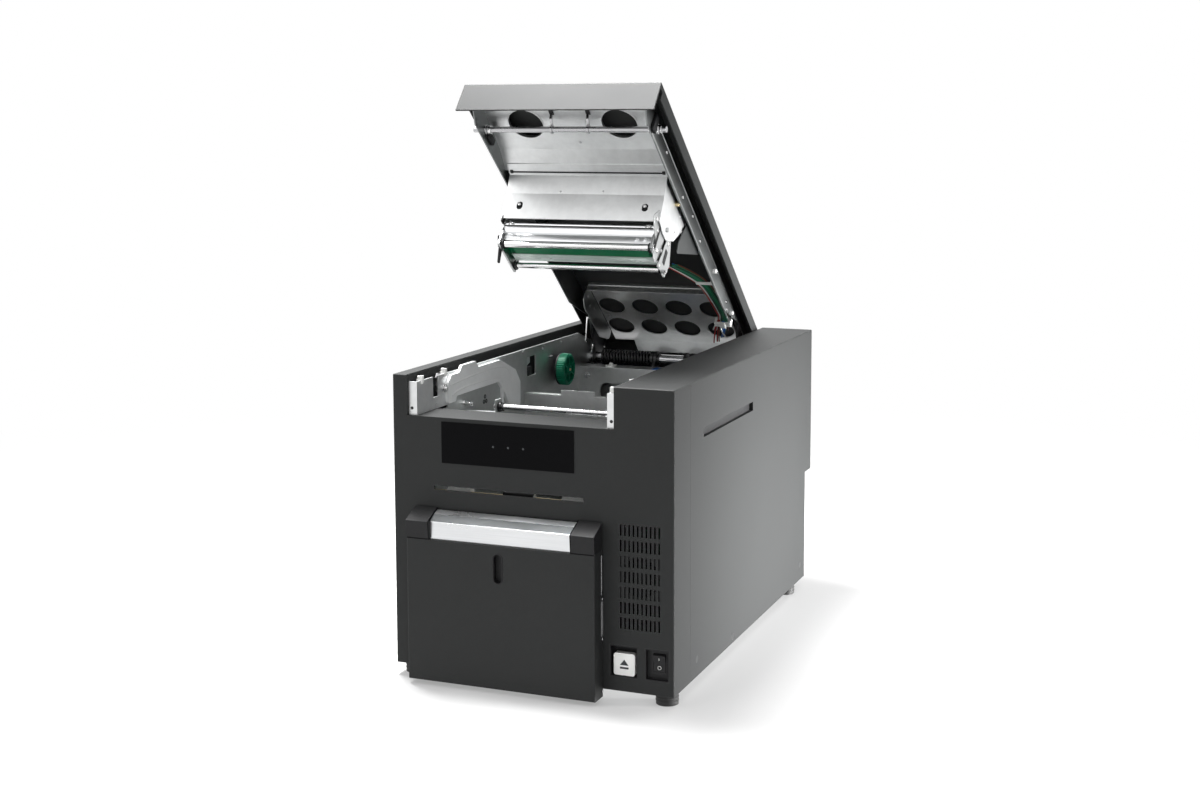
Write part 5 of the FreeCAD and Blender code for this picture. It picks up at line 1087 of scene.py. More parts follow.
@dataclass
class FastenerPlan:
    """Every row of fasteners."""

    rows: tuple[Fasteners, ...] = (
        Fasteners("left_frame_rivets", "left_frame_plate", Axis.X, 1.0, 2.3,
                  ((23.7, 242.1, 268.0), (23.7, 294.5, 265.7), (23.7, 345.7, 266.5)), kind=Head.RIVET),
        Fasteners("left_frame_stud", "left_frame_plate", Axis.X, 1.0, 1.5, ((23.7, 310.7, 254.8),),
                  kind=Head.POST, tall=3.0),
        Fasteners("right_frame_rivets", "right_frame_plate", Axis.X, -1.0, 2.3,
                  ((214.9, 242.1, 266.0), (214.9, 294.5, 264.0), (214.9, 345.7, 266.0)), kind=Head.RIVET),
        Fasteners("front_leg_screws", "left_catch_bracket", Axis.Y, -1.0, 1.5, ((18.4, 3.5, 245.6),),
                  Coat.BLACK_STEEL, Head.RIVET),
        Fasteners("front_leg_screw_right", "right_catch_bracket", Axis.Y, -1.0, 1.5, ((219.0, 3.5, 245.6),),
                  Coat.BLACK_STEEL, Head.RIVET),
        Fasteners("rear_box_screws", "rear_cross_box", Axis.Y, -1.0, 2.6,
                  ((34.0, 395.0, 222.0), (34.0, 395.0, 166.0), (205.0, 395.0, 222.0), (205.0, 395.0, 166.0))),
        Fasteners("front_cross_screws", "front_cross_plate", Axis.Y, -1.0, 2.4,
                  ((30.0, 245.0, 208.0), (208.0, 245.0, 208.0))),
        Fasteners("rear_panel_screws", "rear_panel", Axis.Y, 1.0, 3.2,
                  ((14.0, 440.0, 14.0), (266.0, 440.0, 14.0), (14.0, 440.0, 108.0), (266.0, 440.0, 108.0),
                   (14.0, 462.8, 134.0), (266.0, 462.8, 134.0), (14.0, 462.8, 225.0), (266.0, 462.8, 225.0)),
                  Coat.BLACK_STEEL),
        Fasteners("base_screws", "base_pan", Axis.Z, -1.0, 2.8,
                  ((40.0, 40.0, 0.0), (240.0, 40.0, 0.0), (40.0, 380.0, 0.0), (240.0, 380.0, 0.0),
                   (140.0, 210.0, 0.0)), Coat.BLACK_STEEL),
        Fasteners("board_screws", "main_board", Axis.X, -1.0, 2.4,
                  ((222.4, 124.0, 66.0), (222.4, 312.0, 66.0), (222.4, 124.0, 194.0), (222.4, 312.0, 194.0))),
        Fasteners("motor_screws", "left_frame_plate", Axis.X, -1.0, 1.9,
                  ((22.2, 189.5, 54.5), (22.2, 220.5, 54.5), (22.2, 189.5, 85.5), (22.2, 220.5, 85.5))),
        Fasteners("supply_screws", "power_supply", Axis.Z, 1.0, 2.0,
                  ((101.0, 268.0, 46.0), (191.0, 268.0, 46.0), (101.0, 426.0, 46.0), (191.0, 426.0, 46.0))),
        Fasteners("beam_rivet", "lid_crossmember", Axis.Z, -1.0, 1.7, (under(120.2, 70.4, 16.5),),
                  kind=Head.RIVET),
        Fasteners("right_rail_rivets", "lid_side_plates", Axis.X, 1.0, 2.1,
                  (under(209.2, 80.8, 18.9), under(209.2, 146.8, 23.0), under(209.2, 184.0, 18.6),
                   under(209.2, 218.7, 24.6), under(209.2, 333.6, 22.1), under(209.2, 341.0, 27.0)),
                  Coat.CHROME, Head.RIVET),
        Fasteners("right_rail_posts", "lid_side_plates", Axis.X, 1.0, 2.6,
                  (under(209.2, 274.4, 23.0), under(209.2, 352.0, 24.0)), Coat.WHITE, Head.POST, 3.6),
        Fasteners("hanger_dimples", "head_bracket", Axis.Y, -1.0, 1.1,
                  (under(92.7, 118.0, 44.3), under(138.7, 118.0, 43.5)), kind=Head.RIVET),
        Fasteners("wing_rivets", "head_bracket", Axis.X, 1.0, 1.7,
                  (under(204.2, 184.0, 30.0), under(204.2, 165.0, 34.0), under(204.2, 178.0, 44.0),
                   under(204.2, 160.0, 58.0)), Coat.CHROME, Head.RIVET),
        Fasteners("wing_bush", "head_bracket", Axis.X, 1.0, 3.0, (under(204.2, 146.0, 32.6),), Coat.BRASS,
                  Head.POST, 3.4),
        Fasteners("left_wing_rivets", "head_bracket", Axis.X, -1.0, 1.7,
                  (under(33.0, 184.0, 30.0), under(33.0, 160.0, 58.0)), Coat.CHROME, Head.RIVET),
        Fasteners("bar_screws", "head_bar", Axis.Y, -1.0, 2.4,
                  (under(45.0, 121.0, 79.0), under(192.5, 121.0, 79.0)), Coat.CHROME),
        Fasteners("cheek_screws_left", "head_side_plates", Axis.X, -1.0, 2.2,
                  (under(36.1, 127.0, 84.0), under(36.1, 150.0, 89.0)), Coat.CHROME),
        Fasteners("cheek_screws_right", "head_side_plates", Axis.X, 1.0, 2.2,
                  (under(201.1, 127.0, 84.0), under(201.1, 150.0, 89.0), under(201.1, 158.0, 76.0)),
                  Coat.CHROME),
        Fasteners("rear_plate_rivets", "lid_rear_plate", Axis.Z, -1.0, 1.5,
                  (under(48.0, 342.0, 4.0), under(190.0, 342.0, 4.0), under(48.0, 397.0, 4.0),
                   under(190.0, 442.0, 4.0)), kind=Head.RIVET),
        Fasteners("tray_screws", "drawer_tray", Axis.Z, 1.0, 2.2, ((60.0, 20.0, 30.0), (180.0, 20.0, 30.0)),
                  kind=Head.RIVET),
    )

    def build(self, workshop: Workshop) -> None:
        """Seats every row."""
        for row in self.rows:
            row.build(workshop)


@dataclass
class FrontFace:
    """The window's lamps, the lining of the card slot and the skin of the sleeve behind it."""

    lamps: Pairs = ((103.9, 215.3), (119.0, 215.3), (134.1, 215.3))
    lamp_radius: float = 1.0
    lamp_sunk: float = 0.3
    lamp_long: float = 0.42
    window_face: float = -0.7
    slot_x: Pair = (42.2, 193.1)
    slot_z: Pair = (170.6, 174.6)
    slot_ease: float = 0.1
    lining_y: Pair = (1.25, 2.6)
    lip: float = 1.6
    sleeve_x: Pair = (108.9, 139.6)
    sleeve_radii: Pair = (5.75, 5.3)
    exit: Pair = (12.5, 165.8)

    def build(self, workshop: Workshop) -> None:
        """Adds the pieces."""
        lamps = Form()
        for x, z in self.lamps:
            lamps.rod((x, self.window_face + self.lamp_sunk, z), Axis.Y, -self.lamp_long, self.lamp_radius,
                      chamfer=0.1, steps=20)
        workshop.add("window_lamps", lamps, Coat.LAMP)
        middle = (sum(self.slot_x) / 2, sum(self.slot_z) / 2)
        wide, tall = self.slot_x[1] - self.slot_x[0], self.slot_z[1] - self.slot_z[0]
        outer = rounded(middle, wide + 2 * self.lip, tall + 2 * self.lip, radius=1.5)
        inner = rounded(middle, wide + self.slot_ease, tall + self.slot_ease, radius=0.7)
        lining = Form().frame(outer, inner, Axis.Y, self.lining_y)
        workshop.add("card_slot_lining", lining, Coat.BLACK)
        start, end = self.sleeve_x
        sleeve = Form().ring((start, *self.exit), Axis.X, end - start, *self.sleeve_radii, steps=48)
        workshop.add("exit_sleeve_skin", sleeve, Coat.BLACK, "exit_roll")


@dataclass
class RecessShade:
    """A dark sheet on the floor of the grip recess in the right cover, and its twin at the left, as painted
    shade of the recess.
    """

    span_y: Pair = (82.2, 236.3)
    span_z: Pair = (222.5, 230.2)
    floors: Pairs = ((275.9, 276.3), (3.7, 4.1))

    def build(self, workshop: Workshop) -> None:
        """Adds the piece."""
        recess_shade = Form()
        for low, high in self.floors:
            recess_shade.block((low, self.span_y[0], self.span_z[0]), (high, self.span_y[1], self.span_z[1]),
                        bevel=0.12, segments=1)
        workshop.add("recess_liners", recess_shade, Coat.BLACK)


@dataclass
class DrawerTrim:
    """The finger slot's rim and the painted shade at its back, the strip and pins on the drawer's side, and
    the grip's band and the painted shadows in its gaps.
    """

    face: float = -20.0
    slot: Point = (116.5, 106.5, 27.0)
    slot_wide: float = 8.2
    slot_round: int = 10
    rim: float = 0.9
    sides: Pair = (23.2, 211.8)
    strip_y: Pair = (-4.2, -1.2)
    strip_z: Pair = (88.0, 124.6)
    pins: Point = (84.3, 47.3, -1.5)
    pin_y: float = -2.6
    window: Pairs = ((-4.3, 49.8), (-1.0, 49.8), (-1.0, 82.0), (-4.3, 82.0))
    window_gap: Pairs = ((-3.9, 50.3), (-1.4, 50.3), (-1.4, 81.5), (-3.9, 81.5))
    grip_top: float = 128.2
    grip_side: Pairs = ((-20.2, 128.4), (-21.85, 144.9), (-1.6, 154.25), (-1.6, 128.4))
    grip_bevel: tuple[Pair, Pair] = ((-17.5, 144.2), (-9.5, 149.6))

    def build(self, workshop: Workshop) -> None:
        """Adds the pieces."""
        x, z, tall = self.slot
        outer = rounded((x, z), self.slot_wide + 2 * self.rim, tall + 2 * self.rim,
                        self.slot_wide / 2 + self.rim, self.slot_round)
        inner = rounded((x, z), self.slot_wide - 0.2, tall - 0.2, self.slot_wide / 2 - 0.1, self.slot_round)
        rim = Form().frame(outer, inner, Axis.Y, (self.face - 0.45, self.face + 6.0), bevel=0.25)
        workshop.add("finger_slot_rim", rim, Coat.BLACK, "drawer")
        foot = self.sides[1] - 0.2
        strip = Form().block((foot, self.strip_y[0], self.strip_z[0]),
                             (self.sides[1] + 0.5, self.strip_y[1], self.strip_z[1]), bevel=0.2)
        for height in self.pins:
            strip.rod((foot, self.pin_y, height), Axis.X, long=1.4, radius=1.4, steps=20)
        strip.frame(self.window, self.window_gap, Axis.X, (foot, self.sides[1] + 0.4), bevel=0.1)
        workshop.add("drawer_side_strip", strip, Coat.TURNED, "drawer")
        dark = Form().plate(self.window_gap, Axis.X, (foot, self.sides[1] + 0.15), bevel=0.05)
        # The black sheet at the back of the finger slot is painted shade of the slot.
        back = rounded((x, z), self.slot_wide, tall, self.slot_wide / 2 - 0.1, self.slot_round)
        dark.plate(back, Axis.Y, (self.face + 5.2, self.face + 6.2), bevel=0.1)
        workshop.add("drawer_dark_gaps", dark, Coat.BLACK, "drawer")
        self._grip(workshop)

    def _grip(self, workshop: Workshop) -> None:
        """Adds the band on the grip's slanted face, and black strips painted as the shadows in the gaps at
        its ends and in the seams beside it.
        """
        low, high = (MACHINE.across(corner.x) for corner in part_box("drawer_handle"))
        gaps = Form()
        for outer, inner, way in ((self.sides[0], low, -1.0), (self.sides[1], high, 1.0)):
            span = tuple(sorted((inner - way * 0.2, inner + way * 0.7)))
            gaps.plate(self.grip_side, Axis.X, span, bevel=0.05)
            start, end = sorted((outer - way * 0.4, inner))
            gaps.block((start, self.face - 0.25, self.grip_top - 0.45),
                       (end, self.face + 0.5, self.grip_top + 0.35), bevel=0.1, segments=1)
        workshop.add("grip_gaps", gaps, Coat.LENS, "drawer")
        start, end = (Vector(place) for place in self.grip_bevel)
        run = (end - start).normalized()
        lift = Vector((-run.y, run.x))
        first, last = start + run * 0.6, end - run * 0.2
        sunk, proud = -0.2, 0.22
        corners = ((first, sunk), (last, sunk), (last, proud), (first, proud))
        outline = [tuple(place + lift * up) for place, up in corners]
        band = Form().plate(outline, Axis.X, (low + 0.5, high - 0.5), bevel=0.06)
        workshop.add("grip_band", band, Coat.GRIP_BAND, "drawer")


@dataclass
class Controls:
    """The marks on the button and on the rocker."""

    button: Pair = (231.9, 24.6)
    rocker_x: float = 265.45
    rocker_z: Pair = (25.0, 34.0)
    mark_deep: float = 0.12
    arrow: Pairs = ((-4.2, -0.8), (4.2, -0.8), (0.0, 4.4))
    bar: Pairs = ((-4.2, -4.2), (4.2, -4.2), (4.2, -2.4), (-4.2, -2.4))

    def build(self, workshop: Workshop) -> None:
        """Adds the pieces."""
        x, z = self.button
        face = workshop.seat("push_button", (x, 0.0, z), Axis.Y, -1.0)[1]
        sign = Form()
        for drawn in (self.arrow, self.bar):
            sign.plate([(x + across, z + up) for across, up in drawn], Axis.Y,
                       (face + 0.15, face - self.mark_deep), corner=0.25, bevel=0.03)
        workshop.add("open_symbol", sign, Coat.PRINT, "button")
        lower, upper = (workshop.seat("power_rocker", (self.rocker_x, 0.0, height), Axis.Y, -1.0)
                        for height in self.rocker_z)
        marks = Form().ring((lower[0], lower[1] - self.mark_deep, lower[2]), Axis.Y,
                            wide=0.8, outer=1.8, inner=1.35, steps=28)
        marks.block((upper[0] - 0.25, upper[1] - self.mark_deep, upper[2] - 1.7),
                    (upper[0] + 0.25, upper[1] + 0.8, upper[2] + 1.7), bevel=0.04, segments=1)
        workshop.add("rocker_marks", marks, Coat.WHITE, "rocker")


@dataclass
class Feet:
    """Ribs and screws of the rubber feet."""

    places: Pairs = ((12.5, 17.0), (267.5, 17.0), (12.5, 405.0), (267.5, 405.0))
    radius: float = 10.3
    foot: float = -11.6
    ribs: Pair = (3.2, 6.4)
    screw_lift: float = 1.8

    def build(self, workshop: Workshop) -> None:
        """Adds the pieces."""
        ribs, screws = Form(), Form()
        for x, y in self.places:
            for lift in self.ribs:
                ribs.ring((x, y, self.foot + lift), Axis.Z, wide=1.2, outer=self.radius + 0.35,
                          inner=self.radius - 1.0, steps=40)
            screws.screw((x, y, self.foot + self.screw_lift), Axis.Z, -1.0, radius=2.6)
        workshop.add("foot_ribs", ribs, Coat.RUBBER)
        workshop.add("foot_screws", screws, Coat.TURNED)


@dataclass
class CatchParts:
    """Around the catch hooks: studs with rings (distance, width, radii), and guide clips."""

    stud: Pair = (59.0, 256.5)
    rings: tuple[Quad, ...] = ((3.6, 0.8, 4.6, 1.5), (4.8, 0.7, 3.6, 1.4))
    sides: tuple[tuple[str, float, float], ...] = (("left", 20.6, 1.0), ("right", 218.0, -1.0))
    clips: Pairs = ((14.3, 270.2), (62.2, 271.0))

    def build(self, workshop: Workshop) -> None:
        """Adds the pieces."""
        for name, x, way in self.sides:
            studs = Form()
            for away, wide, outer, inner in self.rings:
                studs.ring((x + way * away, *self.stud), Axis.X, way * wide, outer, inner)
            studs.rod((x + way * 2.0, *self.stud), Axis.X, way * 4.6, radius=1.9, chamfer=0.5, steps=24)
            workshop.add(f"{name}_catch_stud", studs, Coat.CHROME)
            clips = Form()
            for y, z in self.clips:
                clips.block((x - 2.0, y - 2.4, z - 1.4), (x + 2.0, y + 2.4, z + 1.2), bevel=0.7, segments=3)
                clips.rod((x, y, z + 0.8), Axis.Z, long=3.6, radius=1.8, chamfer=0.5, steps=24)
            workshop.add(f"{name}_guide_clips", clips, Coat.WHITE)


@dataclass
class GuardDetail:
    """The two moulded ridges of the milky ribbon guard."""

    face: float = 26.7
    sunk: float = 1.5
    proud: float = 0.4
    ridge: Pairs = ((70.0, 247.5), (78.0, 252.5), (172.0, 252.5), (184.0, 246.0), (186.0, 232.0),
                    (186.0, 219.0))
    crest: Pairs = ((66.0, 258.5), (120.0, 262.0), (190.0, 262.0), (203.0, 252.0), (206.0, 236.0),
                    (206.0, 220.0))

    def build(self, workshop: Workshop) -> None:
        """Adds the piece."""
        paths = [[(self.face - self.sunk, y, z) for y, z in line] for line in (self.ridge, self.crest)]
        workshop.wires("guard_ridges", paths, self.sunk + self.proud, Coat.GUARD, "chassis")


@dataclass
class LeftPlateTrim:
    """The ribbon pin, eyelets, sensor and its bright tab on the inner left plate."""

    face: float = 23.7
    pin: Pair = (99.0, 235.6)
    pin_profile: Pairs = (
        (-0.2, 0.0), (-0.2, 3.4), (2.2, 3.4), (2.4, 2.2), (7.5, 2.2), (7.7, 1.5), (8.5, 1.5), (8.7, 2.2),
        (10.6, 2.2), (11.0, 1.8), (11.0, 0.0))
    holes: Pairs = ((146.0, 229.6), (151.4, 229.6), (148.6, 234.6))
    tab: Pairs = ((258.5, 250.5), (267.0, 253.5), (267.0, 262.0), (258.5, 262.0))
    tab_x: Pair = (19.4, 20.4)
    sensor: tuple[Point, Point] = ((19.0, 252.5, 240.5), (23.0, 266.0, 250.0))

    def build(self, workshop: Workshop) -> None:
        """Adds the pieces."""
        pin = Form().turned((self.face, *self.pin), Axis.X, self.pin_profile, steps=28)
        workshop.add("ribbon_pin", pin, Coat.CHROME)
        eyes = Form()
        for place in self.holes:
            eyes.ring((self.face - 0.3, *place), Axis.X, wide=0.7, outer=2.3, inner=0.9, steps=24)
        workshop.add("plate_eyelets", eyes, Coat.BLACK_STEEL)
        workshop.add("sensor_tab", Form().plate(self.tab, Axis.X, self.tab_x, corner=0.8), Coat.ALUMINIUM)
        workshop.add("ribbon_sensor", Form().block(*self.sensor, bevel=0.6), Coat.BLACK)


@dataclass
class GuideRodTrim:
    """The guide rod's collars, each given as place, width and outer radius."""

    rod: Pair = (104.0, 233.4)
    bore: float = 2.7
    collars: tuple[Point, ...] = ((60.9, 3.0, 4.6), (65.0, 0.8, 4.2), (211.0, 0.8, 4.4))

    def build(self, workshop: Workshop) -> None:
        """Adds the piece."""
        collars = Form()
        for x, wide, radius in self.collars:
            collars.ring((x, *self.rod), Axis.X, wide, radius, self.bore)
        workshop.add("guide_rod_collars", collars, Coat.BLACK_STEEL)


@dataclass
class HingeLine:
    """The hinge shaft's dark collars (place, width, radius), end clips and bright sleeve."""

    collars: tuple[Point, ...] = ((99.0, 4.4, 8.6), (108.4, 1.0, 7.0), (146.0, 6.0, 8.4), (200.0, 4.0, 8.2))
    collar_bore: float = 4.8
    clips: Pair = (25.0, 213.0)
    sleeve_x: Pair = (150.0, 197.0)
    sleeve_radii: Pair = (5.7, 4.9)

    def build(self, workshop: Workshop) -> None:
        """Adds the pieces."""
        line = (MACHINE.hinge_y, MACHINE.hinge_z)
        dark, bright = Form(), Form()
        for x, wide, radius in self.collars:
            dark.ring((x, *line), Axis.X, wide, radius, self.collar_bore)
        for x in self.clips:
            bright.ring((x, *line), Axis.X, wide=1.0, outer=7.2, inner=4.7)
        workshop.add("hinge_collars", dark, Coat.BLACK_STEEL)
        workshop.add("hinge_clips", bright, Coat.CHROME)
        start, end = self.sleeve_x
        sleeve = Form().ring((start, *line), Axis.X, end - start, *self.sleeve_radii, steps=40)
        workshop.add("hinge_sleeve", sleeve, Coat.CHROME)


@dataclass
class RearCrossTrim:
    """The tape and the cable saddles (half sizes, foot, head, bevel) on the rear cross box."""

    top: float = 232.4
    tape_x: Pair = (112.0, 140.0)
    tape_y: Pair = (396.5, 412.0)
    saddles: Pairs = ((60.0, 405.0), (172.0, 405.0))
    tiers: tuple[tuple[float, ...], ...] = ((5.0, 6.0, -0.2, 1.6, 0.6), (2.0, 2.0, 1.0, 4.2, 0.8))

    def build(self, workshop: Workshop) -> None:
        """Adds the pieces."""
        tape = Form().block((self.tape_x[0], self.tape_y[0], self.top - 0.2),
                            (self.tape_x[1], self.tape_y[1], self.top + 0.5), bevel=0.2)
        workshop.add("blue_tape", tape, Coat.BLUE_WIRE)
        saddle = Form()
        for x, y in self.saddles:
            for half, reach, foot, head, bevel in self.tiers:
                saddle.block((x - half, y - reach, self.top + foot), (x + half, y + reach, self.top + head),
                             bevel)
        workshop.add("cable_saddles", saddle, Coat.WHITE)


@dataclass
class LatchShaftTrim:
    """Straps, collars (place, width, radius) and end fittings of the cover's latch shaft."""

    y: float = 42.5
    drop: float = 22.5
    straps: Pair = (99.6, 138.2)
    strap_wide: float = 2.6
    strap_sheet: Pairs = ((30.5, 10.6), (32.5, 10.8), (34.6, 15.5), (40.6, 18.6), (39.4, 20.0),
                          (33.2, 16.9))
    slot: tuple[Pair, Pair] = ((24.5, 11.3), (33.5, 10.4))
    slot_middle: Pair = (29.0, 10.9)
    slope: float = -7.7
    bore: float = 2.7
    collars: tuple[Point, ...] = ((24.6, 3.0, 4.3), (29.9, 1.0, 4.9), (32.4, 3.4, 4.4), (203.0, 3.6, 4.4),
                                  (209.6, 3.4, 4.6), (214.6, 1.0, 4.0))
    fittings: tuple[Brick, ...] = (
        ((29.3, 47.0, 27.5), (32.6, 62.0, 20.5), 0.8), ((204.6, 47.0, 27.5), (207.9, 62.0, 20.5), 0.8),
        ((209.3, 30.0, 31.0), (212.4, 39.0, 12.0), 0.8))

    def build(self, workshop: Workshop) -> None:
        """Adds the pieces."""
        straps, slots, rings = Form(), Form(), Form()
        for x in self.straps:
            straps.ring(under(x, self.y, self.drop), Axis.X, self.strap_wide, outer=4.3, inner=2.9)
            straps.plate(beneath(self.strap_sheet), Axis.X, (x, x + self.strap_wide), corner=0.4)
            front, rear = self.slot
            slots.block(under(x - 1.0, *front), under(x + self.strap_wide + 1.0, *rear), bevel=0.3)
        slots.lean(under(0.0, *self.slot_middle), Axis.X, self.slope)
        workshop.add("shaft_straps", straps, Coat.TURNED, "cover")
        workshop.add("strap_slots", slots, Coat.BLACK, "cover")
        for x, wide, radius in self.collars:
            rings.ring(under(x, self.y, self.drop), Axis.X, wide, radius, self.bore)
        workshop.add("latch_shaft_collars", rings, Coat.CHROME, "cover")
        workshop.add("latch_shaft_blocks", bricks(self.fittings), Coat.BLACK, "cover")


@dataclass
class BeamTrim:
    """The folded lips around the beam's round holes, and a black strip painted as the shadow in the seam
    behind it.
    """

    holes: Pair = (68.8, 168.4)
    y: float = 46.2
    radius: float = 18.5
    slope: float = -7.66
    front: Pair = (9.0, 7.2)
    fall: float = 0.1346
    seam: tuple[Brick, ...] = (
        ((34.6, 104.4, 26.8), (202.8, 105.8, 25.2), 0.3), ((34.8, 102.9, 27.2), (38.0, 106.6, 24.6), 0.5),
        ((199.4, 102.9, 27.2), (202.6, 106.6, 24.6), 0.5))

    def build(self, workshop: Workshop) -> None:
        """Adds the pieces."""
        lips = Form()
        drop = self.front[1] + (self.y - self.front[0]) * self.fall
        for x in self.holes:
            one = Form().ring(under(x, self.y, drop + 0.6), Axis.Z, wide=3.4, outer=self.radius + 0.7,
                              inner=self.radius - 0.3, steps=64)
            one.lean(under(x, self.y, drop), Axis.X, self.slope)
            lips.join(one)
        workshop.add("beam_hole_lips", lips, Coat.ZINC, "cover")
        workshop.add("seam_strip", bricks(self.seam), Coat.BLACK, "cover")


@dataclass
class RailTrim:
    """The rail's rolled edges (sink, depth, length, radius), the head's brace and the stay links."""

    rail: float = 209.2
    lips: tuple[Quad, ...] = ((0.15, 14.2, 392.0, 0.9), (0.05, 32.2, 322.0, 0.8))
    lips_start: float = 36.0
    brace: Pairs = ((183.9, 18.7), (210.0, 7.0), (236.0, 12.9), (231.0, 33.5), (175.3, 72.7),
                    (172.0, 62.0))
    brace_x: Pair = (205.4, 206.6)
    stays: tuple[tuple[Pair, Pair], ...] = (((383.0, 18.4), (395.4, 41.0)), ((415.0, 13.7), (418.8, 41.0)))
    stay_half: float = 2.2
    stay_x: Pair = (29.3, 30.6)

    def build(self, workshop: Workshop) -> None:
        """Adds the pieces."""
        lips = Form()
        for sink, drop, long, radius in self.lips:
            lips.rod(under(self.rail - sink, self.lips_start, drop), Axis.Y, long, radius, steps=12)
        workshop.add("rail_lips", lips, Coat.WING, "cover")
        brace = Form().plate(beneath(self.brace), Axis.X, self.brace_x, corner=3.0, bevel=0.2, segments=4)
        # The brace takes sheet metal darkened as painted shadow.
        workshop.add("head_brace", brace, Coat.DARK_STEEL, "cover")
        links = Form()
        for ends in self.stays:
            start, end = beneath(ends)
            links.plate(self._strip(start, end), Axis.X, self.stay_x, corner=1.8, bevel=0.2, segments=4)
            links.rod((self.stay_x[0], *start), Axis.X, long=2.6, radius=1.6)
        workshop.add("stay_links", links, Coat.CHROME, "cover")

    def _strip(self, start: Pair, end: Pair) -> list[Pair]:
        """The outline of a link between two places."""
        run = (Vector(end) - Vector(start)).normalized()
        side = Vector((-run.y, run.x)) * self.stay_half
        first, last = Vector(start) - run * self.stay_half, Vector(end) + run * self.stay_half
        return [tuple(first - side), tuple(last - side), tuple(last + side), tuple(first + side)]


@dataclass
class RearPlateTrim:
    """The left flange and the bright front edge of the holed plate at the cover's rear."""

    flange: Pairs = ((336.0, 4.6), (336.0, 24.0), (346.0, 30.0), (404.0, 30.0), (430.0, 16.0),
                     (430.0, 4.6))
    flange_x: Pair = (40.4, 41.6)
    studs: Pairs = ((345.0, 14.0), (357.0, 19.0), (369.0, 14.0))
    edge: Brick = ((42.0, 335.0, 4.9), (203.0, 336.4, 3.9), 0.2)

    def build(self, workshop: Workshop) -> None:
        """Adds the pieces."""
        sheet = Form().plate(beneath(self.flange), Axis.X, self.flange_x, corner=2.0, bevel=0.2, segments=4)
        for y, drop in self.studs:
            sheet.rod(under(self.flange_x[1] - 0.3, y, drop), Axis.X, long=1.0, radius=1.7, chamfer=0.4,
                      steps=20)
        workshop.add("rear_plate_flange", sheet, Coat.WING, "cover")
        workshop.add("rear_plate_edge", bricks([self.edge]), Coat.ZINC, "cover")


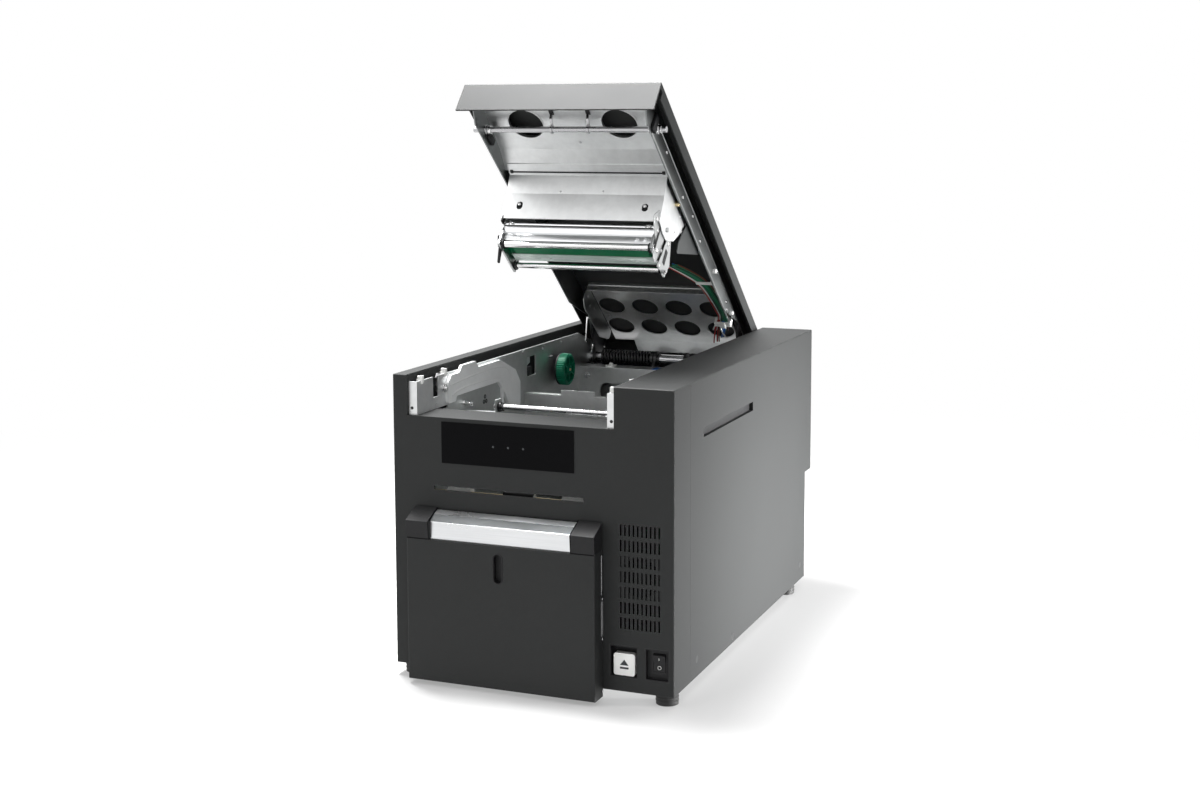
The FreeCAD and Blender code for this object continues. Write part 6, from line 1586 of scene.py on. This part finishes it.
@dataclass
class Harness:
    """The cover's wires (lanes beside the trunk) and short leads, their clip and the comb."""

    trunk: tuple[Point, ...] = ((171.0, 258.0, 30.0), (187.0, 273.0, 29.6), (198.5, 291.0, 29.2),
                                (202.4, 318.0, 28.6), (202.0, 348.0, 24.0), (199.0, 372.0, 19.5),
                                (190.0, 396.0, 19.0))
    spread: tuple[float, ...] = (1.25, 1.6, 1.1, 1.0, 1.1, 0.9, 1.5)
    pitch: float = 1.75
    radius: float = 0.8
    wander: float = 0.9
    sway_steps: Pair = (1.9, 2.4)
    sway_shares: Pair = (0.5, 0.4)
    rise: float = 0.5
    rise_step: float = 1.3
    bundle: dict[str, tuple[Coat, tuple[tuple[int, int], ...]]] = field(default_factory=lambda: {
        "green_wires": (Coat.WIRE, ((0, 0), (0, 1), (-1, 1), (1, 0), (1, 1))),
        "dark_green_wires": (Coat.DARK_WIRE, ((-1, 0), (2, 0), (2, 1))),
        "red_wires": (Coat.RED_WIRE, ((4, 0), (3, 1))),
        "white_wires": (Coat.PALE_WIRE, ((3, 0),)),
        "brown_wires": (Coat.BROWN_WIRE, ((-2, 1),)),
        "blue_wires": (Coat.BLUE_WIRE, ((1, 2),)),
    })
    leads: dict[str, tuple[Coat, tuple[tuple[Point, ...], ...]]] = field(default_factory=lambda: {
        "red_leads": (Coat.RED_WIRE, (
            ((190.0, 372.0, 22.0), (184.0, 388.0, 22.0), (178.6, 404.0, 23.0), (175.6, 415.0, 23.0)),
            ((192.0, 372.0, 21.0), (186.6, 389.0, 22.0), (182.0, 404.0, 22.6), (179.6, 414.0, 22.0)))),
        "brown_leads": (Coat.BROWN_WIRE, (
            ((191.0, 372.0, 22.0), (187.6, 390.0, 23.0), (184.4, 403.0, 23.4), (182.6, 412.0, 23.0)),)),
        "white_leads": (Coat.PALE_WIRE, (
            ((193.0, 372.0, 24.0), (191.6, 385.0, 24.4), (191.2, 396.0, 24.0), (193.4, 405.0, 22.6)),
            ((189.6, 372.0, 22.0), (182.6, 386.0, 20.6), (179.6, 393.0, 20.0)))),
        "blue_leads": (Coat.BLUE_WIRE, (
            ((196.0, 372.0, 22.6), (193.6, 385.0, 22.6), (190.0, 397.0, 22.0), (186.6, 406.0, 21.4)),
            ((197.6, 372.0, 22.6), (195.6, 385.0, 22.0), (191.8, 397.0, 21.0), (188.6, 406.0, 20.4)))),
    })
    clip: tuple[Brick, ...] = (
        ((188.5, 284.5, 31.6), (207.9, 289.0, 30.1), 0.6), ((188.5, 284.5, 28.0), (190.0, 289.0, 30.4), 0.4),
        ((205.5, 283.0, 31.0), (207.9, 290.5, 22.0), 0.8))
    comb: tuple[Brick, ...] = (
        ((187.0, 370.0, 26.6), (206.0, 377.0, 24.0), 0.8), ((187.0, 371.0, 24.6), (189.4, 376.0, 17.0), 0.6),
        ((203.6, 371.0, 24.6), (206.0, 376.0, 17.0), 0.6), ((193.0, 368.5, 27.6), (200.0, 378.5, 26.0), 0.8))

    def build(self, workshop: Workshop) -> None:
        """Adds the pieces; the first colour's wires stand for the machine's own harness."""
        replaced = ("lid_harness",)
        for index, (name, (coat, lanes)) in enumerate(self.bundle.items()):
            paths = [self._lane(across, up, index + step) for step, (across, up) in enumerate(lanes)]
            workshop.wires(name, paths, self.radius, coat, "cover", replaced)
            replaced = ()
        workshop.add("wire_clip", bricks(self.clip), Coat.WHITE, "cover")
        for name, (coat, lines) in self.leads.items():
            paths = [[under(*place) for place in line] for line in lines]
            workshop.wires(name, paths, self.radius, coat, "cover")
        workshop.add("wire_comb", bricks(self.comb), Coat.WHITE, "cover")

    def _lane(self, across: int, up: int, seed: int) -> list[Point]:
        """One wire's path beside the trunk.

        Args:
            across: Lane across the bundle.
            up: Lane towards the cover's top.
            seed: Picks how the wire wanders.

        Returns:
            Its points.
        """
        path = []
        for index, ((x, y, drop), spread) in enumerate(zip(self.trunk, self.spread)):
            sway = self.wander * math.sin(self.sway_steps[0] * index + self.sway_steps[1] * seed)
            rise = self.rise * math.cos(self.rise_step * index + seed)
            path.append(under(x - across * self.pitch * spread + sway * self.sway_shares[0],
                              y + sway * self.sway_shares[1], drop - up * self.pitch + rise))
        return path


@dataclass
class HangerBolts:
    """The bolts in the hanger's dark slots, and the plates (half sizes, faces) behind them."""

    slots: Pair = (50.5, 186.0)
    face: float = 115.4
    drop: float = 59.0
    plate: Quad = (4.0, 6.5, 2.6, 3.6)

    def build(self, workshop: Workshop) -> None:
        """Adds the pieces."""
        bolts, plates = Form(), Form()
        half, reach, front, back = self.plate
        for x in self.slots:
            head = under(x, self.face + 0.6, self.drop)
            bolts.rod(head, Axis.Y, long=3.0, radius=1.0, chamfer=0.1, steps=20)
            bolts.screw(head, Axis.Y, -1.0, radius=1.8)
            plates.block(under(x - half, self.face + front, self.drop + reach),
                         under(x + half, self.face + back, self.drop - reach))
        workshop.add("hanger_bolts", bolts, Coat.CHROME, "cover")
        workshop.add("hanger_slot_plates", plates, Coat.BLACK, "cover")


@dataclass
class HeadTrim:
    """The head's fine pieces. Outlines are in depths; a stud is x, y, depth and radius."""

    left: float = 38.3
    right: float = 198.9
    ceramic: tuple[Pair, Pair] = ((149.6, 97.1), (160.8, 95.9))
    heater: Pair = (155.6, 96.9)
    heater_inset: float = 4.0
    band: tuple[Pair, Pair] = ((127.7, 95.8), (129.2, 86.6))
    chips: tuple[Pair, Pair] = ((136.0, 95.3), (138.6, 93.6))
    groove: tuple[Pair, Pair] = ((120.7, 82.4), (122.3, 81.4))
    band_screws: Point = (55.0, 182.0, 191.0)
    band_face: Pair = (127.7, 91.6)
    sockets: Pair = (78.0, 158.0)
    socket_half: float = 14.0
    socket: tuple[Pair, Pair] = ((144.0, 84.4), (152.0, 78.0))
    black_lever: Pairs = ((124.6, 92.4), (130.8, 85.6), (137.4, 88.0), (138.6, 100.0), (143.0, 114.0),
                          (140.6, 114.4), (134.0, 101.6), (127.2, 96.0))
    lever_foot: Pairs = ((118.0, 71.0), (124.0, 71.0), (124.0, 79.0), (118.0, 79.0))
    front_lever: Pairs = ((107.0, 76.0), (117.0, 62.0), (136.0, 55.0), (146.0, 60.0), (146.0, 76.0),
                          (140.0, 92.0), (139.0, 110.6), (132.0, 109.4), (128.0, 92.0), (114.0, 84.0))
    rear_lever: Pairs = ((150.0, 66.0), (160.0, 70.0), (172.0, 92.0), (168.0, 99.0), (158.0, 105.0),
                         (149.0, 111.4), (143.0, 111.0), (147.0, 96.0))
    lever_slots: tuple[Brick, ...] = (
        ((203.6, 152.0, 100.0), (204.3, 158.0, 84.0), 0.3),
        ((202.4, 126.0, 100.0), (203.1, 129.4, 74.0), 0.3))
    black_x: Pair = (33.0, 35.2)
    foot_x: Pair = (34.6, 36.0)
    front_x: Pair = (201.3, 202.5)
    rear_x: Pair = (202.7, 203.8)
    clip_x: Pair = (35.0, 201.4)
    bearing_x: Pair = (38.4, 196.2)
    studs: tuple[Quad, ...] = (
        (202.4, 116.0, 74.0, 2.2), (202.4, 132.0, 64.0, 1.8), (202.4, 135.0, 98.0, 2.3),
        (203.7, 155.0, 76.0, 2.0), (203.7, 147.0, 108.0, 1.8), (202.4, 124.0, 82.0, 1.6))
    coils: int = 9
    coil: Point = (200.0, 130.0, 70.0)
    coil_pitch: float = 1.7
    rollers: Pairs = ((129.8, 99.3), (168.2, 97.7))

    def build(self, workshop: Workshop) -> None:
        """Adds the pieces."""
        ceramic = self._bar(*self.ceramic, inset=3.0, bevel=0.35)
        workshop.add("head_ceramic", ceramic, Coat.CERAMIC, "head")
        element = Form().rod(under(self.left + self.heater_inset, *self.heater), Axis.X,
                             self.right - self.left - 2 * self.heater_inset, radius=0.4, chamfer=0.1,
                             steps=16)
        workshop.add("heater_line", element, Coat.TURNED, "head")
        band = self._bar(*self.band, inset=0.3, bevel=0.25)
        for x in self.band_screws:
            band.ring(under(x, *self.band_face), Axis.Y, wide=-0.5, outer=2.6, inner=1.0, steps=24)
            band.screw(under(x, *self.band_face), Axis.Y, -1.0, radius=1.9)
        workshop.add("head_front_band", band, Coat.ALUMINIUM, "head")
        resin = self._bar(*self.chips, inset=8.0, bevel=0.6, segments=3)
        workshop.add("head_chip_cover", resin, Coat.BLACK, "head")
        # A black strip painted as the shadow in the bar's groove.
        groove = self._bar(*self.groove, inset=0.4, bevel=0.2)
        workshop.add("bar_groove", groove, Coat.BLACK_STEEL, "head")
        near, far = self.socket
        sockets = bricks(((x - self.socket_half, *near), (x + self.socket_half, *far), 0.5)
                         for x in self.sockets)
        workshop.add("head_sockets", sockets, Coat.WHITE, "head")
        self._levers(workshop)
        self._roller_ends(workshop)

    def _bar(self, near: Pair, far: Pair, inset: float, bevel: float, segments: int = 2) -> Form:
        """A block that runs along the head.

        Args:
            near: Distance behind the front and depth of one long edge.
            far: The same for the opposite one.
            inset: How much shorter than the head it is at each end.
            bevel: Reach of the softening.
            segments: Steps in it.

        Returns:
            A new form with the block.
        """
        return Form().block(under(self.left + inset, *near), under(self.right - inset, *far), bevel, segments)

    def _levers(self, workshop: Workshop) -> None:
        """Adds the black lever at the left and the bright ones at the right, with their fittings."""
        black = Form().plate(beneath(self.black_lever), Axis.X, self.black_x, corner=0.8, bevel=0.25)
        black.plate(beneath(self.lever_foot), Axis.X, self.foot_x, corner=0.6)
        workshop.add("left_release_lever", black, Coat.BLACK, "head")
        bright = Form().plate(beneath(self.front_lever), Axis.X, self.front_x, corner=1.6, bevel=0.2)
        bright.plate(beneath(self.rear_lever), Axis.X, self.rear_x, corner=1.6, bevel=0.2)
        workshop.add("right_release_levers", bright, Coat.WING, "head")
        workshop.add("lever_slots", bricks(self.lever_slots), Coat.BLACK, "head")
        studs = Form()
        for x, y, drop, radius in self.studs:
            studs.ring(under(x, y, drop), Axis.X, 0.7, outer=radius * 1.3, inner=radius * 0.5, steps=24)
            studs.screw(under(x, y, drop), Axis.X, 1.0, radius)
        workshop.add("lever_studs", studs, Coat.CHROME, "head")
        spring = Form()
        x, y, drop = self.coil
        for turn in range(self.coils):
            spring.ring(under(x, y + turn * self.coil_pitch, drop), Axis.Y, wide=0.9, outer=2.4, inner=1.5,
                        steps=20)
        workshop.add("lever_spring", spring, Coat.CHROME, "head")

    def _roller_ends(self, workshop: Workshop) -> None:
        """Adds the end clips and bearings of the two rollers."""
        clips, bearings = Form(), Form()
        for y, drop in self.rollers:
            for x in self.clip_x:
                clips.ring(under(x, y, drop), Axis.X, wide=0.8, outer=4.6, inner=2.4, steps=28)
            for x in self.bearing_x:
                bearings.ring(under(x, y, drop), Axis.X, wide=2.6, outer=5.0, inner=3.1)
        workshop.add("roller_clips", clips, Coat.CHROME, "head")
        workshop.add("roller_bearings", bearings, Coat.BLACK, "head")


@dataclass
class KnobTrim:
    """The ribbon knob's web, spokes, teeth and centre pin."""

    middle: Point = (40.0, 329.1, 238.3)
    spokes: int = 6
    spoke: tuple[Point, Point] = ((-0.3, -0.8, 4.0), (0.5, 0.8, 14.4))
    teeth: int = 44
    tooth: tuple[Point, Point] = ((-8.4, -0.45, 16.2), (-0.4, 0.45, 17.5))

    def build(self, workshop: Workshop) -> None:
        """Adds the pieces."""
        x, y, z = self.middle
        web = Form().ring((x - 0.3, y, z), Axis.X, wide=0.9, outer=15.6, inner=13.9, steps=48)
        web.ring((x - 0.3, y, z), Axis.X, wide=1.6, outer=4.6, inner=2.6)
        self._fan(web, self.spoke, self.spokes, bevel=0.25, segments=2)
        self._fan(web, self.tooth, self.teeth, bevel=0.2, segments=1)
        workshop.add("knob_web", web, Coat.GREEN, "ribbon_hub")
        pin = Form().rod((x - 0.5, y, z), Axis.X, long=2.4, radius=1.5, chamfer=0.4, steps=20)
        workshop.add("knob_pin", pin, Coat.BRASS, "ribbon_hub")

    def _fan(self, web: Form, corners: tuple[Point, Point], count: int, bevel: float, segments: int) -> None:
        """Adds blocks at even turns around the middle.

        Args:
            web: The form that takes them.
            corners: Two corners of the upright one, from the middle.
            count: How many there are.
            bevel: Reach of their softening.
            segments: Steps in it.
        """
        low, high = (tuple(map(sum, zip(self.middle, corner))) for corner in corners)
        for index in range(count):
            one = Form().block(low, high, bevel, segments)
            web.join(one.lean(self.middle, Axis.X, index * 360.0 / count))


@dataclass
class Electrics:
    """The board's chips (y, z and sizes), plugs and cans, the supply's vents, the motor's fittings."""

    board_x: float = 222.4
    chips: tuple[tuple[float, float, float, float, float], ...] = (
        (150.0, 120.0, 28.0, 28.0, 2.2), (200.0, 150.0, 18.0, 18.0, 1.6), (200.0, 110.0, 14.0, 10.0, 1.4),
        (250.0, 130.0, 22.0, 12.0, 1.6), (250.0, 165.0, 12.0, 8.0, 1.4), (285.0, 95.0, 16.0, 16.0, 1.6))
    plugs: tuple[float, ...] = (140.0, 165.0, 190.0, 225.0, 260.0, 290.0)
    plug_z: Pair = (186.0, 193.0)
    plug_out: float = 6.0
    plug_half: float = 8.0
    pins: int = 5
    pin_pitch: float = 2.9
    pin_out: Pair = (6.6, 5.8)
    pin_back: Pair = (6.4, 5.2)
    pin_z: Pair = (188.0, 191.0)
    cans: Pairs = ((280.0, 170.0), (298.0, 170.0), (280.0, 150.0), (298.0, 150.0), (170.0, 80.0))
    vents: tuple[int, int] = (5, 14)
    vent_start: Pair = (112.0, 285.0)
    vent_pitch: Pair = (16.0, 10.0)
    vent_half: Pair = (6.0, 1.4)
    vent_z: Pair = (45.2, 45.8)
    motor_plug: tuple[Point, Point] = ((58.0, 198.0, 91.0), (64.0, 212.0, 96.0))
    motor_cap: Point = (63.5, 205.0, 70.0)

    def build(self, workshop: Workshop) -> None:
        """Adds the pieces."""
        self._board(workshop)
        self._supply(workshop)
        workshop.add("motor_plug", Form().block(*self.motor_plug, bevel=0.5), Coat.WHITE)
        cap = Form().ring(self.motor_cap, Axis.X, wide=1.2, outer=8.0, inner=4.0, steps=36)
        workshop.add("motor_cap", cap, Coat.TURNED)

    def _board(self, workshop: Workshop) -> None:
        """Adds the board's chips, plugs and capacitors."""
        chips, plugs, cans = Form(), Form(), Form()
        foot = self.board_x + 0.1
        for y, z, long, tall, thick in self.chips:
            chips.block((self.board_x - thick, y - long / 2, z - tall / 2),
                        (foot, y + long / 2, z + tall / 2), bevel=0.2)
        for y in self.plugs:
            plugs.block((self.board_x - self.plug_out, y - self.plug_half, self.plug_z[0]),
                        (foot, y + self.plug_half, self.plug_z[1]), bevel=0.5)
            for pin in range(self.pins):
                place = y + pin * self.pin_pitch
                low, high = ((self.board_x - out, place - back, z)
                             for out, back, z in zip(self.pin_out, self.pin_back, self.pin_z))
                plugs.block(low, high, bevel=0.15)
        for place in self.cans:
            cans.rod((foot, *place), Axis.X, long=-12.0, radius=5.0, chamfer=0.6, steps=28)
        workshop.add("board_chips", chips, Coat.BLACK)
        workshop.add("board_plugs", plugs, Coat.WHITE)
        workshop.add("board_capacitors", cans, Coat.BLACK_STEEL)

    def _supply(self, workshop: Workshop) -> None:
        """Adds the vents in the supply's lid."""
        slots = Form()
        half_x, half_y = self.vent_half
        low, high = self.vent_z
        for row in range(self.vents[0]):
            for column in range(self.vents[1]):
                x = self.vent_start[0] + row * self.vent_pitch[0]
                y = self.vent_start[1] + column * self.vent_pitch[1]
                slots.block((x - half_x, y - half_y, low), (x + half_x, y + half_y, high), bevel=0.25,
                            segments=1)
        workshop.add("supply_vents", slots, Coat.BLACK)


@dataclass
class RearFace:
    """The rear's sockets (x, z, width, height) and its vents."""

    face: float = 439.5
    upper: float = 462.8
    sockets: tuple[Quad, ...] = ((60.0, 40.0, 16.0, 14.0), (88.0, 40.0, 13.0, 12.0))
    vents: int = 18
    vent_start: Pair = (60.0, 180.0)
    vent_pitch: float = 9.0
    vent_size: Pair = (3.0, 46.0)

    def build(self, workshop: Workshop) -> None:
        """Adds the pieces."""
        collars, holes = Form(), Form()
        for x, z, wide, tall in self.sockets:
            outline = rounded((x, z), wide + 3.0, tall + 3.0, radius=1.5)
            collars.frame(outline, rounded((x, z), wide, tall, radius=0.8), Axis.Y,
                          (self.face - 0.2, self.face + 1.2))
            holes.block((x - wide / 2, self.face - 0.1, z - tall / 2),
                        (x + wide / 2, self.face + 0.35, z + tall / 2), bevel=0.15, segments=1)
        workshop.add("socket_collars", collars, Coat.ZINC)
        start, height = self.vent_start
        for column in range(self.vents):
            slot = rounded((start + column * self.vent_pitch, height), *self.vent_size, radius=1.5, steps=4)
            holes.plate(slot, Axis.Y, (self.upper - 0.2, self.upper + 0.25), bevel=0.08)
        workshop.add("rear_openings", holes, Coat.BLACK)


@dataclass
class Underside:
    """The base pan's stiffening ribs."""

    ribs: Point = (70.0, 140.0, 210.0)
    middle: float = 210.0
    size: Pair = (12.0, 300.0)
    span: Pair = (0.2, -1.4)

    def build(self, workshop: Workshop) -> None:
        """Adds the piece."""
        ribs = Form()
        for x in self.ribs:
            outline = rounded((x, self.middle), *self.size, radius=6.0, steps=8)
            ribs.plate(outline, Axis.Z, self.span, bevel=0.7)
        workshop.add("base_ribs", ribs, Coat.ZINC)


@dataclass
class Studio:
    """The pale floor, the soft lights and the camera."""

    camera_place: Point = (0.631252, -1.619071, 0.525949)
    camera_yaw: float = 0.38368
    camera_pitch: float = -0.1084
    camera_roll: float = -0.00293
    focal_pixels: float = 1703.13
    frame_pixels: float = 1200.0
    shift_pixels: float = -96.0
    sensor: float = 36.0
    world_light: float = 0.48
    floor_size: float = 60.0
    floor_grey: Colour = (0.70, 0.70, 0.70)
    floor_rough: float = 0.85
    floor_white: float = 0.30
    floor_mirrored: float = 0.92
    fade: Pair = (0.55, 1.5)
    lamps: tuple[tuple[str, Point, Point, float, float, float], ...] = (
        ("key", (-1.6, -2.0, 2.2), (0.0, 0.0, 0.3), 1.8, 12.0, 180.0),
        ("side", (2.2, 0.6, 0.12), (0.14, 0.10, 0.03), 0.4, 6.2, 22.0),
        ("flap", (-0.30, 0.08, 1.36), (-0.02, -0.11, 0.55), 0.50, 54.0, 180.0),
        ("fill", (0.3, 0.5, 2.8), (0.1, 0.1, 0.0), 2.4, 34.0, 180.0),
    )

    def build(self) -> None:
        """Makes the whole studio."""
        self._camera()
        self._world()
        self._floor()
        for lamp in self.lamps:
            self._lamp(*lamp)
        bpy.context.scene.view_settings.view_transform = "Standard"

    def _camera(self) -> None:
        """Places the camera where the photograph was taken."""
        data = bpy.data.cameras.new("camera")
        data.sensor_width = self.sensor
        data.lens = self.sensor * self.focal_pixels / self.frame_pixels
        data.shift_y = self.shift_pixels / self.frame_pixels
        camera = bpy.data.objects.new("camera", data)
        forward = Vector((-math.sin(self.camera_yaw), math.cos(self.camera_yaw), 0.0))
        right = Vector((math.cos(self.camera_yaw), math.sin(self.camera_yaw), 0.0))
        up = Vector((0.0, 0.0, 1.0))
        ahead = forward * math.cos(self.camera_pitch) + up * math.sin(self.camera_pitch)
        above = up * math.cos(self.camera_pitch) - forward * math.sin(self.camera_pitch)
        side = right * math.cos(self.camera_roll) + above * math.sin(self.camera_roll)
        crown = above * math.cos(self.camera_roll) - right * math.sin(self.camera_roll)
        turn = Matrix((side, crown, -ahead)).transposed().to_4x4()
        camera.matrix_world = Matrix.Translation(self.camera_place) @ turn
        bpy.context.scene.collection.objects.link(camera)
        bpy.context.scene.camera = camera

    @staticmethod
    def _math(tree: Tree, operation: str, *values: object) -> Socket:
        """Adds a sum or product of sockets and numbers."""
        node = tree.nodes.new("ShaderNodeMath")
        node.operation = operation
        for socket, value in zip(node.inputs, values):
            if isinstance(value, Socket):
                tree.links.new(value, socket)
            else:
                socket.default_value = value
        return node.outputs[0]

    def _seen(self, tree: Tree, direct: object, mirrored: float) -> Socket:
        """Says how much of the plain white a ray gets.

        Args:
            tree: The material's or world's nodes.
            direct: The share for rays straight from the camera.
            mirrored: The share for rays off gloss or through glass.

        Returns:
            The share, 0 for all other rays.
        """
        path = tree.nodes.new("ShaderNodeLightPath")
        off = self._math(tree, "MAXIMUM", path.outputs["Is Glossy Ray"], path.outputs["Is Transmission Ray"])
        straight = self._math(tree, "MULTIPLY", path.outputs["Is Camera Ray"], direct)
        return self._math(tree, "MAXIMUM", straight, self._math(tree, "MULTIPLY", off, mirrored))

    def _world(self) -> None:
        """A white world that lights at a plain level."""
        world = bpy.data.worlds.new("studio")
        bpy.context.scene.world = world
        world.use_nodes = True
        tree = world.node_tree
        backdrop = tree.nodes["Background"]
        level = tree.nodes.new("ShaderNodeMapRange")
        level.inputs["To Min"].default_value = self.world_light
        level.inputs["To Max"].default_value = 1.0
        tree.links.new(self._seen(tree, 1.0, 1.0), level.inputs["Value"])
        backdrop.inputs["Color"].default_value = (1.0, 1.0, 1.0, 1.0)
        tree.links.new(level.outputs[0], backdrop.inputs["Strength"])

    def _floor(self) -> None:
        """A pale floor that keeps the machine's shadow."""
        shape = bmesh.new()
        bmesh.ops.create_grid(shape, x_segments=1, y_segments=1, size=self.floor_size / 2)
        mesh = bpy.data.meshes.new("floor")
        shape.to_mesh(mesh)
        shape.free()
        floor = bpy.data.objects.new("floor", mesh)
        bpy.context.scene.collection.objects.link(floor)
        material = bpy.data.materials.new("floor")
        material.use_nodes = True
        tree = material.node_tree
        shader = tree.nodes["Principled BSDF"]
        shader.inputs["Base Color"].default_value = (*self.floor_grey, 1.0)
        shader.inputs["Roughness"].default_value = self.floor_rough
        glow = tree.nodes.new("ShaderNodeEmission")
        blend = tree.nodes.new("ShaderNodeMixShader")
        away = tree.nodes.new("ShaderNodeVectorMath")
        away.operation = "LENGTH"
        fade = tree.nodes.new("ShaderNodeMapRange")
        fade.interpolation_type = "SMOOTHSTEP"
        fade.inputs["From Min"].default_value = self.fade[0]
        fade.inputs["From Max"].default_value = self.fade[1]
        fade.inputs["To Min"].default_value = self.floor_white
        fade.inputs["To Max"].default_value = 1.0
        tree.links.new(tree.nodes.new("ShaderNodeTexCoord").outputs["Object"], away.inputs[0])
        tree.links.new(away.outputs["Value"], fade.inputs["Value"])
        tree.links.new(self._seen(tree, fade.outputs[0], self.floor_mirrored), blend.inputs["Fac"])
        tree.links.new(shader.outputs[0], blend.inputs[1])
        tree.links.new(glow.outputs[0], blend.inputs[2])
        tree.links.new(blend.outputs[0], tree.nodes["Material Output"].inputs["Surface"])
        mesh.materials.append(material)

    @staticmethod
    def _lamp(name: str, place: Point, target: Point, size: float, power: float, spread: float) -> None:
        """Adds a soft square lamp.

        Args:
            name: The lamp's name.
            place: Where it stands, in metres.
            target: What it points at.
            size: Length of its side.
            power: Its power in watts.
            spread: Full angle of its beam in degrees.
        """
        data = bpy.data.lights.new(name, "AREA")
        data.size = size
        data.energy = power
        data.spread = math.radians(spread)
        lamp = bpy.data.objects.new(name, data)
        lamp.visible_camera = False
        lamp.location = place
        lamp.rotation_euler = (Vector(target) - Vector(place)).to_track_quat("-Z", "Y").to_euler()
        bpy.context.scene.collection.objects.link(lamp)


def main() -> None:
    """Builds every sub-assembly in order."""
    logging.basicConfig(level=logging.INFO, format="%(name)s: %(message)s")
    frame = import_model()
    workshop = Workshop(frame, PaintShop(NodeGroups()))
    for assembly in (Dressing, FrontFace, RecessShade, DrawerTrim, Controls, Feet, CatchParts, GuardDetail,
                     LeftPlateTrim, GuideRodTrim, HingeLine, RearCrossTrim, LatchShaftTrim, BeamTrim,
                     RailTrim, RearPlateTrim, Harness, HangerBolts, HeadTrim, KnobTrim, Electrics,
                     RearFace, Underside, FastenerPlan):
        assembly().build(workshop)
    Studio().build()
    log.info("%d pieces added", workshop.count)


if __name__ == "__main__":
    main()
